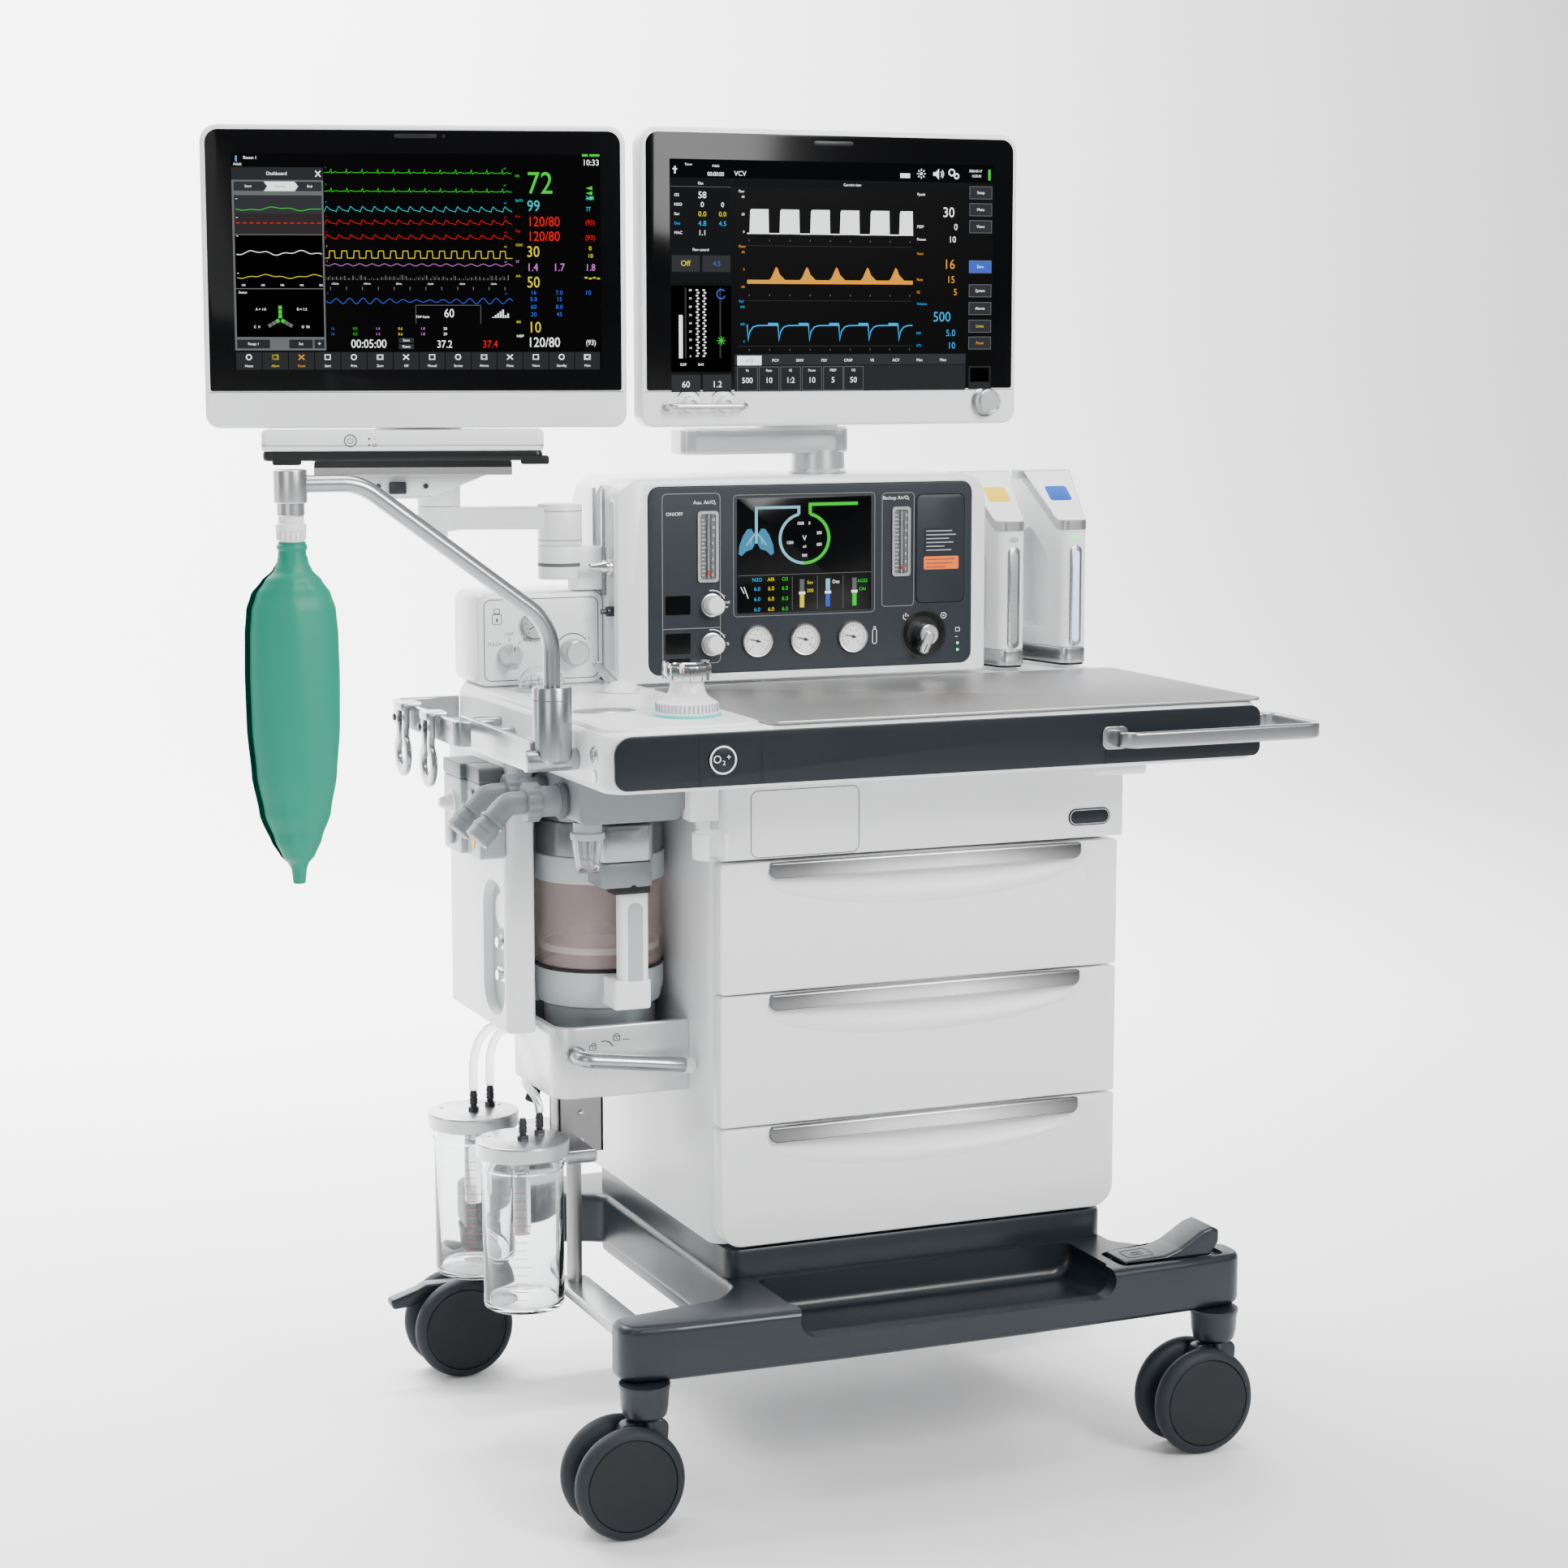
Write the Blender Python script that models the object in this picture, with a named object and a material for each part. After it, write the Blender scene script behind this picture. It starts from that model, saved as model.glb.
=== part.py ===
"""Anesthesia workstation: wheeled base, drawer cabinet, table with breathing
system, status housing, two monitors, vaporizers, absorber, suction jars.
Lengths in millimetres inside the helpers, metres in the scene. +Z up, -Y front.
"""
import math

import bmesh
import bpy
from mathutils import Matrix, Vector

# ---------------------------------------------------------------- dimensions
OFF_X, OFF_Y = 139.25, 20.75      # moves the layout so the box centre is the origin
GAP = 0.4                       # clearance between touching pieces
WHEEL_R = 62.5                  # 125 mm casters
WHEEL_W = 24.0
CASTER_X = (-336.0, 371.0)
CASTER_Y = (-300.0, 300.0)
TRAIL = 26.0                    # axle offset behind the swivel axis
BASE_Z = (165.0, 228.0)
RISER_Z = 262.0
CAB_X = (-200.0, 299.0)
CAB_Y = (-160.0, 265.0)
FRONT_Y = -185.0
SEAMS = (265.0, 404.0, 556.0, 706.0)
FASCIA_TOP = 808.0
TABLE_X = (-388.0, 399.0)
TABLE_Y = (-334.0, 196.0)
TABLE_Z = (812.0, 878.0)
PLATE_TOP = 882.0
HOUSING_X = (-236.0, 238.0)
HOUSING_Y = (45.0, 205.0)
HOUSING_Z = (883.0, 1121.0)
PANEL = (-198.0, 218.0, 893.0, 1112.0)
CAN_C = (-279.0, -3.0)          # absorber axis
CAN_R = 74.0
POST = (-415.0, -245.0)         # bag arm post axis
MON_W, MON_H, MON_T = 478.0, 340.0, 42.0
MON_Z = 1181.0
MON_R = (29.0, 30.0)            # right monitor: centre x, front y
NECK = (50.0, 125.0)            # right arm swivel axis
LHUB = (-285.0, 105.0)          # left link's wall pivot
LPIV = (-417.0, 150.0)          # left link's outer pivot
LMON = (-438.0, 158.5)          # left monitor centre
LYAW = math.radians(-16.5)      # it is swivelled this far to the left
JAR_R, LID_R = 46.5, 53.5
JARS = ((-388.0, -45.0), (-398.0, 109.0))
JAR_Z = (186.0, 362.0)
N = 16                          # sides of a round piece

for o in list(bpy.data.objects):
    bpy.data.objects.remove(o)

# ---------------------------------------------------------------- materials
COLOURS = {
    "white": (0.86, 0.87, 0.88, 0.35, 0.0), "silver": (0.72, 0.72, 0.73, 0.35, 1.0),
    "slate": (0.055, 0.068, 0.085, 0.45, 0.0), "tyre": (0.09, 0.10, 0.115, 0.7, 0.0),
    "grey": (0.42, 0.46, 0.47, 0.4, 0.0), "clear": (0.85, 0.9, 0.92, 0.1, 0.0),
    "green": (0.02, 0.38, 0.26, 0.5, 0.0), "black": (0.01, 0.01, 0.012, 0.15, 0.0),
}


def material(name):
    m = bpy.data.materials.get(name)
    if m is None:
        m = bpy.data.materials.new(name)
        m.use_nodes = True
        b = m.node_tree.nodes["Principled BSDF"]
        r, g, bl, rough, metal = COLOURS[name]
        b.inputs["Base Color"].default_value = (r, g, bl, 1)
        b.inputs["Roughness"].default_value = rough
        b.inputs["Metallic"].default_value = metal
    return m


# ---------------------------------------------------------------- shape kit
def rounded(pts, r, seg=2):
    """A closed 2-D outline with its corners rounded; r is one radius or one per corner."""
    out, n = [], len(pts)
    for i in range(n):
        p = Vector(pts[i])
        ri = r[i] if isinstance(r, (list, tuple)) else r
        a, b = Vector(pts[i - 1]) - p, Vector(pts[(i + 1) % n]) - p
        la, lb = a.length, b.length
        a.normalize()
        b.normalize()
        half = math.acos(max(-1, min(1, a.dot(b)))) / 2
        if ri <= 0 or half > math.radians(89):
            out.append(p)
            continue
        t = min(ri / math.tan(half), la * 0.49, lb * 0.49)
        rad = t * math.tan(half)
        c = p + (a + b).normalized() * (rad / math.sin(half))
        s, e = p + a * t - c, p + b * t - c
        ang = s.angle_signed(e) if s.length and e.length else 0
        for k in range(seg + 1):
            w = -ang * k / seg
            out.append(c + Vector((s.x * math.cos(w) - s.y * math.sin(w), s.x * math.sin(w) + s.y * math.cos(w))))
    return out


def place2d(p, axis, h):
    if axis == "z":
        return Vector((p[0], p[1], h))
    if axis == "y":
        return Vector((p[0], h, p[1]))
    return Vector((h, p[0], p[1]))


def fix(bm):
    bmesh.ops.recalc_face_normals(bm, faces=bm.faces[:])
    return bm


def prism(pts, axis, a, b, bevel=0.0, seg=1):
    """An outline extruded along an axis from a to b, with its two rims beveled."""
    bm = bmesh.new()
    lo = [bm.verts.new(place2d(p, axis, a)) for p in pts]
    hi = [bm.verts.new(place2d(p, axis, b)) for p in pts]
    n = len(pts)
    bm.faces.new(lo)
    bm.faces.new(hi)
    for i in range(n):
        bm.faces.new((lo[i], lo[(i + 1) % n], hi[(i + 1) % n], hi[i]))
    fix(bm)
    if bevel:
        es = [e for e in bm.edges if (e.verts[0] in lo) == (e.verts[1] in lo)]
        bmesh.ops.bevel(bm, geom=es, offset=bevel, segments=seg, profile=0.5, affect="EDGES")
    return bm


def rect(x0, x1, y0, y1):
    return [(x0, y0), (x1, y0), (x1, y1), (x0, y1)]


def box(x0, x1, y0, y1, z0, z1, r=0.0, axis="z", seg=2, rim=0.0):
    """A box whose edges along one axis are rounded by r, and whose rims by rim."""
    a, b, o = {"z": ((x0, x1, y0, y1), (z0, z1), 0), "y": ((x0, x1, z0, z1), (y0, y1), 0),
               "x": ((y0, y1, z0, z1), (x0, x1), 0)}[axis]
    pts = rect(*a)
    if r:
        pts = rounded(pts, r, seg)
    return prism(pts, axis, b[0], b[1], rim)


def sides(n):
    """How many sides a round shape asked for with n gets: few, since the facets stay small."""
    return n if n < 13 else 2 * round(n * 0.38)


def circle(cx, cy, r, n=N, start=0.0):
    n = sides(n)
    return [(cx + r * math.cos(start + 2 * math.pi * k / n), cy + r * math.sin(start + 2 * math.pi * k / n)) for k in range(n)]


def cyl(c, r, a, b, axis="z", n=N, bevel=0.0, seg=1):
    """A cylinder about the axis through the 2-D point c, from a to b."""
    return prism(circle(c[0], c[1], r, n), axis, a, b, bevel, seg)


def lathe(profile, c, axis="z", n=N):
    """A closed (radius, height) profile turned about an axis; radius 0 ends close it."""
    n = sides(n)
    bm = bmesh.new()
    rings = []
    for r, h in profile:
        if r <= 0:
            rings.append([bm.verts.new(place2d(c, axis, h))])
        else:
            rings.append([bm.verts.new(place2d((c[0] + r * math.cos(2 * math.pi * k / n), c[1] + r * math.sin(2 * math.pi * k / n)), axis, h)) for k in range(n)])
    pairs = list(zip(rings, rings[1:]))
    if profile[0][0] > 0:
        pairs.append((rings[-1], rings[0]))
    for p, q in pairs:
        for k in range(n):
            m = (k + 1) % n
            if len(p) == 1 and len(q) == 1:
                continue
            if len(p) == 1:
                bm.faces.new((p[0], q[k], q[m]))
            elif len(q) == 1:
                bm.faces.new((p[k], p[m], q[0]))
            else:
                bm.faces.new((p[k], p[m], q[m], q[k]))
    return fix(bm)


def arc_path(pts, r, seg=5):
    """A 3-D path whose corners are arcs of radius r."""
    out = [Vector(pts[0])]
    for i in range(1, len(pts) - 1):
        p = Vector(pts[i])
        a, b = (Vector(pts[i - 1]) - p), (Vector(pts[i + 1]) - p)
        la, lb = a.length, b.length
        a.normalize()
        b.normalize()
        half = a.angle(b) / 2
        t = min(r / math.tan(half), la * 0.49, lb * 0.49)
        rad = t * math.tan(half)
        c = p + (a + b).normalized() * (rad / math.sin(half))
        s, e = p + a * t - c, p + b * t - c
        for k in range(seg + 1):
            out.append(c + s.normalized().slerp(e.normalized(), k / seg) * rad)
    out.append(Vector(pts[-1]))
    return out


def sweep(path, section):
    """A 2-D section swept along a 3-D path; its second axis starts as upward as it can."""
    path = [Vector(p) for p in path]
    bm = bmesh.new()
    t = (path[1] - path[0]).normalized()
    up = Vector((0, 0, 1)) if abs(t.z) < 0.9 else Vector((0, 1, 0))
    side = t.cross(up).normalized()
    rings = []
    for i, p in enumerate(path):
        if i == 0:
            t = (path[1] - path[0]).normalized()
        elif i == len(path) - 1:
            t = (path[-1] - path[-2]).normalized()
        else:
            t = ((path[i] - path[i - 1]).normalized() + (path[i + 1] - path[i]).normalized()).normalized()
        side = (side - t * side.dot(t)).normalized()
        up = side.cross(t).normalized()
        rings.append([bm.verts.new(p + side * s[0] + up * s[1]) for s in section])
    n = len(section)
    for p, q in zip(rings, rings[1:]):
        for k in range(n):
            bm.faces.new((p[k], p[(k + 1) % n], q[(k + 1) % n], q[k]))
    bm.faces.new(rings[0])
    bm.faces.new(rings[-1])
    return fix(bm)


def tube(path, r, n=12):
    return sweep(path, circle(0, 0, r, n))


def turn(bm, angle, c, axis="Z"):
    """Turns a shape by an angle in radians about an axis through the point c."""
    m = Matrix.Translation(Vector(c)) @ Matrix.Rotation(angle, 4, axis) @ Matrix.Translation(-Vector(c))
    bmesh.ops.transform(bm, matrix=m, verts=bm.verts[:])
    return bm


def as_object(bm, name="helper"):
    me = bpy.data.meshes.new(name)
    bm.to_mesh(me)
    bm.free()
    ob = bpy.data.objects.new(name, me)
    bpy.context.scene.collection.objects.link(ob)
    return ob


def combine(first, op, *others):
    """Joins ("UNION") or cuts ("DIFFERENCE") shapes with Blender's exact Boolean."""
    base = as_object(first)
    for other in others:
        tool = as_object(other, "tool")
        m = base.modifiers.new("b", "BOOLEAN")
        m.operation, m.solver, m.object = op, "EXACT", tool
        graph = bpy.context.evaluated_depsgraph_get()
        graph.update()
        me = bpy.data.meshes.new_from_object(base.evaluated_get(graph))
        base.modifiers.clear()
        base.data = me
        bpy.data.objects.remove(tool)
    out = bmesh.new()
    out.from_mesh(base.data)
    bpy.data.objects.remove(base)
    return out


def union(*shapes):
    return combine(shapes[0], "UNION", *shapes[1:])


def cut(shape, *tools):
    return combine(shape, "DIFFERENCE", *tools)


def node(name, bm, mat, origin=(0, 0, 0)):
    """Places a finished shape as a named piece with its origin at the given point."""
    o = Vector(origin)
    bmesh.ops.transform(bm, matrix=Matrix.Scale(0.001, 4) @ Matrix.Translation(-o), verts=bm.verts[:])
    ob = as_object(bm, name)
    ob.data.name = name
    ob.location = (o + Vector((OFF_X, OFF_Y, 0))) * 0.001
    ob.data.materials.append(material(mat))
    for p in ob.data.polygons:
        p.use_smooth = True
    ob.data.set_sharp_from_angle(angle=math.radians(35))
    return ob


# ---------------------------------------------------------------- base
def base_frame():
    z0, z1 = BASE_Z
    plan = [(-362, -306), (-300, -312), (-100, -318), (120, -318), (330, -312), (408, -306), (408, -258), (325, -235), (292, -200),
            (292, 222), (325, 240), (408, 262), (408, 334), (-362, 334), (-362, 262), (-230, 240), (-196, 222), (-196, -200), (-230, -235), (-362, -258)]
    rad = [22, 60, 60, 60, 60, 22, 18, 20, 20, 20, 20, 18, 22, 22, 18, 20, 20, 20, 20, 18]
    bar = prism(rounded(plan, rad, 2), "z", z0, z1, 7, 1)
    riser = box(-190, 289, -178, 258, 150, RISER_Z, 14, "z", 2)
    tray_cut = prism([(-178, 186), (252, 186), (226, 240), (-150, 240)], "y", -340, -188)
    return cut(union(bar, riser), tray_cut, box(248, 384, -300, -246, 222, 240), )


def caster(x, y, name, lever):
    zt = BASE_Z[0] - GAP
    neck = lathe([(0, zt), (27, zt), (27, 132), (23, 127), (10.5, 127), (10.5, 86), (0, 86)], (x, y), "z", 14)
    web = prism(rounded([(x - TRAIL - 16, 46), (x - TRAIL + 16, 46), (x + 24, 92), (x + 24, 118), (x - 20, 118), (x - TRAIL - 16, 80)], 8, 1), "y", y - 8, y + 8)
    shapes = [neck, web]
    # wheel guard: a thin tab between the wheels, pointing down behind them
    shapes.append(prism([(x + 18, 40), (x + 24, 40), (x + 24, 100), (x + 8, 100)], "y", y - 7.5, y + 7.5))
    if lever:
        shapes.append(prism(rounded([(x - 116, 104), (x - 78, 112), (x - 70, 118), (x - 14, 118), (x - 14, 104), (x - 66, 104), (x - 84, 92), (x - 116, 92)], 4, 1), "y", y - 9, y + 9))
    return union(*shapes)


def wheels(x, y):
    """Twin wheels turned in one piece with the axle between them."""
    c = (x - TRAIL, WHEEL_R)
    r, a, b, h = WHEEL_R, y - 12 - WHEEL_W, y - 12, WHEEL_W
    p = [(0, a), (r - 7, a), (r, a + 7), (r, b - 7), (r - 7, b), (8, b), (8, b + 24), (r - 7, b + 24), (r, b + 31), (r, b + 17 + h), (r - 7, b + 24 + h), (0, b + 24 + h)]
    return lathe(p, c, "y", 20)


# wheel axle passes through the fork's web: the fork gets a clearance bore
def fork_with_bore(x, y, name, lever=False):
    f = caster(x, y, name, lever)
    return cut(f, cyl((x - TRAIL, WHEEL_R), 9.4, y - 20, y + 20, "y", 8))


node("base_frame", base_frame(), "slate")
for tag, x, y in (("front_left", CASTER_X[0], CASTER_Y[0]), ("front_right", CASTER_X[1], CASTER_Y[0]), ("rear_left", CASTER_X[0], CASTER_Y[1]), ("rear_right", CASTER_X[1], CASTER_Y[1])):
    node("caster_fork_" + tag, fork_with_bore(x, y, tag, tag.startswith("rear")), "slate", (x, y, 120))
    node("wheels_" + tag, wheels(x, y), "tyre", (x - TRAIL, y, WHEEL_R))


def pedal():
    c = 316
    pts = [(c - 62, 232), (c - 6, 234), (c + 10, 238), (c + 44, 258), (c + 56, 261), (c + 62, 255), (c + 58, 247), (c + 8, 226), (c - 10, 225), (c - 62, 227)]
    return prism(rounded(pts, 3, 2), "y", -299, -247, 3, 1)


PEDAL_AXIS = (316, -273, 228)
node("brake_pedal", pedal(), "slate", PEDAL_AXIS)


# ---------------------------------------------------------------- cabinet and drawers
MANIFOLD = ((122, 440), (148, 440), (110, 416))


def cabinet():
    x0, x1 = CAB_X
    y0, y1 = CAB_Y
    out = box(x0, x1, y0, y1, SEAMS[0], FASCIA_TOP, 18, "z", 3, 0)
    fascia = box(x0, 307, FRONT_Y, y0 + 20, SEAMS[3] + 3, FASCIA_TOP, 8, "z", 2)
    body = union(out, fascia)
    bays = [box(x0 + 16, x1 - 16, y0 - 5, y1 - 30, SEAMS[i] + (10 if i == 0 else 6), SEAMS[i + 1] - 6) for i in range(3)]
    return cut(body, *bays)


def drawer(i):
    x0, x1 = CAB_X
    z0, z1 = SEAMS[i] + 1, SEAMS[i + 1] - 1.5
    r = [24, 24, 5, 5] if i == 0 else [5, 5, 5, 5]
    front = prism(rounded([(x0, z0), (x1 - 1, z0), (x1 - 1, z1), (x0, z1)], r, 4), "y", FRONT_Y, CAB_Y[0] - GAP, 2.5, 2)
    # finger scoop under the pull strip, open along its top
    k = (x0 + x1) / 2 + 4
    scoop = [(k - 192, z1 - 13)] + [(k - 192 + 384 * t / 10, z1 - 13 - 34 * math.sin(math.pi * t / 10) ** 0.6) for t in range(1, 10)] + [(k + 192, z1 - 13)]
    front = cut(front, prism(scoop, "y", FRONT_Y - 10, FRONT_Y + 13))
    strip = prism(rounded([(k - 195, z1 - 18), (k + 195, z1 - 18), (k + 195, z1 - 0.5), (k - 195, z1 - 0.5)], 7, 2), "y", FRONT_Y - 5, FRONT_Y + 4, 1.5, 1)
    lo = SEAMS[i] + (14 if i == 0 else 10)
    tray = box(x0 + 22, x1 - 22, CAB_Y[0] - 6, CAB_Y[1] - 44, lo, z1 - 26)
    hollow = box(x0 + 26, x1 - 26, CAB_Y[0] + 8, CAB_Y[1] - 48, lo + 4, z1)
    return cut(union(front, strip, tray), hollow)


def rear_panel():
    y0 = CAB_Y[1] - 1
    body = box(-172, 271, y0, y0 + 16, 300, 780, 10, "y", 2, 3)
    slots = [box(-60, 160, y0 + 9, y0 + 30, 345 + 34 * k, 357 + 34 * k) for k in range(4)]
    body = cut(body, *slots)
    inlets = [cyl((-110 + 70 * k, 700), 16, y0 + 8, y0 + 42, "y", 12) for k in range(3)]
    power = box(170, 240, y0 + 8, y0 + 24, 680, 730, 4, "y", 2)
    return union(body, *inlets, power)


def manifold():
    """Vacuum manifold on the left wall, with the three barbs that the suction hoses push onto."""
    barbs = [lathe([(0, -205), (5, -205), (5, -221), (4, -226), (5, -227), (3.5, -232), (0, -232)], c, "x", 10) for c in MANIFOLD]
    return union(box(-222, -195, 96, 166, 404, 456, 3, "x", 1), *barbs)


node("cabinet_shell", union(cabinet(), rear_panel(), manifold()), "white")
for i, tag in enumerate(("bottom", "middle", "top")):
    node("drawer_" + tag, drawer(i), "white", (49, FRONT_Y, SEAMS[i] + 70))


# ---------------------------------------------------------------- table
def table_frame():
    x0, x1 = TABLE_X
    y0, y1 = TABLE_Y
    body = prism(rounded(rect(x0, x1, y0, y1), [26, 30, 20, 26], 3), "z", TABLE_Z[0], TABLE_Z[1], 6, 1)
    apron = box(x0 + 3, -206, y0 + 60, y1 - 6, TABLE_Z[1] - 12, PLATE_TOP, 20, "z", 2, 1.5)
    nose = box(x0 + 6, -208, y0 + 4, y0 + 80, TABLE_Z[1] - 12, PLATE_TOP, 20, "z", 2, 1.5)
    return union(body, apron, nose)


def front_band():
    body = prism(rounded([(-380, 817), (392, 817), (392, 874), (-380, 874)], 12, 3), "y", -343, TABLE_Y[0] - GAP, 2.5, 1)
    return cut(body, cyl((-260, 845), 16.4, -350, -330, "y", 18))


APL = (-263, -247)


def apl_body():
    z = PLATE_TOP
    p = [(0, z - 3), (36.5, z - 3), (36.5, z + 4), (33, z + 5), (33, z + 15), (28, z + 18), (20, z + 26), (17.5, z + 34), (17.5, z + 38 + GAP), (0, z + 38 + GAP)]
    return lathe(p, APL, "z", 18)


DOME = (-330, 42)
valve_dome = lathe([(0, PLATE_TOP - 3), (28, PLATE_TOP - 3), (28, PLATE_TOP + 9), (24, PLATE_TOP + 22), (14, PLATE_TOP + 30), (0, PLATE_TOP + 32)], DOME, "z", 16)
node("table_frame", union(table_frame(), apl_body(), valve_dome), "white")
node("worktop_plate", box(-204, 398, TABLE_Y[0] - 4, 20, TABLE_Z[1] + GAP, PLATE_TOP, 10, "z", 2, 1.2), "silver")
node("front_band", front_band(), "slate")
node("oxygen_flush_button", cyl((-260, 845), 15.8, -344.5, TABLE_Y[0] - 3, "y", 18, 1.5), "white", (-260, -344, 845))


def table_handle():
    sec = rounded([(-3.5, -9), (3.5, -9), (3.5, 9), (-3.5, 9)], 3, 2)
    z = 846
    path = arc_path([(196, -343.5, z), (196, -374, z), (455, -374, z), (455, -262, z), (399.4, -262, z)], 20, 4)
    return sweep(path, sec)


node("table_handle", table_handle(), "silver")

# ---------------------------------------------------------------- status housing
def status_housing():
    x0, x1 = HOUSING_X
    y0, y1 = HOUSING_Y
    z0, z1 = HOUSING_Z
    outline = rounded([(x0, z0), (x1, z0), (x1, z1), (x0, z1)], [6, 6, 30, 30], 3)
    body = prism(outline, "y", y0, y1, 5, 1)
    a, b, c, d = PANEL
    pocket = prism(rounded([(a - 0.5, c - 0.5), (b + 0.5, c - 0.5), (b + 0.5, d + 0.5), (a - 0.5, d + 0.5)], 14, 3), "y", y0 - 5, y0 + 4)
    rail = box(x0 - 5, x0 + 9, 82, 122, 985, 1112, 3, "x", 1)
    socket = box(x0 - 5, x0 + 9, 56, 76, 900, 1095, 4, "x", 1)
    body = cut(body, pocket, rail, socket)
    back = box(-210, 380, 170, 240, 884, 962, 8, "x", 2)
    return union(body, back)


def status_panel():
    a, b, c, d = PANEL
    y0 = HOUSING_Y[0]
    body = prism(rounded([(a, c), (b, c), (b, d), (a, d)], 14, 3), "y", y0 - 0.5, y0 + 3.6, 1.2, 1)
    dish = lathe([(0, y0 + 2.2), (22, y0 + 2.2), (27, y0 - 2), (27, y0 - 6), (0, y0 - 6)], (155, 930), "y", 20)
    door = box(143.6, 208.4, y0 - 6, y0 + 2.4, 966.6, 1097.4, 8, "y", 2)
    return cut(body, dish, door)


def wall_bracket():
    hub = cyl(LHUB, 26, 1005, 1044, "z", 14, 1.5)
    block = box(LHUB[0] + 14, HOUSING_X[0] + 12, 86, 118, 992, 1042, 3, "x", 1)
    return union(hub, block)


node("status_housing", union(status_housing(), wall_bracket()), "white")
node("status_panel", status_panel(), "slate")
KY = HOUSING_Y[0] - 0.5 - GAP


def knob(c, r, y1, length, grip=0.0, n=20):
    p = [(0, y1), (r, y1), (r, y1 - length + 3), (r - 3, y1 - length), (0, y1 - length)]
    return lathe(p[::-1], c, "y", n)


node("flow_knob_total", knob((-119, 973), 10.5, KY, 17), "white", (-119, KY - 8, 973))
node("flow_knob_oxygen", knob((-119, 927), 10.5, KY, 17), "white", (-119, KY - 8, 927))


def master_switch():
    base = knob((155, 930), 12, HOUSING_Y[0] + 2.2 - GAP, 20)
    bar = box(149, 161, HOUSING_Y[0] - 22, HOUSING_Y[0] - 10, 906, 934, 5, "y", 3, 2)
    return turn(union(base, bar), math.radians(25), (155, 0, 930), "Y")


node("master_switch", master_switch(), "silver", (155, 40, 930))
node("backup_door", box(144, 208, HOUSING_Y[0] - 1.6, HOUSING_Y[0] + 2.0, 967, 1097, 8, "y", 2, 1), "slate", (208, 44, 1032))

# ---------------------------------------------------------------- suction control box
def suction_box():
    body = box(-390, HOUSING_X[0] - GAP, 92, 186, PLATE_TOP + GAP, 991, 12, "y", 2, 4)
    gauge = cyl((-321, 953), 15, 89, 96, "y", 20, 1)
    return union(body, gauge)


node("suction_box", suction_box(), "white")


def selector():
    a = knob((-352, 918), 14, 92 - GAP, 8)
    b = box(-356, -348, 72, 88, 906, 930, 3, "y", 2, 1)
    return union(a, b)


node("suction_selector", selector(), "white", (-352, 84, 918))
node("suction_regulator", knob((-275, 920), 15, 92 - GAP, 20), "white", (-275, 80, 920))

# ---------------------------------------------------------------- vaporizers
def vaporizer(cx):
    y0, y1, zb = 56, 166, PLATE_TOP + GAP
    plan = rounded([(cx - 16, y0), (cx + 16, y0), (cx + 38, y1), (cx - 38, y1)], [12, 12, 5, 5], 3)
    body = prism(plan, "z", zb, 1118, 3, 1)
    # sloped top falling towards the front
    wedge = prism([(y0 - 20, 1064), (y0 + 18, 1064), (y0 + 84, 1120), (y0 + 84, 1150), (y0 - 20, 1150)], "x", cx - 60, cx + 60)
    body = cut(body, wedge)
    hollow_l = prism(rounded([(y0 + 36, 930), (y0 + 84, 930), (y0 + 84, 1046), (y0 + 62, 1046), (y0 + 36, 1020)], 6, 2), "x", cx - 60, cx - 14)
    hollow_r = prism(rounded([(y0 + 36, 930), (y0 + 84, 930), (y0 + 84, 1046), (y0 + 62, 1046), (y0 + 36, 1020)], 6, 2), "x", cx + 14, cx + 60)
    body = cut(body, hollow_l, hollow_r)
    glass = box(cx - 6, cx + 6, y0 - 3, y0 + 6, 912, 1026, 4, "y", 2)
    return union(body, glass)


node("vaporizer_left", vaporizer(281), "white", (281, 110, 1000))
node("vaporizer_right", vaporizer(366), "white", (366, 110, 1000))

# ---------------------------------------------------------------- pressure limiting valve cap and lever
def apl_knob():
    z = PLATE_TOP + GAP + 38 + GAP
    n = 24
    pts = [(APL[0] + (26.5 if k % 4 < 3 else 25.2) * math.cos(2 * math.pi * k / n), APL[1] + (26.5 if k % 4 < 3 else 25.2) * math.sin(2 * math.pi * k / n)) for k in range(n)]
    return prism(pts, "z", z, z + 20, 2.5, 1)


node("apl_knob", apl_knob(), "silver", (APL[0], APL[1], 930))
LEV = (-252, -6)


def lever():
    z = PLATE_TOP + GAP
    dome = lathe([(0, z), (22, z), (22, z + 3), (18, z + 9), (10, z + 13), (0, z + 14)], LEV, "z", 24)
    arm = prism(rounded([(LEV[0] - 14, z + 6), (LEV[0] - 34, z + 34), (LEV[0] - 28, z + 37), (LEV[0] - 2, z + 10)], 2, 2), "y", LEV[1] - 6, LEV[1] + 6)
    return union(dome, arm)


node("bag_vent_lever", lever(), "grey", (LEV[0], LEV[1], PLATE_TOP))

# ---------------------------------------------------------------- breathing system under the table
ELBOWS = (-133, -62)            # y of the two hose elbows


def breathing_block():
    top = TABLE_Z[0] - GAP
    body = box(-363, -243, -180, 80, 757, top, 8, "y", 2, 3)
    port_a = cyl((ELBOWS[0], 780), 17, -395, -355, "x", 12)
    port_b = cyl((ELBOWS[1], 780), 17, -395, -355, "x", 12)
    plug = box(-240, -206, -200, -168, 757, top, 5, "z", 2)
    arm = box(-246, -214, -180, -140, 770, top)
    return union(body, port_a, port_b, arm, plug)


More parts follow.
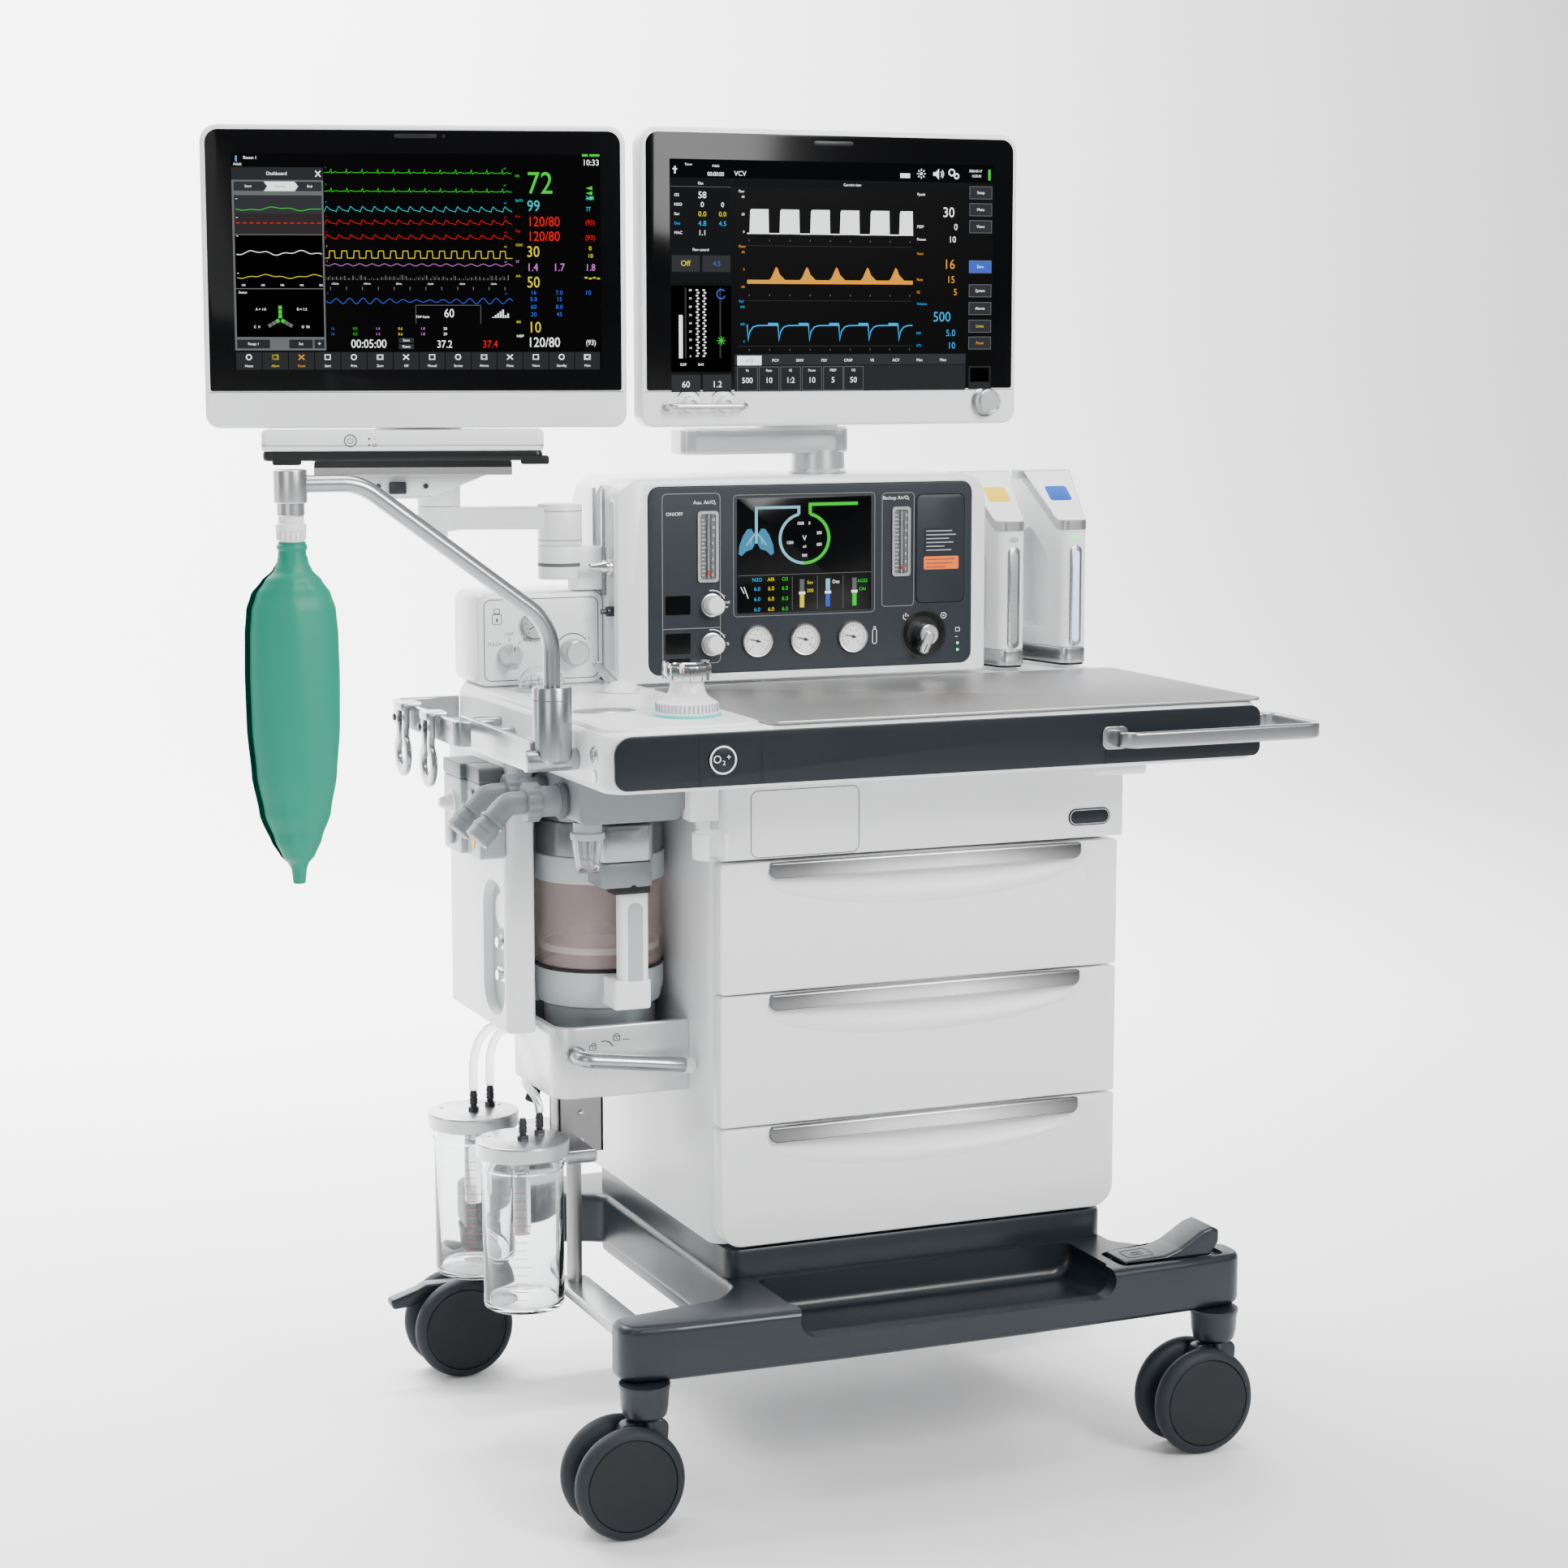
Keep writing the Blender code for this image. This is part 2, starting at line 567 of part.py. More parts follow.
def elbow(y):
    nut = prism(circle(y, 780, 22, 14), "x", -410, -395.4, 2, 1)
    path = arc_path([(-409, y, 780), (-430, y, 780), (-458, y - 4, 752)], 14, 4)
    horn = tube(path, 15, 12)
    end = tube([Vector((-449, y - 3, 761)), Vector((-468, y - 5, 742))], 16.5, 12)
    return union(nut, horn, end)


node("hose_elbow_front", elbow(ELBOWS[0]), "grey", (-402, ELBOWS[0], 780))
node("hose_elbow_rear", elbow(ELBOWS[1]), "grey", (-402, ELBOWS[1], 780))


def water_trap():
    return lathe([(0, 702), (12, 702), (13, 708), (17, 738), (19, 740), (19, 745), (16, 746), (16, 760), (0, 760)], (-344, -152), "z", 14)


def holder():
    x, y = -223, -214
    ring = combine(cyl((x, y), 21, 718, 748, "z", 16), "DIFFERENCE", cyl((x, y), 16.5, 710, 760, "z", 16), box(x - 9, x + 9, y - 40, y, 710, 760))
    neck = box(x - 7, x + 7, y + 17, y + 30, 726, 760, 2, "z", 1)
    return union(ring, neck)


node("breathing_block", union(breathing_block(), water_trap(), holder()), "grey")


def tower():
    top = TABLE_Z[0] - GAP
    plan = [(-400, -37), (-367, -37), (-367, 88), (-204, 88), (-204, 190), (-400, 190)]
    body = prism(rounded(plan, [12, 5, 5, 5, 5, 14], 3), "z", 500, top, 2.5, 1)
    oval = prism(rounded([(-24, 514), (54, 514), (54, 670), (-24, 670)], 34, 4), "x", -410, -386)
    return cut(body, oval)


def gas_modules():
    a = box(-430, -400.4, -34, 18, 702, 806, 5, "x", 2, 2)
    b = box(-436, -400.4, 17, 84, 702, 806, 5, "x", 2, 2)
    cone = lathe([(0, -400.4 - 30), (14, -400.4 - 30), (12, -442), (5, -452), (0, -452)][::-1], (50, 758), "x", 16)
    return union(a, b, cone)


node("gas_tower", tower(), "white")
node("gas_modules", gas_modules(), "white")

# ---------------------------------------------------------------- absorber
def canister_head():
    x, y = CAN_C
    ring = lathe([(0, 672), (CAN_R + 2, 672), (CAN_R + 2, 702), (CAN_R, 703), (CAN_R, 738), (CAN_R - 4, 742), (CAN_R - 4, 757 - GAP), (0, 757 - GAP)], (x, y), "z", 24)
    clamp = box(-316, -254, -122, y - 50, 673, 746, 8, "z", 2, 3)
    return union(ring, clamp)


def canister_cup():
    x, y = CAN_C
    r, zt, zb = CAN_R - 1.5, 672 - GAP, 574
    return lathe([(r - 3, zt), (r, zt), (r, zb), (r - 3, zb)], (x, y), "z", 24)


def canister_base():
    x, y = CAN_C
    r = CAN_R
    cup = lathe([(0, 486), (r - 10, 486), (r - 10, 526), (r - 4, 532), (r, 545), (r, 574 - GAP), (r - 8, 574 - GAP), (r - 8, 584), (0, 584)], (x, y), "z", 24)
    handle = box(-291, -257, -112, -90, 537, 671, 6, "z", 2)
    foot = box(-299, -255, -113, y - 50, 534, 570, 5, "z", 1)
    return union(cup, foot, handle)


node("absorber_head", canister_head(), "silver")
node("absorber_canister", canister_cup(), "clear", (CAN_C[0], CAN_C[1], 620))
node("absorber_base", canister_base(), "grey", (CAN_C[0], CAN_C[1], 540))


def absorber_tray():
    x, y = CAN_C
    outer = rounded([(-361, -86), (-200.5, -86), (-200.5, 84), (-361, 84)], [26, 0, 0, 26], 5)
    inner = rounded([(-354.5, -79), (-190, -79), (-190, 77), (-354.5, 77)], [22, 0, 0, 22], 5)
    wall = cut(prism(outer, "z", 430, 512, 2, 1), prism(inner, "z", 446, 530))
    return wall


def lock_handle():
    path = arc_path([(-338, -86.5, 482), (-338, -112, 481), (-206, -112, 464)], 15, 4)
    rod = tube(path, 8.5, 12)
    return rod


node("absorber_tray", absorber_tray(), "silver")
node("tray_lock_handle", lock_handle(), "silver", (-338, -99, 482))

# ---------------------------------------------------------------- side rails, hooks
def side_rail():
    rail = box(-440, -432, -246, 8, 828, 862, 3, "x", 2, 1)
    front = cyl((POST[1], 841), 12, -446, -388.5, "x", 16)
    s1 = cyl((-30, 845), 7, -436, -388.5, "x", 12)
    post = lathe([(0, 840), (21, 852), (21, 919), (0, 919)], POST, "z", 16)
    return union(rail, front, s1, post)


def hose_rail():
    sec = rounded([(-4, -14), (4, -14), (4, 14), (-4, 14)], 2, 1)
    path = arc_path([(-388.5, 178, 851), (-466, 178, 851), (-466, -72, 851), (-452, -72, 851)], 12, 3)
    bar = sweep(path, sec)
    s1 = cyl((20, 851), 7, -464, -388.5, "x", 12)
    return union(bar, s1)


def hook(y):
    """Keyhole-shaped spring clip hanging from the hose rail, seen along the rail's normal."""
    path = [Vector((-478, y + 13, 866)), Vector((-478, y + 13, 846)), Vector((-478, y + 10, 834))]
    for k in range(11):
        a = math.radians(35 + 290 * k / 10)
        path.append(Vector((-478, y + 20 * math.sin(a), 810 + 20 * math.cos(a))))
    path += [Vector((-478, y - 10, 834)), Vector((-478, y - 13, 846)), Vector((-478, y - 13, 866))]
    loop = sweep(path, [(-2, -6), (2, -6), (2, 6), (-2, 6)])
    return union(loop, box(-484, -459, y - 15.3, y + 15.3, 861, 869))


node("side_rail", side_rail(), "silver")
node("hose_rail", union(hose_rail(), hook(103), hook(2)), "silver")

# ---------------------------------------------------------------- bag arm and bag
HEAD_X = -692


def bag_arm():
    x, y = POST
    path = arc_path([(x, y, 919 + GAP), (x, y, 985), (-620, y, 1137), (HEAD_X + 10, y, 1137)], 45, 5)
    rod = tube(path, 9, 12)
    head = cyl((HEAD_X, y), 17, 1118, 1152, "z", 16, 1.5)
    nip = lathe([(0, 1076), (12.5, 1076), (13.5, 1090), (15.5, 1091), (15.5, 1097), (11, 1098), (11, 1108), (14, 1109), (14, 1125), (0, 1125)], (HEAD_X, y), "z", 14)
    return union(rod, head, nip)


def bag():
    """The closed outer form of a flattish reservoir bag with its neck."""
    y = POST[1]
    prof = [(0, 728), (7, 729), (8, 742), (16, 752), (30, 786), (42, 850), (46, 925), (45.5, 985), (42, 1018), (33, 1038), (17, 1052), (14.5, 1062), (14, 1075.6), (0, 1075.6)]
    b = lathe(prof, (HEAD_X + 1, y), "z", 16)
    for v in b.verts:
        v.co.y = y + (v.co.y - y) * (0.86 if v.co.z < 1050 and v.co.z > 745 else 1)
    return b


node("bag_arm", bag_arm(), "silver", (POST[0], POST[1], 919))
node("breathing_bag", bag(), "green")

# ---------------------------------------------------------------- left monitor on its arm
def link_arm():
    hub = cyl(LHUB, 26, 1044 + GAP, 1092, "z", 14, 1.5)
    end = cyl(LPIV, 25, 1062, 1090 - GAP, "z", 14, 1.5)
    a, b = Vector(LHUB), Vector(LPIV)
    d = (b - a).normalized()
    s = Vector((-d.y, d.x)) * 19
    bar = prism([a + s, b + s, b - s, a - s], "z", 1063, 1089, 3, 1)
    knob_ = cyl(LPIV, 10, 1050, 1063, "z", 12)
    return union(hub, bar, end, knob_)


def turned(bm):
    return turn(bm, LYAW, (LMON[0], LMON[1], 0))


def monitor_base():
    x, y = LMON
    plate = turned(box(x - 118, x + 106, y - 62, y + 60, 1126, 1138, 3, "y", 1))
    shell = turned(box(x - 176, x + 142, y - 80, y + 100, 1142, 1179, 6, "z", 2, 3))
    feet = [turned(box(x + sx * 130 - 12 - 15, x + sx * 130 + 12 - 15, y - 60, y - 40, 1134, 1146)) for sx in (-1, 1)]
    mid = turned(box(x - 100, x + 90, y - 50, y + 50, 1134, 1146))
    neck = union(cyl(LPIV, 25, 1090, 1130, "z", 20, 0), turned(box(x - 66, x + 26, y - 40, y + 20, 1098, 1130, 6, "z", 2)))
    stand = turned(box(x - 50, x + 50, y - 2 + GAP, y + 34, 1170, 1330, 8, "z", 2))
    return union(shell, mid, plate, neck, *feet, stand)


def monitor(cx, y0):
    z0, z1 = MON_Z, MON_Z + MON_H
    h = MON_W / 2
    shell = prism(rounded([(cx - h, z0), (cx + h, z0), (cx + h, z1), (cx - h, z1)], 18, 3), "y", y0, y0 + 30, 5, 1)
    back = box(cx - h + 40, cx + h - 40, y0 + 20, y0 + MON_T, z0 + 34, z1 - 34, 20, "y", 2, 6)
    return union(shell, back)


node("left_link_arm", link_arm(), "white", (LHUB[0], LHUB[1], 1070))
node("left_monitor_base", monitor_base(), "white", (LPIV[0], LPIV[1], 1100))
LM = turned(monitor(LMON[0], LMON[1] - 44))
node("left_monitor", LM, "white", (LMON[0], LMON[1], 1350))

# ---------------------------------------------------------------- right monitor on its arm
TILT = (29.0, 112.0, 1300.0)


def right_arm():
    x, y = NECK
    neck = cyl((x, y), 35, HOUSING_Z[1] + GAP, 1150, "z", 18, 1.5)
    bar = box(-134, x + 36, y - 30, y + 30, 1146, 1177, 22, "z", 3, 4)
    riser = box(-20, 78, y + 2, y + 24, 1170, 1318, 8, "y", 2, 2)
    return union(neck, bar, riser)


def right_monitor():
    m = monitor(MON_R[0], MON_R[1])
    # round knuckle about the tilt axis, on a web to the housing's back
    lug = union(cyl(TILT[1:], 13.5, -10, 68, "x", 16), box(-10, 68, MON_R[1] + MON_T - 4, TILT[1], TILT[2] - 9, TILT[2] + 9))
    dots = [cyl((-153, 1207), 9, 14, 34, "y", 16, 2), cyl((-110, 1207), 9, 14, 34, "y", 16, 2)]
    return union(m, lug, *dots)


node("right_monitor_arm", right_arm(), "silver", (NECK[0], NECK[1], 1121))
node("right_monitor", right_monitor(), "white", TILT)
node("monitor_knob", knob((227, 1207), 15, MON_R[1] - GAP, 15), "silver", (227, 22, 1207))

# ---------------------------------------------------------------- suction stand, jars, hoses
def suction_stand():
    channel = box(-318, -262, 34, 66, 336, 429.6, 2, "z", 1)
    pole = cyl((-296, 44), 9, 168, 340, "z", 16)
    foot = prism(rounded([(-316, -236), (-276, -236), (-276, 66), (-316, 66)], [4, 4, 14, 14], 3), "z", 168, 180, 2, 1)
    bar = box(-338, -300, -52, 116, 346, 362, 4, "y", 2)
    return union(channel, pole, foot, bar)


def jar(x, y):
    z0, z1 = JAR_Z
    glass = lathe([(0, z0), (JAR_R - 3, z0), (JAR_R, z0 + 5), (JAR_R, z1), (JAR_R - 3.5, z1), (JAR_R - 3.5, z0 + 8), (JAR_R - 6, z0 + 4), (0, z0 + 4)], (x, y), "z", 24)
    return glass


def lid(x, y):
    z = JAR_Z[1] + GAP
    cap = lathe([(0, z), (LID_R, z), (LID_R, z + 17), (LID_R - 1.5, z + 18.5), (0, z + 18.5)], (x, y), "z", 24)
    barbs = [lathe([(0, z + 17), (6.5, z + 17), (6.5, z + 23), (4, z + 24), (5, z + 31), (3.5, z + 44), (0, z + 44)], (x + dx, y + dy), "z", 8) for dx, dy in ((-2, -8), (24, 10))]
    return union(cap, *barbs)


# the stand's foot bears on the base, so it keeps clear of the base's bar
node("suction_stand", suction_stand(), "silver")
for k, (jx, jy) in enumerate(JARS):
    tag = ("front", "rear")[k]
    node("suction_jar_" + tag, jar(jx, jy), "clear", (jx, jy, 270))
    node("jar_lid_" + tag, lid(jx, jy), "silver", (jx, jy, 370))


def hose(name, pts, r):
    """A clear hose on one smooth curve (Catmull-Rom) through its route."""
    pts = [Vector(p) for p in pts]
    ends = [pts[0] * 2 - pts[1]] + pts + [pts[-1] * 2 - pts[-2]]
    out = []
    for a, b, c, d in zip(ends, ends[1:], ends[2:], ends[3:]):
        n = max(2, round((c - b).length / 14))
        for k in range(n):
            t = k / n
            out.append(0.5 * (2 * b + (c - a) * t + (2 * a - 5 * b + 4 * c - d) * t * t + (3 * b - a - 3 * c + d) * t ** 3))
    out.append(pts[-1])
    cu = bpy.data.curves.new(name, "CURVE")
    cu.dimensions = "3D"
    sp = cu.splines.new("POLY")
    sp.points.add(len(out) - 1)
    for q, p in zip(sp.points, out):
        q.co = (*(p * 0.001), 1)
    cu.bevel_depth = r * 0.001
    cu.bevel_resolution = 2
    cu.use_fill_caps = True
    ob = bpy.data.objects.new(name, cu)
    ob.location = (OFF_X * 0.001, OFF_Y * 0.001, 0)
    cu.materials.append(material("clear"))
    bpy.context.scene.collection.objects.link(ob)


BARB_Z = JAR_Z[1] + GAP + 44
END_X = -232 - GAP
hose("suction_hose_rear_a", [(-400, 101, BARB_Z + GAP), (-400, 101, 420), (-398, 103, 446), (-386, 108, 470), (-362, 114, 481), (-334, 118, 474), (-306, 121, 456), (-276, 122, 443), (END_X - 16, 122, 440), (END_X, 122, 440)], 5)
hose("suction_hose_rear_b", [(-374, 119, BARB_Z + GAP), (-374, 119, 420), (-372, 122, 444), (-361, 129, 463), (-338, 137, 470), (-312, 143, 463), (-286, 147, 449), (-264, 148, 441), (END_X - 16, 148, 440), (END_X, 148, 440)], 5)
hose("suction_hose_front", [(-364, -35, BARB_Z + GAP), (-364, -33, 414), (-363, -20, 421), (-360, 8, 423), (-354, 44, 422), (-343, 76, 420), (-322, 97, 418), (-294, 108, 417), (END_X - 20, 110, 416), (END_X, 110, 416)], 5)
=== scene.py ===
"""Looks of the anesthesia workstation: finer visual pieces, materials, light and camera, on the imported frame.
Shape helpers work in millimetres in the machine's own layout; put() moves them into the row frame in metres."""
import math
import random

import bmesh
import bpy
from mathutils import Matrix, Vector


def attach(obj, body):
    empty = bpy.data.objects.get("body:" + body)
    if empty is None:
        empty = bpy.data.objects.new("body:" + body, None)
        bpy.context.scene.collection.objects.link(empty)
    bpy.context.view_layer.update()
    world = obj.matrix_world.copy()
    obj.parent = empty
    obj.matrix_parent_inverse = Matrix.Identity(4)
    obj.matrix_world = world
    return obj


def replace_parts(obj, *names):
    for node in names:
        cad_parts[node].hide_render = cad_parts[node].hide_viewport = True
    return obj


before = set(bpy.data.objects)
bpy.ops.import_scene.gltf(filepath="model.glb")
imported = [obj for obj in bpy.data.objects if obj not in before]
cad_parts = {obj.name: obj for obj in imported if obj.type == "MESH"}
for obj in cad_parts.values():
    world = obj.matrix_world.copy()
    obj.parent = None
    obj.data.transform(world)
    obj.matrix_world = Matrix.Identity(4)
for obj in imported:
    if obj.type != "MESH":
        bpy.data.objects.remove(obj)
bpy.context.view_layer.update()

# ---------------------------------------------------------------- dimensions
OFF_X, OFF_Y = 139.25, 20.75      # moves the layout so the box centre is the origin
GAP = 0.4                       # clearance between touching pieces
WHEEL_R = 62.5                  # 125 mm casters
WHEEL_W = 24.0
CASTER_X = (-336.0, 371.0)
CASTER_Y = (-300.0, 300.0)
TRAIL = 26.0                    # axle offset behind the swivel axis
BASE_Z = (165.0, 228.0)
RISER_Z = 262.0
CAB_X = (-200.0, 299.0)
CAB_Y = (-160.0, 265.0)
FRONT_Y = -185.0
SEAMS = (265.0, 404.0, 556.0, 706.0)
FASCIA_TOP = 808.0
TABLE_X = (-388.0, 399.0)
TABLE_Y = (-334.0, 196.0)
TABLE_Z = (812.0, 878.0)
PLATE_TOP = 882.0
HOUSING_X = (-236.0, 238.0)
HOUSING_Y = (45.0, 205.0)
HOUSING_Z = (883.0, 1121.0)
PANEL = (-198.0, 218.0, 893.0, 1112.0)
CAN_C = (-279.0, -3.0)          # absorber axis
CAN_R = 74.0
POST = (-415.0, -245.0)         # bag arm post axis
MON_W, MON_H, MON_T = 478.0, 340.0, 42.0
MON_Z = 1181.0
MON_R = (29.0, 30.0)            # right monitor: centre x, front y
NECK = (50.0, 125.0)            # right arm swivel axis
LHUB = (-285.0, 105.0)          # left link's wall pivot
LPIV = (-417.0, 150.0)          # left link's outer pivot
LMON = (-438.0, 158.5)          # left monitor centre
LYAW = math.radians(-16.5)      # it is swivelled this far to the left
JAR_R, LID_R = 46.5, 53.5
JARS = ((-388.0, -45.0), (-398.0, 109.0))
JAR_Z = (186.0, 362.0)
N = 16                          # sides of a round piece

MANIFOLD = ((122, 440), (148, 440), (110, 416))
APL = (-263, -247)
DOME = (-330, 42)
KY = HOUSING_Y[0] - 0.5 - GAP
LEV = (-252, -6)
ELBOWS = (-133, -62)            # y of the two hose elbows
HEAD_X = -692
TILT = (29.0, 112.0, 1300.0)
BARB_Z = JAR_Z[1] + GAP + 44
END_X = -232 - GAP
PEDAL_AXIS = (316, -273, 228)

# ---------------------------------------------------------------- shape kit
def rounded(pts, r, seg=2):
    """A closed 2-D outline with its corners rounded; r is one radius or one per corner."""
    seg = max(5, seg * 2)
    out, n = [], len(pts)
    for i in range(n):
        p = Vector(pts[i])
        ri = r[i] if isinstance(r, (list, tuple)) else r
        a, b = Vector(pts[i - 1]) - p, Vector(pts[(i + 1) % n]) - p
        la, lb = a.length, b.length
        a.normalize()
        b.normalize()
        half = math.acos(max(-1, min(1, a.dot(b)))) / 2
        if ri <= 0 or half > math.radians(89):
            out.append(p)
            continue
        t = min(ri / math.tan(half), la * 0.49, lb * 0.49)
        rad = t * math.tan(half)
        c = p + (a + b).normalized() * (rad / math.sin(half))
        s, e = p + a * t - c, p + b * t - c
        ang = s.angle_signed(e) if s.length and e.length else 0
        for k in range(seg + 1):
            w = -ang * k / seg
            out.append(c + Vector((s.x * math.cos(w) - s.y * math.sin(w), s.x * math.sin(w) + s.y * math.cos(w))))
    return out


def place2d(p, axis, h):
    if axis == "z":
        return Vector((p[0], p[1], h))
    if axis == "y":
        return Vector((p[0], h, p[1]))
    return Vector((h, p[0], p[1]))


def fix(bm):
    bmesh.ops.recalc_face_normals(bm, faces=bm.faces[:])
    return bm


def prism(pts, axis, a, b, bevel=0.0, seg=1):
    """An outline extruded along an axis from a to b, with its two rims beveled."""
    seg = max(2, seg * 2)
    bm = bmesh.new()
    lo = [bm.verts.new(place2d(p, axis, a)) for p in pts]
    hi = [bm.verts.new(place2d(p, axis, b)) for p in pts]
    n = len(pts)
    bm.faces.new(lo)
    bm.faces.new(hi)
    for i in range(n):
        bm.faces.new((lo[i], lo[(i + 1) % n], hi[(i + 1) % n], hi[i]))
    fix(bm)
    if bevel:
        es = [e for e in bm.edges if (e.verts[0] in lo) == (e.verts[1] in lo)]
        bmesh.ops.bevel(bm, geom=es, offset=bevel, segments=seg, profile=0.5, affect="EDGES")
    return bm


def rect(x0, x1, y0, y1):
    return [(x0, y0), (x1, y0), (x1, y1), (x0, y1)]


def box(x0, x1, y0, y1, z0, z1, r=0.0, axis="z", seg=2, rim=0.0):
    """A box whose edges along one axis are rounded by r, and whose rims by rim."""
    a, b, o = {"z": ((x0, x1, y0, y1), (z0, z1), 0), "y": ((x0, x1, z0, z1), (y0, y1), 0),
               "x": ((y0, y1, z0, z1), (x0, x1), 0)}[axis]
    pts = rect(*a)
    if r:
        pts = rounded(pts, r, seg)
    return prism(pts, axis, b[0], b[1], rim)


def sides(n):
    """How many sides a round shape asked for with n gets."""
    return 24 if n < 12 else 40 if n < 20 else 56


def circle(cx, cy, r, n=N, start=0.0):
    n = sides(n)
    return [(cx + r * math.cos(start + 2 * math.pi * k / n), cy + r * math.sin(start + 2 * math.pi * k / n)) for k in range(n)]


def cyl(c, r, a, b, axis="z", n=N, bevel=0.0, seg=1):
    """A cylinder about the axis through the 2-D point c, from a to b."""
    return prism(circle(c[0], c[1], r, n), axis, a, b, bevel, seg)


def lathe(profile, c, axis="z", n=N):
    """A closed (radius, height) profile turned about an axis; radius 0 ends close it."""
    n = sides(n)
    bm = bmesh.new()
    rings = []
    for r, h in profile:
        if r <= 0:
            rings.append([bm.verts.new(place2d(c, axis, h))])
        else:
            rings.append([bm.verts.new(place2d((c[0] + r * math.cos(2 * math.pi * k / n), c[1] + r * math.sin(2 * math.pi * k / n)), axis, h)) for k in range(n)])
    pairs = list(zip(rings, rings[1:]))
    if profile[0][0] > 0:
        pairs.append((rings[-1], rings[0]))
    for p, q in pairs:
        for k in range(n):
            m = (k + 1) % n
            if len(p) == 1 and len(q) == 1:
                continue
            if len(p) == 1:
                bm.faces.new((p[0], q[k], q[m]))
            elif len(q) == 1:
                bm.faces.new((p[k], p[m], q[0]))
            else:
                bm.faces.new((p[k], p[m], q[m], q[k]))
    return fix(bm)


def arc_path(pts, r, seg=5):
    """A 3-D path whose corners are arcs of radius r."""
    seg = 12
    out = [Vector(pts[0])]
    for i in range(1, len(pts) - 1):
        p = Vector(pts[i])
        a, b = (Vector(pts[i - 1]) - p), (Vector(pts[i + 1]) - p)
        la, lb = a.length, b.length
        a.normalize()
        b.normalize()
        half = a.angle(b) / 2
        t = min(r / math.tan(half), la * 0.49, lb * 0.49)
        rad = t * math.tan(half)
        c = p + (a + b).normalized() * (rad / math.sin(half))
        s, e = p + a * t - c, p + b * t - c
        for k in range(seg + 1):
            out.append(c + s.normalized().slerp(e.normalized(), k / seg) * rad)
    out.append(Vector(pts[-1]))
    return out


def sweep(path, section):
    """A 2-D section swept along a 3-D path; its second axis starts as upward as it can."""
    path = [Vector(p) for p in path]
    bm = bmesh.new()
    t = (path[1] - path[0]).normalized()
    up = Vector((0, 0, 1)) if abs(t.z) < 0.9 else Vector((0, 1, 0))
    side = t.cross(up).normalized()
    rings = []
    for i, p in enumerate(path):
        if i == 0:
            t = (path[1] - path[0]).normalized()
        elif i == len(path) - 1:
            t = (path[-1] - path[-2]).normalized()
        else:
            t = ((path[i] - path[i - 1]).normalized() + (path[i + 1] - path[i]).normalized()).normalized()
        side = (side - t * side.dot(t)).normalized()
        up = side.cross(t).normalized()
        rings.append([bm.verts.new(p + side * s[0] + up * s[1]) for s in section])
    n = len(section)
    for p, q in zip(rings, rings[1:]):
        for k in range(n):
            bm.faces.new((p[k], p[(k + 1) % n], q[(k + 1) % n], q[k]))
    bm.faces.new(rings[0])
    bm.faces.new(rings[-1])
    return fix(bm)


def tube(path, r, n=12):
    return sweep(path, circle(0, 0, r, n))


def turn(bm, angle, c, axis="Z"):
    """Turns a shape by an angle in radians about an axis through the point c."""
    m = Matrix.Translation(Vector(c)) @ Matrix.Rotation(angle, 4, axis) @ Matrix.Translation(-Vector(c))
    bmesh.ops.transform(bm, matrix=m, verts=bm.verts[:])
    return bm


def as_object(bm, name="helper"):
    me = bpy.data.meshes.new(name)
    bm.to_mesh(me)
    bm.free()
    ob = bpy.data.objects.new(name, me)
    bpy.context.scene.collection.objects.link(ob)
    return ob


def combine(first, op, *others):
    """Joins ("UNION") or cuts ("DIFFERENCE") shapes with Blender's exact Boolean."""
    base = as_object(first)
    for other in others:
        tool = as_object(other, "tool")
        m = base.modifiers.new("b", "BOOLEAN")
        m.operation, m.solver, m.object = op, "EXACT", tool
        graph = bpy.context.evaluated_depsgraph_get()
        graph.update()
        me = bpy.data.meshes.new_from_object(base.evaluated_get(graph))
        base.modifiers.clear()
        base.data = me
        bpy.data.objects.remove(tool)
    out = bmesh.new()
    out.from_mesh(base.data)
    bpy.data.objects.remove(base)
    return out


def union(*shapes):
    return combine(shapes[0], "UNION", *shapes[1:])


def cut(shape, *tools):
    return combine(shape, "DIFFERENCE", *tools)


def base_frame():
    z0, z1 = BASE_Z
    plan = [(-362, -306), (-300, -312), (-100, -318), (120, -318), (330, -312), (408, -306), (408, -258), (325, -235), (292, -200),
            (292, 222), (325, 240), (408, 262), (408, 334), (-362, 334), (-362, 262), (-230, 240), (-196, 222), (-196, -200), (-230, -235), (-362, -258)]
    rad = [22, 60, 60, 60, 60, 22, 18, 20, 20, 20, 20, 18, 22, 22, 18, 20, 20, 20, 20, 18]
    bar = prism(rounded(plan, rad, 2), "z", z0, z1, 7, 1)
    riser = box(-190, 289, -178, 258, 150, RISER_Z, 14, "z", 2)
    tray_cut = prism([(-178, 186), (252, 186), (226, 240), (-150, 240)], "y", -340, -188)
    return cut(union(bar, riser), tray_cut, box(248, 384, -300, -246, 222, 240), )


def pedal():
    c = 316
    pts = [(c - 62, 232), (c - 6, 234), (c + 10, 238), (c + 44, 258), (c + 56, 261), (c + 62, 255), (c + 58, 247), (c + 8, 226), (c - 10, 225), (c - 62, 227)]
    return prism(rounded(pts, 3, 2), "y", -299, -247, 3, 1)


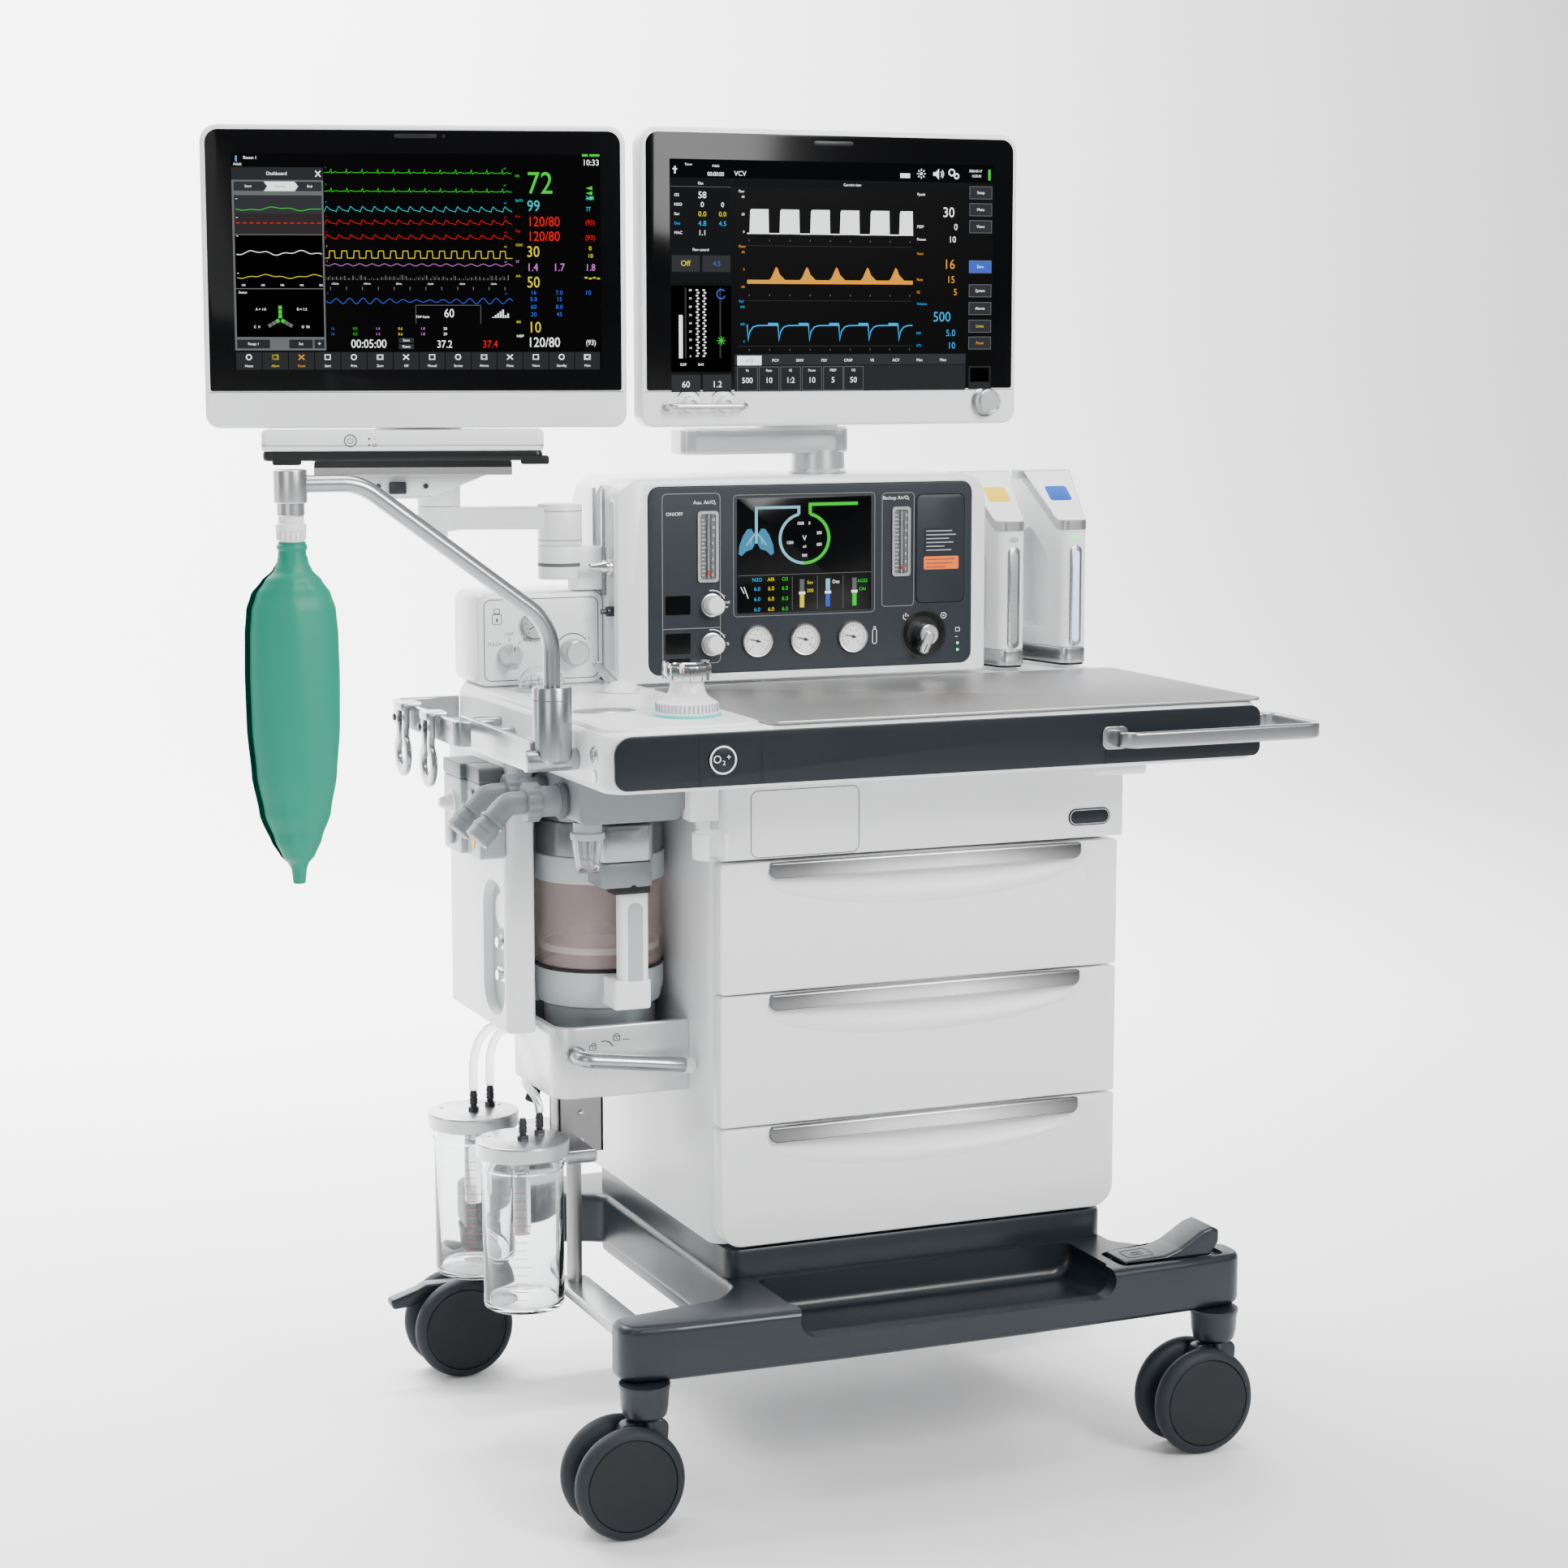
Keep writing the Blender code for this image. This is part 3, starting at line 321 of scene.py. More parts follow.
def cabinet():
    x0, x1 = CAB_X
    y0, y1 = CAB_Y
    out = box(x0, x1, y0, y1, SEAMS[0], FASCIA_TOP, 18, "z", 3, 0)
    fascia = box(x0, 307, FRONT_Y, y0 + 20, SEAMS[3] + 3, FASCIA_TOP, 8, "z", 2)
    body = union(out, fascia)
    bays = [box(x0 + 16, x1 - 16, y0 - 5, y1 - 30, SEAMS[i] + (10 if i == 0 else 6), SEAMS[i + 1] - 6) for i in range(3)]
    return cut(body, *bays)


def rear_panel():
    y0 = CAB_Y[1] - 1
    body = box(-172, 271, y0, y0 + 16, 300, 780, 10, "y", 2, 3)
    slots = [box(-60, 160, y0 + 9, y0 + 30, 345 + 34 * k, 357 + 34 * k) for k in range(4)]
    body = cut(body, *slots)
    inlets = [cyl((-110 + 70 * k, 700), 16, y0 + 8, y0 + 42, "y", 12) for k in range(3)]
    power = box(170, 240, y0 + 8, y0 + 24, 680, 730, 4, "y", 2)
    return union(body, *inlets, power)


def manifold():
    """Vacuum manifold on the left wall, with the three barbs that the suction hoses push onto."""
    barbs = [lathe([(0, -205), (5, -205), (5, -221), (4, -226), (5, -227), (3.5, -232), (0, -232)], c, "x", 10) for c in MANIFOLD]
    return union(box(-222, -195, 96, 166, 404, 456, 3, "x", 1), *barbs)


def table_frame():
    x0, x1 = TABLE_X
    y0, y1 = TABLE_Y
    body = prism(rounded(rect(x0, x1, y0, y1), [26, 30, 20, 26], 3), "z", TABLE_Z[0], TABLE_Z[1], 6, 1)
    apron = box(x0 + 3, -206, y0 + 60, y1 - 6, TABLE_Z[1] - 12, PLATE_TOP, 20, "z", 2, 1.5)
    nose = box(x0 + 6, -208, y0 + 4, y0 + 80, TABLE_Z[1] - 12, PLATE_TOP, 20, "z", 2, 1.5)
    return union(body, apron, nose)


def front_band():
    body = prism(rounded([(-380, 817), (392, 817), (392, 874), (-380, 874)], 12, 3), "y", -343, TABLE_Y[0] - GAP, 2.5, 1)
    return cut(body, cyl((-260, 845), 16.4, -350, -330, "y", 18))


def apl_body():
    z = PLATE_TOP
    p = [(0, z - 3), (36.5, z - 3), (36.5, z + 4), (33, z + 5), (33, z + 15), (28, z + 18), (20, z + 26), (17.5, z + 34), (17.5, z + 38 + GAP), (0, z + 38 + GAP)]
    return lathe(p, APL, "z", 18)


def table_handle():
    sec = rounded([(-3.5, -9), (3.5, -9), (3.5, 9), (-3.5, 9)], 3, 2)
    z = 846
    path = arc_path([(196, -343.5, z), (196, -374, z), (455, -374, z), (455, -262, z), (399.4, -262, z)], 20, 4)
    return sweep(path, sec)


def status_housing():
    x0, x1 = HOUSING_X
    y0, y1 = HOUSING_Y
    z0, z1 = HOUSING_Z
    outline = rounded([(x0, z0), (x1, z0), (x1, z1), (x0, z1)], [6, 6, 30, 30], 3)
    body = prism(outline, "y", y0, y1, 5, 1)
    a, b, c, d = PANEL
    pocket = prism(rounded([(a - 0.5, c - 0.5), (b + 0.5, c - 0.5), (b + 0.5, d + 0.5), (a - 0.5, d + 0.5)], 14, 3), "y", y0 - 5, y0 + 4)
    rail = box(x0 - 5, x0 + 9, 82, 122, 985, 1112, 3, "x", 1)
    socket = box(x0 - 5, x0 + 9, 56, 76, 900, 1095, 4, "x", 1)
    body = cut(body, pocket, rail, socket)
    back = box(-210, 380, 170, 240, 884, 962, 8, "x", 2)
    return union(body, back)


def wall_bracket():
    hub = cyl(LHUB, 26, 1005, 1044, "z", 14, 1.5)
    block = box(LHUB[0] + 14, HOUSING_X[0] + 12, 86, 118, 992, 1042, 3, "x", 1)
    return union(hub, block)


def knob(c, r, y1, length, grip=0.0, n=20):
    p = [(0, y1), (r, y1), (r, y1 - length + 3), (r - 3, y1 - length), (0, y1 - length)]
    return lathe(p[::-1], c, "y", n)


def suction_box():
    body = box(-390, HOUSING_X[0] - GAP, 92, 186, PLATE_TOP + GAP, 991, 12, "y", 2, 4)
    gauge = cyl((-321, 953), 15, 89, 96, "y", 20, 1)
    return union(body, gauge)


def vaporizer(cx):
    y0, y1, zb = 56, 166, PLATE_TOP + GAP
    plan = rounded([(cx - 16, y0), (cx + 16, y0), (cx + 38, y1), (cx - 38, y1)], [12, 12, 5, 5], 3)
    body = prism(plan, "z", zb, 1118, 3, 1)
    # sloped top falling towards the front
    wedge = prism([(y0 - 20, 1064), (y0 + 18, 1064), (y0 + 84, 1120), (y0 + 84, 1150), (y0 - 20, 1150)], "x", cx - 60, cx + 60)
    body = cut(body, wedge)
    hollow_l = prism(rounded([(y0 + 36, 930), (y0 + 84, 930), (y0 + 84, 1046), (y0 + 62, 1046), (y0 + 36, 1020)], 6, 2), "x", cx - 60, cx - 14)
    hollow_r = prism(rounded([(y0 + 36, 930), (y0 + 84, 930), (y0 + 84, 1046), (y0 + 62, 1046), (y0 + 36, 1020)], 6, 2), "x", cx + 14, cx + 60)
    body = cut(body, hollow_l, hollow_r)
    glass = box(cx - 6, cx + 6, y0 - 3, y0 + 6, 912, 1026, 4, "y", 2)
    return union(body, glass)


def lever():
    z = PLATE_TOP + GAP
    dome = lathe([(0, z), (22, z), (22, z + 3), (18, z + 9), (10, z + 13), (0, z + 14)], LEV, "z", 24)
    arm = prism(rounded([(LEV[0] - 14, z + 6), (LEV[0] - 34, z + 34), (LEV[0] - 28, z + 37), (LEV[0] - 2, z + 10)], 2, 2), "y", LEV[1] - 6, LEV[1] + 6)
    return union(dome, arm)


def elbow(y):
    nut = prism(circle(y, 780, 22, 14), "x", -410, -395.4, 2, 1)
    path = arc_path([(-409, y, 780), (-430, y, 780), (-458, y - 4, 752)], 14, 4)
    horn = tube(path, 15, 12)
    end = tube([Vector((-449, y - 3, 761)), Vector((-468, y - 5, 742))], 16.5, 12)
    return union(nut, horn, end)


def tower():
    top = TABLE_Z[0] - GAP
    plan = [(-400, -37), (-367, -37), (-367, 88), (-204, 88), (-204, 190), (-400, 190)]
    body = prism(rounded(plan, [12, 5, 5, 5, 5, 14], 3), "z", 500, top, 2.5, 1)
    oval = prism(rounded([(-24, 514), (54, 514), (54, 670), (-24, 670)], 34, 4), "x", -410, -386)
    return cut(body, oval)


def canister_head():
    x, y = CAN_C
    ring = lathe([(0, 672), (CAN_R + 2, 672), (CAN_R + 2, 702), (CAN_R, 703), (CAN_R, 738), (CAN_R - 4, 742), (CAN_R - 4, 757 - GAP), (0, 757 - GAP)], (x, y), "z", 24)
    clamp = box(-316, -254, -122, y - 50, 673, 746, 8, "z", 2, 3)
    return union(ring, clamp)


def absorber_tray():
    x, y = CAN_C
    outer = rounded([(-361, -86), (-200.5, -86), (-200.5, 84), (-361, 84)], [26, 0, 0, 26], 5)
    inner = rounded([(-354.5, -79), (-190, -79), (-190, 77), (-354.5, 77)], [22, 0, 0, 22], 5)
    wall = cut(prism(outer, "z", 430, 512, 2, 1), prism(inner, "z", 446, 530))
    return wall


def lock_handle():
    path = arc_path([(-338, -86.5, 482), (-338, -112, 481), (-206, -112, 464)], 15, 4)
    rod = tube(path, 8.5, 12)
    return rod


def side_rail():
    rail = box(-440, -432, -246, 8, 828, 862, 3, "x", 2, 1)
    front = cyl((POST[1], 841), 12, -446, -388.5, "x", 16)
    s1 = cyl((-30, 845), 7, -436, -388.5, "x", 12)
    post = lathe([(0, 840), (21, 852), (21, 919), (0, 919)], POST, "z", 16)
    return union(rail, front, s1, post)


def hose_rail():
    sec = rounded([(-4, -14), (4, -14), (4, 14), (-4, 14)], 2, 1)
    path = arc_path([(-388.5, 178, 851), (-466, 178, 851), (-466, -72, 851), (-452, -72, 851)], 12, 3)
    bar = sweep(path, sec)
    s1 = cyl((20, 851), 7, -464, -388.5, "x", 12)
    return union(bar, s1)


def hook(y):
    """Keyhole-shaped spring clip hanging from the hose rail, seen along the rail's normal."""
    path = [Vector((-478, y + 13, 866)), Vector((-478, y + 13, 846)), Vector((-478, y + 10, 834))]
    for k in range(11):
        a = math.radians(35 + 290 * k / 10)
        path.append(Vector((-478, y + 20 * math.sin(a), 810 + 20 * math.cos(a))))
    path += [Vector((-478, y - 10, 834)), Vector((-478, y - 13, 846)), Vector((-478, y - 13, 866))]
    loop = sweep(path, [(-2, -6), (2, -6), (2, 6), (-2, 6)])
    return union(loop, box(-484, -459, y - 15.3, y + 15.3, 861, 869))


def bag():
    """The closed outer form of a flattish reservoir bag with its neck."""
    y = POST[1]
    prof = [(0, 728), (7, 729), (8, 742), (16, 752), (30, 786), (42, 850), (46, 925), (45.5, 985), (42, 1018), (33, 1038), (17, 1052), (14.5, 1062), (14, 1075.6), (0, 1075.6)]
    b = lathe(prof, (HEAD_X + 1, y), "z", 16)
    for v in b.verts:
        v.co.y = y + (v.co.y - y) * (0.86 if v.co.z < 1050 and v.co.z > 745 else 1)
    return b


def link_arm():
    hub = cyl(LHUB, 26, 1044 + GAP, 1092, "z", 14, 1.5)
    end = cyl(LPIV, 25, 1062, 1090 - GAP, "z", 14, 1.5)
    a, b = Vector(LHUB), Vector(LPIV)
    d = (b - a).normalized()
    s = Vector((-d.y, d.x)) * 19
    bar = prism([a + s, b + s, b - s, a - s], "z", 1063, 1089, 3, 1)
    knob_ = cyl(LPIV, 10, 1050, 1063, "z", 12)
    return union(hub, bar, end, knob_)


def turned(bm):
    return turn(bm, LYAW, (LMON[0], LMON[1], 0))


def right_arm():
    x, y = NECK
    neck = cyl((x, y), 35, HOUSING_Z[1] + GAP, 1150, "z", 18, 1.5)
    bar = box(-134, x + 36, y - 30, y + 30, 1146, 1177, 22, "z", 3, 4)
    riser = box(-20, 78, y + 2, y + 24, 1170, 1318, 8, "y", 2, 2)
    return union(neck, bar, riser)


# ---------------------------------------------------------------- materials
MATS = {}


def shader(name, color, rough=0.4, metal=0.0, coat=0.0, trans=0.0, ior=1.5, emit=None, power=0.0, alpha=1.0,
           grain=0.0, grain_scale=900.0, stretch=(1, 1, 1), vary=0.0, wear=0.0, sub=0.0, aniso=0.0, spec=0.5):
    """A Principled material with fine procedural grain, roughness variation and colour variation."""
    m = bpy.data.materials.new(name)
    m.use_nodes = True
    nt = m.node_tree
    b = nt.nodes["Principled BSDF"]
    b.inputs["Base Color"].default_value = (*color, 1)
    b.inputs["Roughness"].default_value = rough
    b.inputs["Metallic"].default_value = metal
    b.inputs["Coat Weight"].default_value = coat
    b.inputs["Coat Roughness"].default_value = 0.12
    b.inputs["Transmission Weight"].default_value = trans
    b.inputs["IOR"].default_value = ior
    b.inputs["Alpha"].default_value = alpha
    b.inputs["Anisotropic"].default_value = aniso
    b.inputs["Specular IOR Level"].default_value = spec
    if sub:
        b.inputs["Subsurface Weight"].default_value = sub
        b.inputs["Subsurface Scale"].default_value = 0.004
    if emit:
        b.inputs["Emission Color"].default_value = (*emit, 1)
        b.inputs["Emission Strength"].default_value = power
    if grain or vary or wear:
        tc = nt.nodes.new("ShaderNodeTexCoord")
        mp = nt.nodes.new("ShaderNodeMapping")
        mp.inputs["Scale"].default_value = stretch
        nt.links.new(tc.outputs["Object"], mp.inputs["Vector"])
        fine = nt.nodes.new("ShaderNodeTexNoise")
        fine.inputs["Scale"].default_value = grain_scale
        fine.inputs["Detail"].default_value = 3.0
        nt.links.new(mp.outputs["Vector"], fine.inputs["Vector"])
        wide = nt.nodes.new("ShaderNodeTexNoise")
        wide.inputs["Scale"].default_value = 7.0
        wide.inputs["Detail"].default_value = 4.0
        nt.links.new(tc.outputs["Object"], wide.inputs["Vector"])
        if grain:
            bump = nt.nodes.new("ShaderNodeBump")
            bump.inputs["Strength"].default_value = grain
            bump.inputs["Distance"].default_value = 0.0002
            nt.links.new(fine.outputs["Fac"], bump.inputs["Height"])
            nt.links.new(bump.outputs["Normal"], b.inputs["Normal"])
        if vary:
            ramp = nt.nodes.new("ShaderNodeMapRange")
            ramp.inputs["To Min"].default_value = max(0.02, rough - vary)
            ramp.inputs["To Max"].default_value = rough + vary
            nt.links.new((fine if wear < 0 else wide).outputs["Fac"], ramp.inputs["Value"])
            nt.links.new(ramp.outputs["Result"], b.inputs["Roughness"])
        if wear:
            mix = nt.nodes.new("ShaderNodeMix")
            mix.data_type = "RGBA"
            w = abs(wear)
            mix.inputs["A"].default_value = (*[c * (1 - w) for c in color], 1)
            mix.inputs["B"].default_value = (*[min(1, c * (1 + w)) for c in color], 1)
            nt.links.new((fine if wear < 0 else wide).outputs["Fac"], mix.inputs["Factor"])
            nt.links.new(mix.outputs["Result"], b.inputs["Base Color"])
    MATS[name] = m
    return m


shader("white_shell", (0.86, 0.865, 0.875), 0.30, coat=0.2, grain=0.12, grain_scale=1400, vary=0.05, wear=0.012)
shader("white_paint", (0.84, 0.845, 0.855), 0.36, coat=0.1, grain=0.2, grain_scale=1000, vary=0.05, wear=0.012)
shader("seam_grey", (0.09, 0.092, 0.095), 0.6, grain=0.1, vary=0.04, wear=0.04)
shader("slate", (0.0072, 0.0115, 0.0170), 0.36, coat=0.12, grain=0.3, grain_scale=1500, vary=0.06, wear=0.08, spec=0.35)
shader("slate_panel", (0.017, 0.022, 0.028), 0.42, grain=0.15, grain_scale=2000, vary=0.05, wear=0.05, spec=0.25)
shader("slate_band", (0.0085, 0.0115, 0.0155), 0.30, grain=0.08, vary=0.04, wear=0.04, spec=0.3)
shader("tyre", (0.0105, 0.0140, 0.0190), 0.6, grain=0.35, grain_scale=900, vary=0.06, wear=0.08, spec=0.3)
shader("hub", (0.0038, 0.0056, 0.0080), 0.5, grain=0.3, grain_scale=1300, vary=0.05, wear=0.06, spec=0.3)
shader("black_plastic", (0.004, 0.0045, 0.005), 0.38, grain=0.2, vary=0.05, wear=0.1, spec=0.35)
shader("rubber_black", (0.006, 0.006, 0.0065), 0.65, grain=0.3, vary=0.05, wear=0.1, spec=0.3)
shader("silver", (0.56, 0.565, 0.575), 0.30, metal=1.0, grain=0.1, grain_scale=700, vary=0.05, wear=0.02)
shader("silver_paint", (0.36, 0.365, 0.375), 0.26, metal=0.95, coat=0.1, grain=0.12, grain_scale=2200, vary=0.04, wear=0.03)
shader("silver_pale", (0.52, 0.525, 0.535), 0.33, metal=0.75, coat=0.2, grain=0.12, grain_scale=2200, vary=0.04, wear=0.02)
shader("pearl", (0.66, 0.665, 0.675), 0.26, metal=0.45, coat=0.2, grain=0.12, grain_scale=1800, vary=0.04, wear=0.02)
pull = shader("pull_metal_painted_sheen", (0.5, 0.5, 0.5), 0.26, metal=0.8, grain=0.25, grain_scale=160, stretch=(0.06, 9, 9), vary=0.05)
# The pull strip's base colour is a ramp along x, dark at both ends and bright in the middle: a painted highlight and
# painted shade standing in for the reflection of the lights on the strip.
_t = pull.node_tree
_c, _x, _m, _r = (_t.nodes.new(k) for k in ("ShaderNodeTexCoord", "ShaderNodeSeparateXYZ", "ShaderNodeMapRange", "ShaderNodeValToRGB"))
_m.inputs["From Min"].default_value = (49.5 - 4 - 195 + OFF_X) * 0.001
_m.inputs["From Max"].default_value = (49.5 + 4 + 195 + OFF_X) * 0.001
_r.color_ramp.elements[0].color = (0.13, 0.13, 0.135, 1)
_r.color_ramp.elements[1].color = (0.11, 0.11, 0.115, 1)
for _p, _v in ((0.12, 0.20), (0.36, 0.62), (0.62, 0.80), (0.86, 0.30)):
    _e = _r.color_ramp.elements.new(_p)
    _e.color = (_v, _v, _v * 1.01, 1)
_t.links.new(_c.outputs["Object"], _x.inputs["Vector"])
_t.links.new(_x.outputs["X"], _m.inputs["Value"])
_t.links.new(_m.outputs["Result"], _r.inputs["Fac"])
_t.links.new(_r.outputs["Color"], _t.nodes["Principled BSDF"].inputs["Base Color"])
shader("brushed_strip", (0.50, 0.505, 0.515), 0.24, metal=1.0, grain=0.3, grain_scale=160, stretch=(0.06, 9, 9), vary=0.06, wear=-0.05, aniso=0.4)
shader("stainless", (0.37, 0.365, 0.36), 0.42, metal=1.0, grain=0.35, grain_scale=200, stretch=(0.08, 12, 4), vary=0.06, wear=-0.06, aniso=0.3)
shader("chrome", (0.68, 0.68, 0.69), 0.10, metal=1.0, vary=0.04, wear=0.01)
shader("dark_metal", (0.06, 0.06, 0.065), 0.35, metal=1.0, grain=0.1, vary=0.05, wear=0.05)
shader("block_grey", (0.19, 0.215, 0.225), 0.40, coat=0.06, grain=0.2, grain_scale=1500, vary=0.05, wear=0.03)
shader("block_dark", (0.10, 0.11, 0.115), 0.45, grain=0.2, vary=0.05, wear=0.04)
shader("block_pale", (0.40, 0.43, 0.435), 0.4, grain=0.15, vary=0.05, wear=0.02)
shader("clear", (0.96, 0.975, 0.98), 0.03, trans=1.0, ior=1.42, grain=0.02, grain_scale=60, vary=0.015)
shader("clear_pink", (0.62, 0.46, 0.455), 0.08, alpha=0.24, grain=0.02, grain_scale=60, vary=0.015)
shader("clear_tube", (0.88, 0.90, 0.90), 0.14, trans=0.75, ior=1.3, grain=0.05, grain_scale=300, vary=0.04)
shader("granules", (0.30, 0.26, 0.265), 0.8, grain=0.8, grain_scale=260, wear=-0.25)
shader("black_glass", (0.0015, 0.0016, 0.002), 0.12, vary=0.02, wear=0.05, spec=0.12)
shader("display", (0.0008, 0.0008, 0.001), 0.3, vary=0.02, wear=0.05, spec=0.04)
shader("bag_green", (0.0, 0.212, 0.132), 0.5, coat=0.0, grain=0.5, grain_scale=260, vary=0.08, wear=0.07, spec=0.35)
# darker copy of the bag green for the bag's back panel: painted shade where the back turns away from the light
shader("bag_green_painted_shade", (0.0, 0.145, 0.090), 0.55, grain=0.5, grain_scale=260, vary=0.06, wear=0.08, spec=0.3)
shader("teal", (0.06, 0.62, 0.55), 0.35, grain=0.1, vary=0.04, wear=0.03)
shader("label_yellow", (0.92, 0.60, 0.0), 0.45, grain=0.05, wear=0.02)
shader("label_blue", (0.0, 0.07, 0.42), 0.45, grain=0.05, wear=0.02)
shader("label_orange", (0.92, 0.15, 0.0), 0.45, grain=0.05, wear=0.02)
shader("label_brown", (0.075, 0.035, 0.02), 0.5, grain=0.05, wear=0.03)
shader("red_mark", (0.55, 0.07, 0.05), 0.5, grain=0.05, wear=0.03)
shader("ink_white", (0.86, 0.88, 0.89), 0.5, grain=0.05, wear=0.02)
shader("ink_grey", (0.045, 0.047, 0.05), 0.55, grain=0.05, wear=0.03)
shader("ink_black", (0.02, 0.02, 0.021), 0.5, grain=0.05, wear=0.05)
shader("dial_white", (0.88, 0.88, 0.87), 0.33, grain=0.04, wear=0.02)
shader("lamp_blue", (0.55, 0.65, 1.0), 0.2, emit=(0.42, 0.56, 1.0), power=1.1)
shader("lamp_green", (0.1, 0.8, 0.3), 0.3, emit=(0.08, 0.9, 0.25), power=1.6)
for _n, _c, _p in (("white", (0.92, 0.94, 0.95), 2.0), ("green", (0.0, 0.80, 0.02), 1.15), ("cyan", (0.0, 0.58, 0.62), 1.25), ("red", (0.85, 0.0, 0.0), 1.25),
                   ("yellow", (0.88, 0.76, 0.0), 1.25), ("magenta", (0.70, 0.18, 0.70), 1.25), ("blue", (0.04, 0.12, 0.75), 1.15), ("sky", (0.02, 0.42, 0.88), 1.25),
                   ("orange", (0.95, 0.38, 0.02), 1.25), ("grey", (0.13, 0.135, 0.14), 1.3), ("dim", (0.034, 0.036, 0.040), 1.2), ("pale", (0.26, 0.62, 0.78), 1.25), ("lung", (0.06, 0.30, 0.50), 1.1),
                   ("ink", (0.004, 0.0045, 0.005), 1.0), ("panel", (0.012, 0.013, 0.015), 1.0), ("panel2", (0.026, 0.028, 0.030), 1.2), ("mid", (0.040, 0.030, 0.032), 1.0), ("black", (0.001, 0.001, 0.001), 1.0)):
    shader("ui_" + _n, (0.0, 0.0, 0.0), 0.4, emit=_c, power=_p, spec=0.0)


# ---------------------------------------------------------------- placing
MADE = []


def put(name, bm, mat, body, *replaced, sharp=32, slot=None):
    """Moves a finished shape into the row frame, gives it its material, and lets it ride on a body."""
    bmesh.ops.transform(bm, matrix=Matrix.Scale(0.001, 4) @ Matrix.Translation(Vector((OFF_X, OFF_Y, 0))), verts=bm.verts[:])
    me = bpy.data.meshes.new(name)
    bm.to_mesh(me)
    bm.free()
    ob = bpy.data.objects.new(name, me)
    bpy.context.scene.collection.objects.link(ob)
    me.materials.append(MATS[mat])
    for p in me.polygons:
        p.use_smooth = True
    me.set_sharp_from_angle(angle=math.radians(sharp))
    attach(ob, body)
    if replaced:
        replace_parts(ob, *replaced)
    MADE.append(ob)
    return ob


def join(*shapes):
    """Several closed shapes in one mesh, without a Boolean."""
    out = bmesh.new()
    for bm in shapes:
        me = bpy.data.meshes.new("tmp")
        bm.to_mesh(me)
        bm.free()
        out.from_mesh(me)
        bpy.data.meshes.remove(me)
    return out


def sphere(c, r, squash_z=1.0, n=24):
    bm = bmesh.new()
    bmesh.ops.create_uvsphere(bm, u_segments=n, v_segments=n // 2, radius=r)
    for v in bm.verts:
        v.co.z *= squash_z
        v.co += Vector(c)
    return bm


def ring_prism(outer, inner, axis, a, b):
    """A flat frame between two outlines with the same number of points."""
    bm = bmesh.new()
    rings = [[bm.verts.new(place2d(p, axis, h)) for p in pts] for pts, h in ((outer, a), (inner, a), (inner, b), (outer, b))]
    n = len(outer)
    for p, q in zip(rings, rings[1:] + rings[:1]):
        for k in range(n):
            bm.faces.new((p[k], p[(k + 1) % n], q[(k + 1) % n], q[k]))
    return fix(bm)


def outline(x0, x1, z0, z1, r, w, y, d=0.3, axis="y"):
    """A thin printed rounded-rectangle line of width w standing d out of the plane y."""
    o = rounded(rect(x0, x1, z0, z1), r, 4)
    i = rounded(rect(x0 + w, x1 - w, z0 + w, z1 - w), max(0.3, r - w), 4)
    return ring_prism(o, i, axis, y - d, y + 0.2)


def arc_strip(cx, cz, r, w, a0, a1, y, d=0.3, n=24):
    """A thin printed arc from angle a0 to a1 in degrees."""
    bm = bmesh.new()
    lo = []
    for k in range(n + 1):
        a = math.radians(a0 + (a1 - a0) * k / n)
        lo.append([bm.verts.new((cx + (r + s * w / 2) * math.cos(a), y - d, cz + (r + s * w / 2) * math.sin(a))) for s in (-1, 1)])
    for p, q in zip(lo, lo[1:]):
        bm.faces.new((p[0], p[1], q[1], q[0]))
    return fix(bm)


def words(body, size, x, z, y, align="LEFT", d=0.25, squeeze=1.0):
    """Upright lettering in the plane y, facing the user, as a mesh. size is the height of a capital in mm."""
    cu = bpy.data.curves.new("words", "FONT")
    cu.body = body
    cu.size = size * 1.38
    cu.align_x = align
    cu.align_y = "CENTER"
    cu.resolution_u = 3
    ob = bpy.data.objects.new("words", cu)
    bpy.context.scene.collection.objects.link(ob)
    bpy.context.view_layer.update()
    me = bpy.data.meshes.new_from_object(ob.evaluated_get(bpy.context.evaluated_depsgraph_get()))
    bm = bmesh.new()
    bm.from_mesh(me)
    for v in bm.verts:
        v.co = Vector((x + v.co.x * squeeze, y - d, z + v.co.y))
    bpy.data.objects.remove(ob)
    bpy.data.meshes.remove(me)
    return bm


def clean_box(x0, x1, y0, y1, z0, z1, r=2.0):
    """A box with all its edges softly rounded."""
    bm = bmesh.new()
    bmesh.ops.create_cube(bm, size=1)
    for v in bm.verts:
        v.co = Vector((x0 if v.co.x < 0 else x1, y0 if v.co.y < 0 else y1, z0 if v.co.z < 0 else z1))
    bmesh.ops.bevel(bm, geom=bm.edges[:], offset=r, segments=4, profile=0.5, affect="EDGES")
    return bm


# ---------------------------------------------------------------- base and casters
def look_base():
    z0, z1 = BASE_Z
    plan = [(-362, -306), (-300, -312), (-100, -318), (120, -318), (330, -312), (408, -306), (408, -258), (325, -235), (292, -200),
            (292, 222), (325, 240), (408, 262), (408, 334), (-362, 334), (-362, 262), (-230, 240), (-196, 222), (-196, -200), (-230, -235), (-362, -258)]
    rad = [24, 60, 60, 60, 60, 24, 18, 24, 24, 24, 24, 18, 24, 24, 18, 24, 24, 24, 24, 18]
    bar = prism(rounded(plan, rad, 3), "z", z0, z1, 9, 3)
    riser = box(-190, 289, -178, 258, 150, RISER_Z, 16, "z", 3, 5)
    tray = prism(rounded([(-178, 188), (252, 188), (222, 262), (-146, 262)], [26, 26, 4, 4], 5), "y", -296, -190, 12, 2)
    lip = prism(rounded([(-166, 196), (240, 196), (222, 262), (-146, 262)], [20, 20, 4, 4], 5), "y", -380, -280)
    seat = box(248, 384, -302, -244, 223, 262, 10, "z", 3)
    return cut(union(bar, riser), tray, lip, seat)


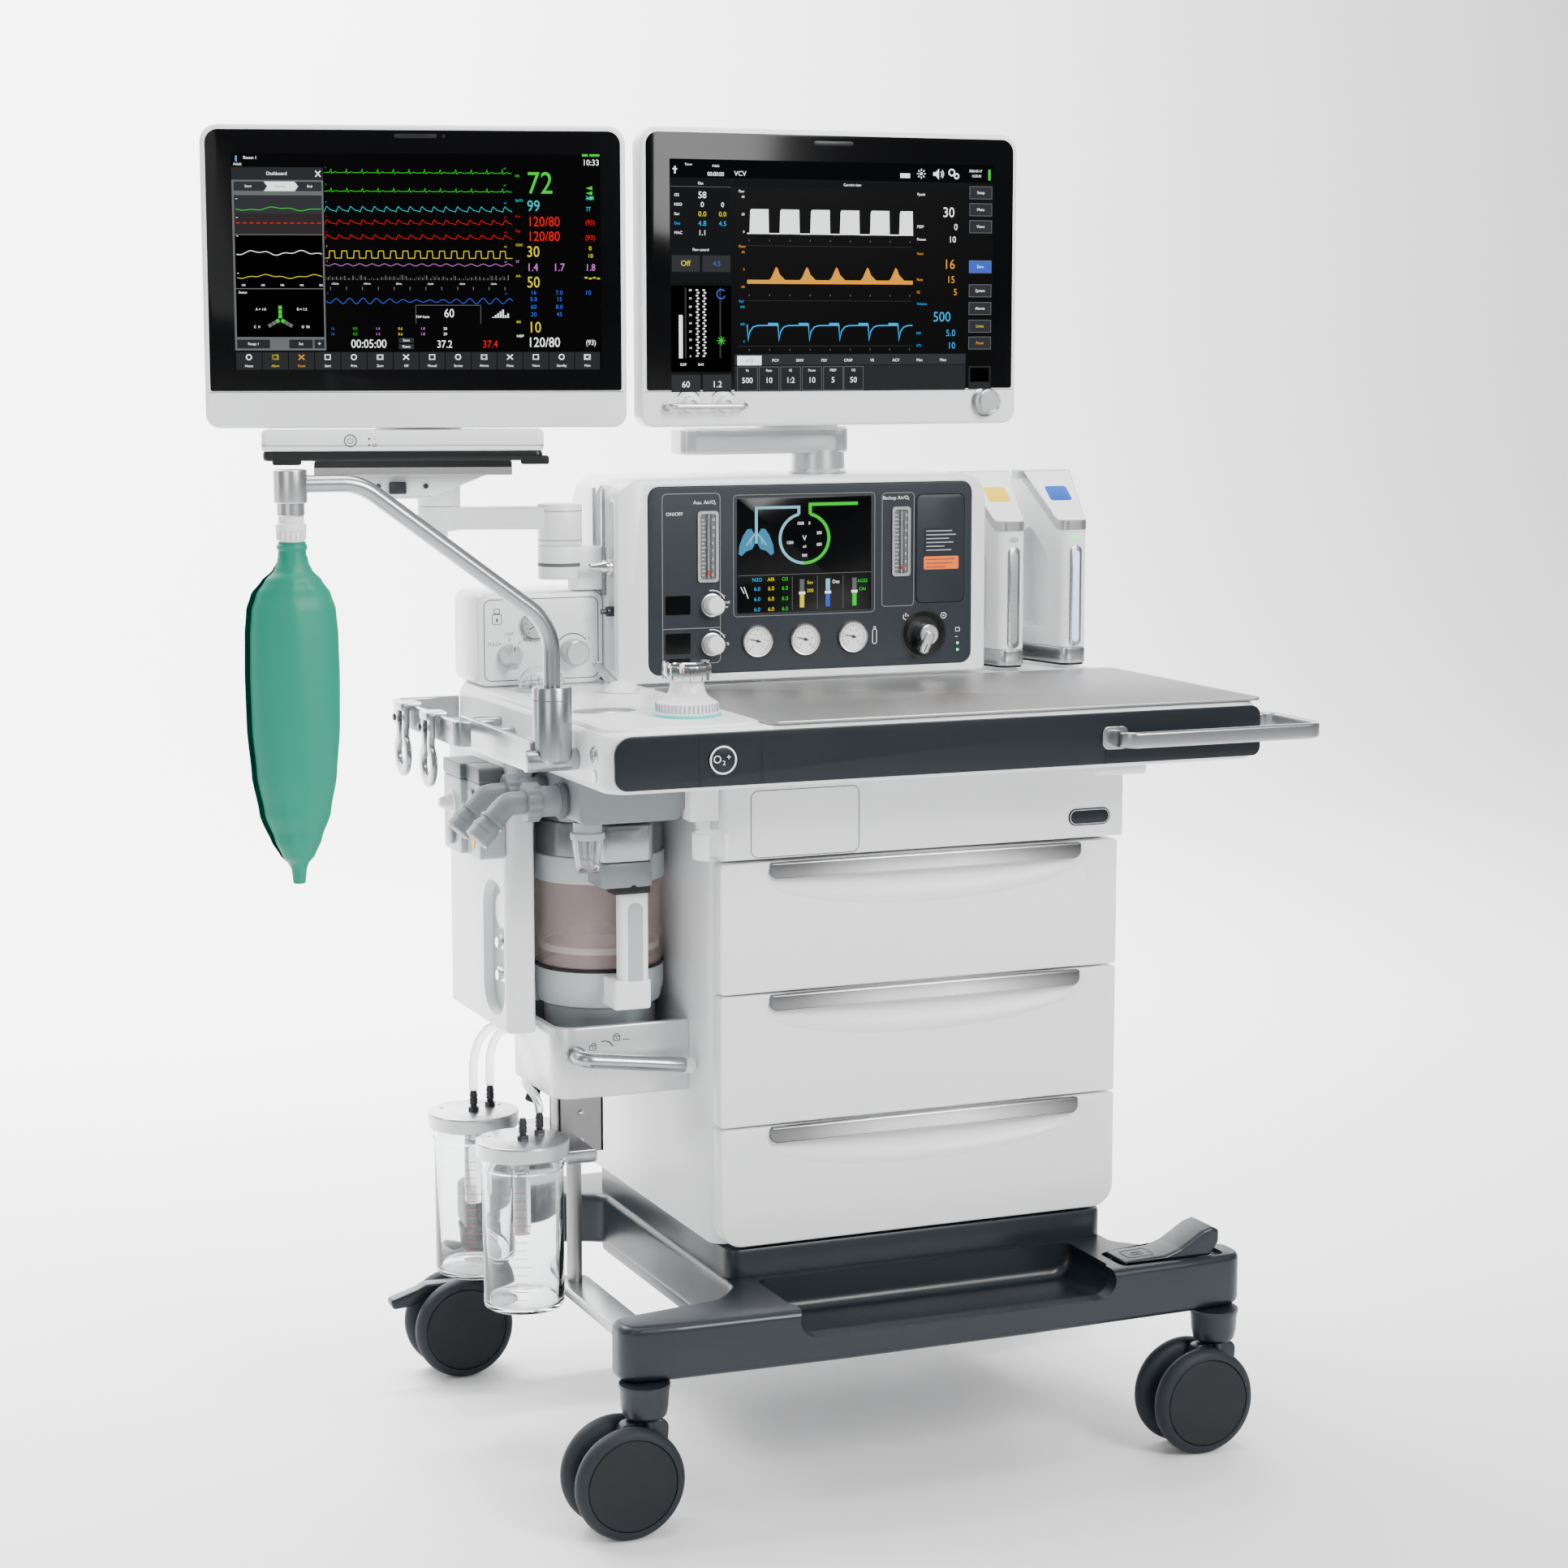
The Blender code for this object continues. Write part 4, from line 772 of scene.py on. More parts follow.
put("base_shell", look_base(), "slate", "frame", "base_frame", sharp=30)


def look_wheel(x, y, side):
    """One wheel of a twin caster; side is -1 for the outer front one and 1 for the rear one."""
    c = (x - TRAIL, WHEEL_R)
    r, a, b = WHEEL_R, y + side * 12, y + side * 36
    s = side
    tyre = [(0, a), (r - 14, a), (r - 9, a + s * 0.5), (r - 3.5, a + s * 3), (r - 0.6, a + s * 8), (r, a + s * 12), (r - 0.6, a + s * 16), (r - 3.5, a + s * 21), (r - 8, b - s * 0.8), (r - 11, b - s * 0.6), (r - 11.6, b - s * 2.5), (0, b - s * 2.5)]
    hub = [(0, b - s * 3.2), (r - 11.9, b - s * 3.2), (r - 11.9, b - s * 1.2), (r - 13, b - s * 0.1), (r - 15, b - s * 0.4), (r - 24, b - s * 0.9), (16, b - s * 1.1), (9, b - s * 0.9), (0, b - s * 0.8)]
    return lathe(tyre, c, "y", 60), lathe(hub, c, "y", 60)


def look_fork(x, y, lever):
    zt = BASE_Z[0] - GAP
    neck = lathe([(0, zt), (28, zt), (28.5, zt - 3), (27, zt - 7), (26, 140), (24, 130), (20, 126), (10.5, 125), (10.5, 86), (0, 86)], (x, y), "z", 40)
    web = prism(rounded([(x - TRAIL - 16, 46), (x - TRAIL + 16, 46), (x + 24, 92), (x + 26, 124), (x - 26, 124), (x - TRAIL - 20, 84)], 10, 4), "y", y - 9, y + 9, 2.5, 2)
    tab = prism(rounded([(x + 20, 34), (x + 28, 30), (x + 33, 38), (x + 26, 100), (x + 8, 100)], 3, 3), "y", y - 7.5, y + 7.5, 1.5, 1)
    parts = [neck, web, tab]
    if lever:
        parts.append(prism(rounded([(x - 116, 102), (x - 80, 113), (x - 70, 118), (x - 14, 118), (x - 14, 104), (x - 66, 104), (x - 84, 92), (x - 112, 90)], 5, 4), "y", y - 10, y + 10, 3, 2))
    return join(*parts)


for tag, x, y in (("front_left", CASTER_X[0], CASTER_Y[0]), ("front_right", CASTER_X[1], CASTER_Y[0]), ("rear_left", CASTER_X[0], CASTER_Y[1]), ("rear_right", CASTER_X[1], CASTER_Y[1])):
    put("fork_" + tag, look_fork(x, y, tag.startswith("rear")), "slate", "caster_" + tag, "caster_fork_" + tag)
    t1, h1 = look_wheel(x, y, -1)
    t2, h2 = look_wheel(x, y, 1)
    put("tyres_" + tag, join(t1, t2), "tyre", "wheel_" + tag, "wheels_" + tag, sharp=50)
    put("hubs_" + tag, join(h1, h2), "hub", "wheel_" + tag, sharp=40)
    put("axle_" + tag, cyl((x - TRAIL, WHEEL_R), 8, y - 13, y + 13, "y"), "silver", "wheel_" + tag)

put("pedal_rocker", prism(rounded([(254, 226), (254, 231), (308, 233), (326, 239), (356, 257), (368, 260.4), (377.5, 256), (377.5, 242), (366, 226)], [2, 2, 6, 8, 8, 6, 5, 6, 6], 4), "y", -299, -247, 4, 3), "slate", "pedal", "brake_pedal")


def padlock(cx, cz, s, y0, opened=False):
    """A small padlock sign: body outline, shackle."""
    w = 0.9
    parts = [outline(cx - 5 * s, cx + 5 * s, cz - 4.5 * s, cz + 2.5 * s, 1.2 * s, w, y0), box(cx - 0.6 * s, cx + 0.6 * s, y0 - 0.3, y0 + 0.2, cz - 2 * s, cz + 0.5 * s)]
    parts.append(arc_strip(cx + (1.5 * s if opened else 0), cz + 2.5 * s, 3 * s, w, 0, 180, y0))
    return join(*parts)


def on_pedal(bm, cx, cy, cz, tilt):
    """Lays an upright sign (in the plane y = 0, about the origin) flat on the pedal, tilted about Y."""
    m = Matrix.Translation((cx, cy, cz)) @ Matrix.Rotation(-tilt, 4, "Y") @ Matrix.Rotation(math.radians(-90), 4, "X")
    bmesh.ops.transform(bm, matrix=m, verts=bm.verts[:])
    return bm


put("pedal_signs", join(on_pedal(join(outline(-17, 17, -14, 14, 5, 0.9, 0), padlock(0, 0, 1.3, 0)), 282, -273, 232.1, math.radians(2)),
                        on_pedal(join(outline(-15, 15, -14, 14, 5, 0.9, 0), padlock(0, 0, 1.3, 0, True)), 343, -273, 248.3, math.radians(30))), "ink_grey", "pedal")

# ---------------------------------------------------------------- cabinet and drawers
put("cabinet_body", cabinet(), "white_paint", "frame", "cabinet_shell", sharp=30)
put("cabinet_rear", rear_panel(), "white_shell", "frame")
put("vacuum_block", box(-222, -195, 96, 166, 404, 456, 3, "x", 1, 1.5), "block_pale", "frame")
put("vacuum_barbs", join(*[lathe([(0, -200), (6, -200), (6, -221), (4, -226), (5, -227), (3.5, -232), (0, -232)], c, "x", 20) for c in MANIFOLD]), "chrome", "frame")
put("fascia_door_line", outline(-164, -32, 710, 786, 9, 0.9, FRONT_Y), "seam_grey", "frame")
put("fascia_plate", box(233, 287, FRONT_Y - 1.2, FRONT_Y + 1, 723, 743, 9.6, "y", 5, 0.5), "slate_band", "frame")
put("fascia_plate_rim", ring_prism(rounded(rect(234.4, 285.6, 724.4, 741.6), 8.2, 6), rounded(rect(235.4, 284.6, 725.4, 740.6), 7.4, 6), "y", FRONT_Y - 1.6, FRONT_Y - 1.0), "silver", "frame")


def look_front(i):
    x0, x1 = CAB_X
    z0, z1 = SEAMS[i] + 1, SEAMS[i + 1] - 1.5
    r = [26, 26, 4, 4] if i == 0 else [4, 4, 4, 4]
    front = prism(rounded([(x0, z0), (x1 - 1, z0), (x1 - 1, z1), (x0, z1)], r, 5), "y", FRONT_Y, CAB_Y[0] - GAP, 2.2, 2)
    k = (x0 + x1) / 2 + 4
    scoop = bmesh.new()
    bmesh.ops.create_uvsphere(scoop, u_segments=96, v_segments=48, radius=1)
    for v in scoop.verts:
        v.co = Vector((k + v.co.x * 206, FRONT_Y - 5 + v.co.y * 20, z1 - 17 + v.co.z * 41))
    return cut(front, scoop)


for i, tag in enumerate(("bottom", "middle", "top")):
    z0, z1 = SEAMS[i] + 1, SEAMS[i + 1] - 1.5
    k = (CAB_X[0] + CAB_X[1]) / 2 + 4
    body = "drawer_%s_body" % tag
    put("drawer_front_" + tag, look_front(i), "white_paint", body, "drawer_" + tag, sharp=28)
    # the pull strip's material carries a painted highlight in its middle and painted shade at its ends
    put("pull_strip_" + tag, prism(rounded([(k - 195, z1 - 19), (k + 195, z1 - 19), (k + 195, z1 - 0.5), (k - 195, z1 - 0.5)], [10, 10, 3, 3], 4), "y", FRONT_Y - 5, FRONT_Y + 4, 2.2, 2), "pull_metal_painted_sheen", body)
    lo = SEAMS[i] + (14 if i == 0 else 10)
    tray = box(CAB_X[0] + 22, CAB_X[1] - 22, CAB_Y[0] - 1, CAB_Y[1] - 44, lo, z1 - 26, 3, "z", 2)
    hollow = box(CAB_X[0] + 26, CAB_X[1] - 26, CAB_Y[0] + 8, CAB_Y[1] - 48, lo + 4, z1)
    put("drawer_tray_" + tag, cut(tray, hollow), "block_pale", body)
    put("drawer_runners_" + tag, join(*[box(x, x + 4, CAB_Y[0] + 4, CAB_Y[1] - 60, lo + 30, lo + 62) for x in (CAB_X[0] + 17.6, CAB_X[1] - 21.6)]), "silver", body)

# ---------------------------------------------------------------- table
def look_table():
    x0, x1 = TABLE_X
    y0, y1 = TABLE_Y
    body = prism(rounded(rect(x0, x1, y0 - 6, y1), [30, 34, 20, 26], 5), "z", TABLE_Z[0], TABLE_Z[1], 9, 3)
    apron = box(x0 + 3, -206, y0 + 2, y1 - 6, TABLE_Z[1] - 12, PLATE_TOP, 24, "z", 3, 3.5)
    return union(body, apron)


put("table_body", look_table(), "white_shell", "frame", "table_frame", sharp=30)
put("work_surface", box(-204, 398, TABLE_Y[0] - 4, 20, TABLE_Z[1] + GAP, PLATE_TOP, 12, "z", 3, 1.2), "stainless", "frame", "worktop_plate")
put("band_panel", cut(prism(rounded([(-380, 817), (392, 817), (392, 874), (-380, 874)], [14, 10, 12, 20], 4), "y", -343, TABLE_Y[0] - 4, 1.0, 2), cyl((-260, 845), 16.4, -350, -330, "y", 40)), "slate_band", "frame", "front_band")
put("band_seams", join(*[box(x - 0.45, x + 0.45, -343.25, -342, 818.5, 872.5) for x in (-286, -215, 195)]), "black_plastic", "frame")
put("flush_disc", cyl((-260, 845), 15.6, -344.5, TABLE_Y[0] - 3, "y", 40, 1.2), "slate_band", "flush_button", "oxygen_flush_button")
put("flush_ring", join(ring_prism(circle(-260, 845, 15.2), circle(-260, 845, 13.4), "y", -345.0, -344.2), words("O", 8.6, -271.6, 845.6, -344.6), words("2", 5.0, -260.9, 841.8, -344.6), words("+", 6.6, -256.4, 847.6, -344.6)), "ink_white", "flush_button")


def look_handle():
    sec = rounded([(-4, -9), (4, -9), (4, 9), (-4, 9)], 3.4, 3)
    path = arc_path([(205, -342, 846), (205, -373.5, 846), (454.5, -373.5, 846), (454.5, -262, 846), (399, -262, 846)], 20, 8)
    return sweep(path, sec)


put("corner_handle", look_handle(), "silver_paint", "frame", "table_handle", sharp=40)
put("handle_feet", join(prism(rounded([(190, 833), (222, 833), (222, 859), (190, 859)], 8, 4), "y", -345.5, -342.6, 1, 2), prism(rounded([(-276, 833), (-248, 833), (-248, 859), (-276, 859)], 8, 4), "x", 398.5, 401.5, 1, 2)), "silver_paint", "frame")
put("table_tab", box(196, 262, -318, -250, 800, 812.5, 5, "z", 3, 2), "white_shell", "frame")
put("corner_catches", join(box(396.5, 401, -306, -288, 838, 852, 3, "x", 3, 1), cyl((-318, 856), 3.2, 396, 401.4, "x", 24, 0.5)), "silver", "frame")

z = PLATE_TOP
put("valve_body", lathe([(0, z - 1), (35.5, z - 1), (35.5, z + 3.4), (33.4, z + 5), (33.4, z + 14), (31, z + 16), (28.5, z + 17.2), (24, z + 20.5), (20.5, z + 25), (18.6, z + 31), (18, z + 38), (0, z + 38)], APL, "z", 64), "white_shell", "frame")
put("valve_ring", lathe([(30, z + 0.2), (36.6, z + 0.2), (36.8, z + 1.6), (36.2, z + 3.2), (30, z + 3.2)], APL, "z", 64), "teal", "frame")
put("valve_ribs", join(*[turn(box(APL[0] + 33, APL[0] + 34.6, APL[1] - 0.8, APL[1] + 0.8, z + 5.2, z + 14.2, 0.5, "z", 2), 2 * math.pi * k / 44, (APL[0], APL[1], 0)) for k in range(44)]), "block_pale", "frame")
n = 72
put("valve_cap", join(prism([(APL[0] + (26.5 if k % 6 < 4 else 23.8) * math.cos(2 * math.pi * k / n), APL[1] + (26.5 if k % 6 < 4 else 23.8) * math.sin(2 * math.pi * k / n)) for k in range(n)], "z", z + 38.8, z + 54, 0.5, 1),
                        lathe([(0, z + 53), (25.5, z + 53), (26.3, z + 54.5), (26, z + 57.6), (24.4, z + 58.8), (0, z + 59.2)], APL, "z", 64)), "chrome", "apl", "apl_knob", sharp=30)
put("dome_shell", lathe([(26.5, z + 1), (27.5, z + 8), (25.5, z + 15), (20, z + 23), (12, z + 28), (0, z + 30), (0, z + 28.4), (11.4, z + 26.5), (19, z + 21.8), (24, z + 14.4), (26, z + 8), (25, z + 1)][::-1], DOME, "z", 48), "clear", "frame")
put("dome_seat", join(lathe([(0, z - 1), (30, z - 1), (30, z + 2.4), (28, z + 3.4), (0, z + 3.4)], DOME, "z", 48), lathe([(0, z + 3), (15, z + 3), (15, z + 7), (13, z + 8.5), (0, z + 9)], DOME, "z", 32)), "block_pale", "frame")
put("dome_cage", join(*[turn(box(DOME[0] + 16.4, DOME[0] + 18, DOME[1] - 0.9, DOME[1] + 0.9, z + 3, z + 17, 0.4, "z", 2), 2 * math.pi * k / 6, (DOME[0], DOME[1], 0)) for k in range(6)]), "chrome", "frame")
put("oval_window_rim", join(prism([(-334 + 38 * math.cos(a * math.pi / 32), -176 + 20 * math.sin(a * math.pi / 32)) for a in range(64)], "z", z - 0.6, z + 1.0, 0.4, 1)), "silver", "frame")
put("oval_window", prism([(-334 + 33 * math.cos(a * math.pi / 32), -176 + 15.6 * math.sin(a * math.pi / 32)) for a in range(64)], "z", z + 0.6, z + 1.5, 0.3, 1), "stainless", "frame")
zl = PLATE_TOP + GAP
put("lever_dome", lathe([(0, zl), (22, zl), (22.5, zl + 1.5), (21.5, zl + 3), (19, zl + 8), (13, zl + 12), (5, zl + 13.8), (0, zl + 14)], LEV, "z", 56), "dial_white", "vent_lever", "bag_vent_lever")
put("lever_arm", join(prism(rounded([(LEV[0] - 12, zl + 6), (LEV[0] - 33, zl + 33), (LEV[0] - 28, zl + 37), (LEV[0] - 2, zl + 11)], 2.2, 4), "y", LEV[1] - 6, LEV[1] + 6, 1.6, 2)), "silver_paint", "vent_lever")
put("lever_marks", join(*[turn(box(LEV[0] + 20.3, LEV[0] + 22.2, LEV[1] - 0.35, LEV[1] + 0.35, zl + 1.5, zl + 3.6), math.radians(12 * k - 60), (LEV[0], LEV[1], 0)) for k in range(11)]), "ink_black", "frame")

# fittings on the table's left end
put("end_fittings", join(lathe([(0, -386), (10, -386), (10, -389), (8.6, -390), (6, -390), (6, -391.4), (0, -391.4)], (-302, 852), "x", 32), lathe([(0, -386), (7, -386), (7, -389.4), (0, -389.8)], (-302, 829), "x", 24)), "silver", "frame")

# ---------------------------------------------------------------- status housing
put("status_shell", status_housing(), "white_shell", "frame", "status_housing", sharp=30)
put("wall_hub", wall_bracket(), "white_paint", "frame")
put("wall_hub_band", lathe([(24, 1020), (26.3, 1020), (26.3, 1024), (24, 1024)], LHUB, "z", 48), "seam_grey", "frame")
put("side_channel", join(box(-240.6, -236.5, 84, 88, 988, 1109), box(-240.6, -236.5, 116, 120, 988, 1109)), "silver_paint", "frame")
put("gas_nipple", join(lathe([(0, -232), (11, -232), (11, -240), (8, -241.5), (8, -246), (5.5, -252), (4, -262), (0, -262)], (66, 1020), "x", 32)), "chrome", "frame")
put("gas_nipple_small", lathe([(0, -232), (6, -232), (6, -242), (3, -243), (3, -249), (0, -249)], (66, 968), "x", 24), "dark_metal", "frame")

# ---------------------------------------------------------------- suction control box
put("suction_case", box(-390, HOUSING_X[0] - GAP, 92, 186, PLATE_TOP + GAP, 991, 14, "y", 4, 5), "white_shell", "frame", "suction_box", sharp=30)
put("suction_outline", outline(-383, -243, 889, 984, 9, 0.9, 92), "ink_grey", "frame")
put("suction_gauge_case", join(lathe([(0, 97), (17, 97), (17.4, 93), (17.4, 86.5), (15.6, 85.6), (15.2, 88.2), (0, 88.2)], (-321, 953), "y", 48)), "silver_paint", "frame")
put("suction_gauge_face", cyl((-321, 953), 15.1, 87.6, 89, "y", 40), "dial_white", "frame")
put("suction_gauge_marks", join(*[turn(box(-321 - 0.35, -321 + 0.35, 87.2, 88, 964, 966.8), math.radians(27 * k - 135), (-321, 0, 953), "Y") for k in range(11)], turn(box(-321.5, -320.5, 87.0, 87.5, 951, 963), math.radians(-120), (-321, 0, 953), "Y")), "ink_black", "frame")
put("suction_gauge_glass", cyl((-321, 953), 15.4, 85.9, 86.5, "y", 40), "clear", "frame")
put("suction_icon", join(outline(-373, -361, 955, 967, 2, 0.8, 92), outline(-371, -363, 967, 973, 1.5, 0.8, 92), box(-368, -366, 91.7, 92.2, 958, 962)), "ink_grey", "frame")
put("suction_words", join(words("FULL", 4.2, -378.5, 932, 92), words("OFF", 4.2, -352, 943, 92, "CENTER"), words("REG", 4.2, -336, 936, 92), *[turn(box(-352.4, -351.6, 91.7, 92.2, 935, 939), math.radians(a), (-352, 0, 918), "Y") for a in (-40, 0, 40)]), "ink_grey", "frame")
put("selector_knob", join(lathe([(0, 70), (7, 70), (13.2, 84), (14, 85.5), (14, 91.6), (0, 91.6)], (-352, 918), "y", 48), prism(rounded([(-356, 904), (-348, 904), (-348, 932), (-356, 932)], 3, 4), "y", 71.6, 88, 1.5, 2)), "silver_pale", "selector", "suction_selector")
put("selector_mark", box(-352.6, -351.4, 71.2, 72, 920, 931), "ink_black", "selector")
put("regulator_knob", join(lathe([(0, 71.6), (13, 71.6), (14.6, 73), (15, 76), (15, 90), (13, 91.6), (0, 91.6)], (-275, 920), "y", 56)), "silver_pale", "regulator", "suction_regulator")
put("regulator_ribs", join(*[turn(box(-275.6, -274.4, 75.5, 90, 934.2, 935.6, 0.4, "y", 2), 2 * math.pi * k / 28, (-275, 0, 920), "Y") for k in range(28)]), "silver_pale", "regulator")
put("regulator_arrow", join(arc_strip(-275, 920, 21.5, 1.2, 40, 140, 92), words("-", 5, -296, 935, 92), words("+", 5, -256.5, 935, 92)), "ink_grey", "frame")

# ---------------------------------------------------------------- vaporizers
def look_vaporizer(cx):
    y0, y1, zb = 56, 166, PLATE_TOP + 22
    plan = rounded([(cx - 16, y0), (cx + 16, y0), (cx + 38, y1), (cx - 38, y1)], [13, 13, 6, 6], 5)
    body = prism(plan, "z", zb, 1118, 2.5, 2)
    wedge = prism([(y0 - 20, 1062), (y0 + 14, 1062), (y0 + 84, 1121), (y0 + 84, 1150), (y0 - 20, 1150)], "x", cx - 60, cx + 60)
    grip = rounded([(y0 + 30, 926), (y0 + 88, 926), (y0 + 88, 1040), (y0 + 66, 1052), (y0 + 30, 1016)], 12, 4)
    return cut(body, wedge, prism(grip, "x", cx - 60, cx - 13, 3, 2), prism(grip, "x", cx + 13, cx + 60, 3, 2))


def wedge_band(cx):
    """The silver band that runs up along the sloped top's edge."""
    y0, y1 = 56, 166
    plan = prism(rounded([(cx - 16.6, y0 - 0.6), (cx + 16.6, y0 - 0.6), (cx + 38.5, y1 + 0.2), (cx - 38.5, y1 + 0.2)], [13.4, 13.4, 6, 6], 5), "z", 1020, 1130)
    strip = prism([(y0 - 9, 1049), (y0 + 13, 1049), (y0 + 83, 1108), (y1 + 9, 1108), (y1 + 9, 1118.4), (y0 + 81, 1118.4), (y0 + 12.5, 1060.6), (y0 - 9, 1060.6)], "x", cx - 60, cx + 60)
    return combine(strip, "INTERSECT", plan)


for tag, cx, lit, lab in (("left", 281, False, "label_yellow"), ("right", 366, True, "label_blue")):
    b = "vaporizer_l" if tag == "left" else "vaporizer_r"
    put("vaporizer_body_" + tag, look_vaporizer(cx), "white_shell", b, "vaporizer_" + tag, sharp=30)
    plan = rounded([(cx - 16.4, 55.6), (cx + 16.4, 55.6), (cx + 38.4, 166), (cx - 38.4, 166)], [13, 13, 6, 6], 5)
    put("vaporizer_foot_" + tag, prism(plan, "z", PLATE_TOP + 3, PLATE_TOP + 22, 1.2, 2), "brushed_strip", b)
    put("vaporizer_sole_" + tag, prism(rounded([(cx - 15, 57), (cx + 15, 57), (cx + 37, 165), (cx - 37, 165)], [12, 12, 5, 5], 5), "z", PLATE_TOP + GAP, PLATE_TOP + 3, 0.4, 1), "black_plastic", b)
    put("vaporizer_band_" + tag, wedge_band(cx), "silver", b)
    # sloped label
    slope = math.atan2(1121 - 1062, 70)
    lab_bm = box(cx - 15, cx + 15, 20, 46, -0.4, 0.6, 4, "z", 4, 0.3)
    m = Matrix.Translation((0, 79, 1070.2)) @ Matrix.Rotation(slope, 4, "X")
    bmesh.ops.transform(lab_bm, matrix=m, verts=lab_bm.verts[:])
    put("vaporizer_label_" + tag, lab_bm, lab, b)
    cap = box(cx - 21, cx + 21, -14, 54, -1.0, 0.2, 9, "z", 4, 0.2)
    bmesh.ops.transform(cap, matrix=m, verts=cap.verts[:])
    put("vaporizer_top_" + tag, cap, "dial_white", b)
    put("sight_frame_" + tag, box(cx - 8, cx + 8, 54.2, 62, 906, 1030, 7, "y", 4, 1), "silver_paint", b)
    put("sight_core_" + tag, box(cx - 4.6, cx + 4.6, 53.7, 58, 912, 1024, 4.4, "y", 4, 0.6), "lamp_blue" if lit else "clear_tube", b)
    put("sight_back_" + tag, box(cx - 4.8, cx + 4.8, 55.4, 59, 911, 1025, 4.4, "y", 4), "dial_white", b)
    put("sight_marks_" + tag, join(*[box(cx - 6.9, cx - 5.2, 53.9, 54.6, 916 + 12 * k, 916.8 + 12 * k) for k in range(9)]), "ink_grey", b)
    put("status_spot_" + tag, box(cx - 5.5, cx + 5.5, 54.8, 57, 1036, 1042, 2.6, "y", 4, 0.4), "lamp_green" if lit else "block_pale", b)

# ---------------------------------------------------------------- breathing system under the table
top = TABLE_Z[0] - GAP
put("breathing_body", box(-363, -243, -180, 80, 757.4, top, 9, "y", 3, 3), "block_grey", "frame", "breathing_block", sharp=30)
put("breathing_ports", join(*[cyl((y, 780), 17, -395, -355, "x", 40, 1.2) for y in ELBOWS], box(-246, -214, -180, -140, 770, top, 3, "z", 2)), "block_grey", "frame")
put("port_rings", join(*[lathe([(15, -372), (19.5, -372), (20, -371), (20, -366), (19.5, -365), (15, -365)], (y, 780), "x", 40) for y in ELBOWS]), "block_dark", "frame")
put("test_plug_box", box(-240, -206, -200, -168, 757, top, 6, "z", 3, 2), "white_shell", "frame")


def look_elbow(y):
    nut = prism([(y + (22 if k % 4 < 2 else 20.6) * math.cos(2 * math.pi * k / 64), 780 + (22 if k % 4 < 2 else 20.6) * math.sin(2 * math.pi * k / 64)) for k in range(64)], "x", -410, -395.4, 0.8, 1)
    horn = tube(arc_path([(-408, y, 780), (-430, y, 780), (-458, y - 4, 752)], 16, 8), 12.8, 32)
    d = Vector((-19, -2, -19)).normalized()
    o = Vector((-456, y - 4.2, 754))
    ends = [tube([o + d * a, o + d * b], r, 32) for a, b, r in ((-13, -9.5, 15.0), (-4, 15.5, 14.4), (0.5, 3.0, 15.2))]
    # the thin disc at the port's end, drawn black, is painted shade for the dark open bore
    return join(nut, horn, *ends), tube([o + d * 15.2, o + d * 15.9], 11.4, 32)


for tag, y, b in (("front", ELBOWS[0], "elbow_f"), ("rear", ELBOWS[1], "elbow_r")):
    e, mouth = look_elbow(y)
    put("elbow_body_" + tag, e, "block_grey", b, "hose_elbow_" + tag, sharp=38)
    # black disc at the port's end: painted shade inside the open bore
    put("elbow_mouth_painted_shade_" + tag, mouth, "black_plastic", b)

put("trap_cup", lathe([(11.5, 703), (12.5, 702), (13.5, 708), (17, 736), (17.4, 742), (16, 742), (12, 708), (0, 705), (0, 703)][::-1], (-344, -152), "z", 40), "clear", "frame")
put("trap_ribs", join(*[turn(prism([(-344 + 12.6, 708), (-344 + 16.8, 738), (-344 + 18.2, 738), (-344 + 14.0, 708)], "y", -152.6, -151.4), 2 * math.pi * k / 12, (-344, -152, 0)) for k in range(12)]), "clear", "frame")
put("trap_ring", join(lathe([(14, 739), (19, 739), (19.4, 742), (19, 746), (14, 746)], (-344, -152), "z", 40), lathe([(0, 745), (16, 745), (16, 757.5), (0, 757.5)], (-344, -152), "z", 40)), "block_pale", "frame")


def look_holder():
    x, y = -223, -214
    ring = cut(cyl((x, y), 21, 718, 748, "z", 48, 2.5, 2), cyl((x, y), 16.5, 710, 760, "z", 48), box(x - 9, x + 9, y - 40, y, 710, 760, 3, "z", 3))
    neck = box(x - 7, x + 7, y + 17, y + 30, 726, 760, 3, "z", 2, 1)
    return join(ring, neck)


put("hose_holder", look_holder(), "white_shell", "frame")
put("tower_body", tower(), "white_paint", "frame", "gas_tower", sharp=30)
put("tower_oval_back", prism(rounded([(-23, 515), (53, 515), (53, 669), (-23, 669)], 34, 6), "x", -388, -385.6), "block_pale", "frame")
put("tower_fittings", join(*[lathe([(0, -386), (9, -386), (9, -391), (6, -392), (6, -397), (0, -397)], (14 + dy, zz), "x", 32) for dy, zz in ((0, 560), (0, 598))], box(-392, -386, -2, 30, 552, 568, 2, "x", 2, 1)), "chrome", "frame")
put("tower_boss", lathe([(0, -386), (21, -386), (22, -389), (20, -391), (0, -391.6)], (15, 634), "x", 48), "white_shell", "frame")
put("gas_cassettes", join(box(-430, -400.4, -34, 15, 702, 788, 5, "x", 3, 2), box(-436, -400.4, 17.6, 84, 702, 788, 5, "x", 3, 2)), "block_pale", "frame", "gas_modules")
put("gas_cassette_tops", join(box(-430.6, -401, -34.4, 15.4, 788, 806, 4, "x", 3, 1.5), box(-436.6, -401, 17.2, 84.4, 788, 806, 4, "x", 3, 1.5)), "block_dark", "frame")
put("gas_port", join(lathe([(0, -434), (14, -434), (14, -437), (11, -438.5), (9.5, -442), (5, -452), (0, -452)], (50, 758), "x", 40)), "dial_white", "frame")
put("gas_port_caps", join(lathe([(0, -434), (12, -434), (12, -440), (10, -441), (0, -441)], (50, 722), "x", 32), lathe([(0, -429), (10, -429), (10, -434), (0, -434.5)], (-10, 770), "x", 32)), "block_grey", "frame")
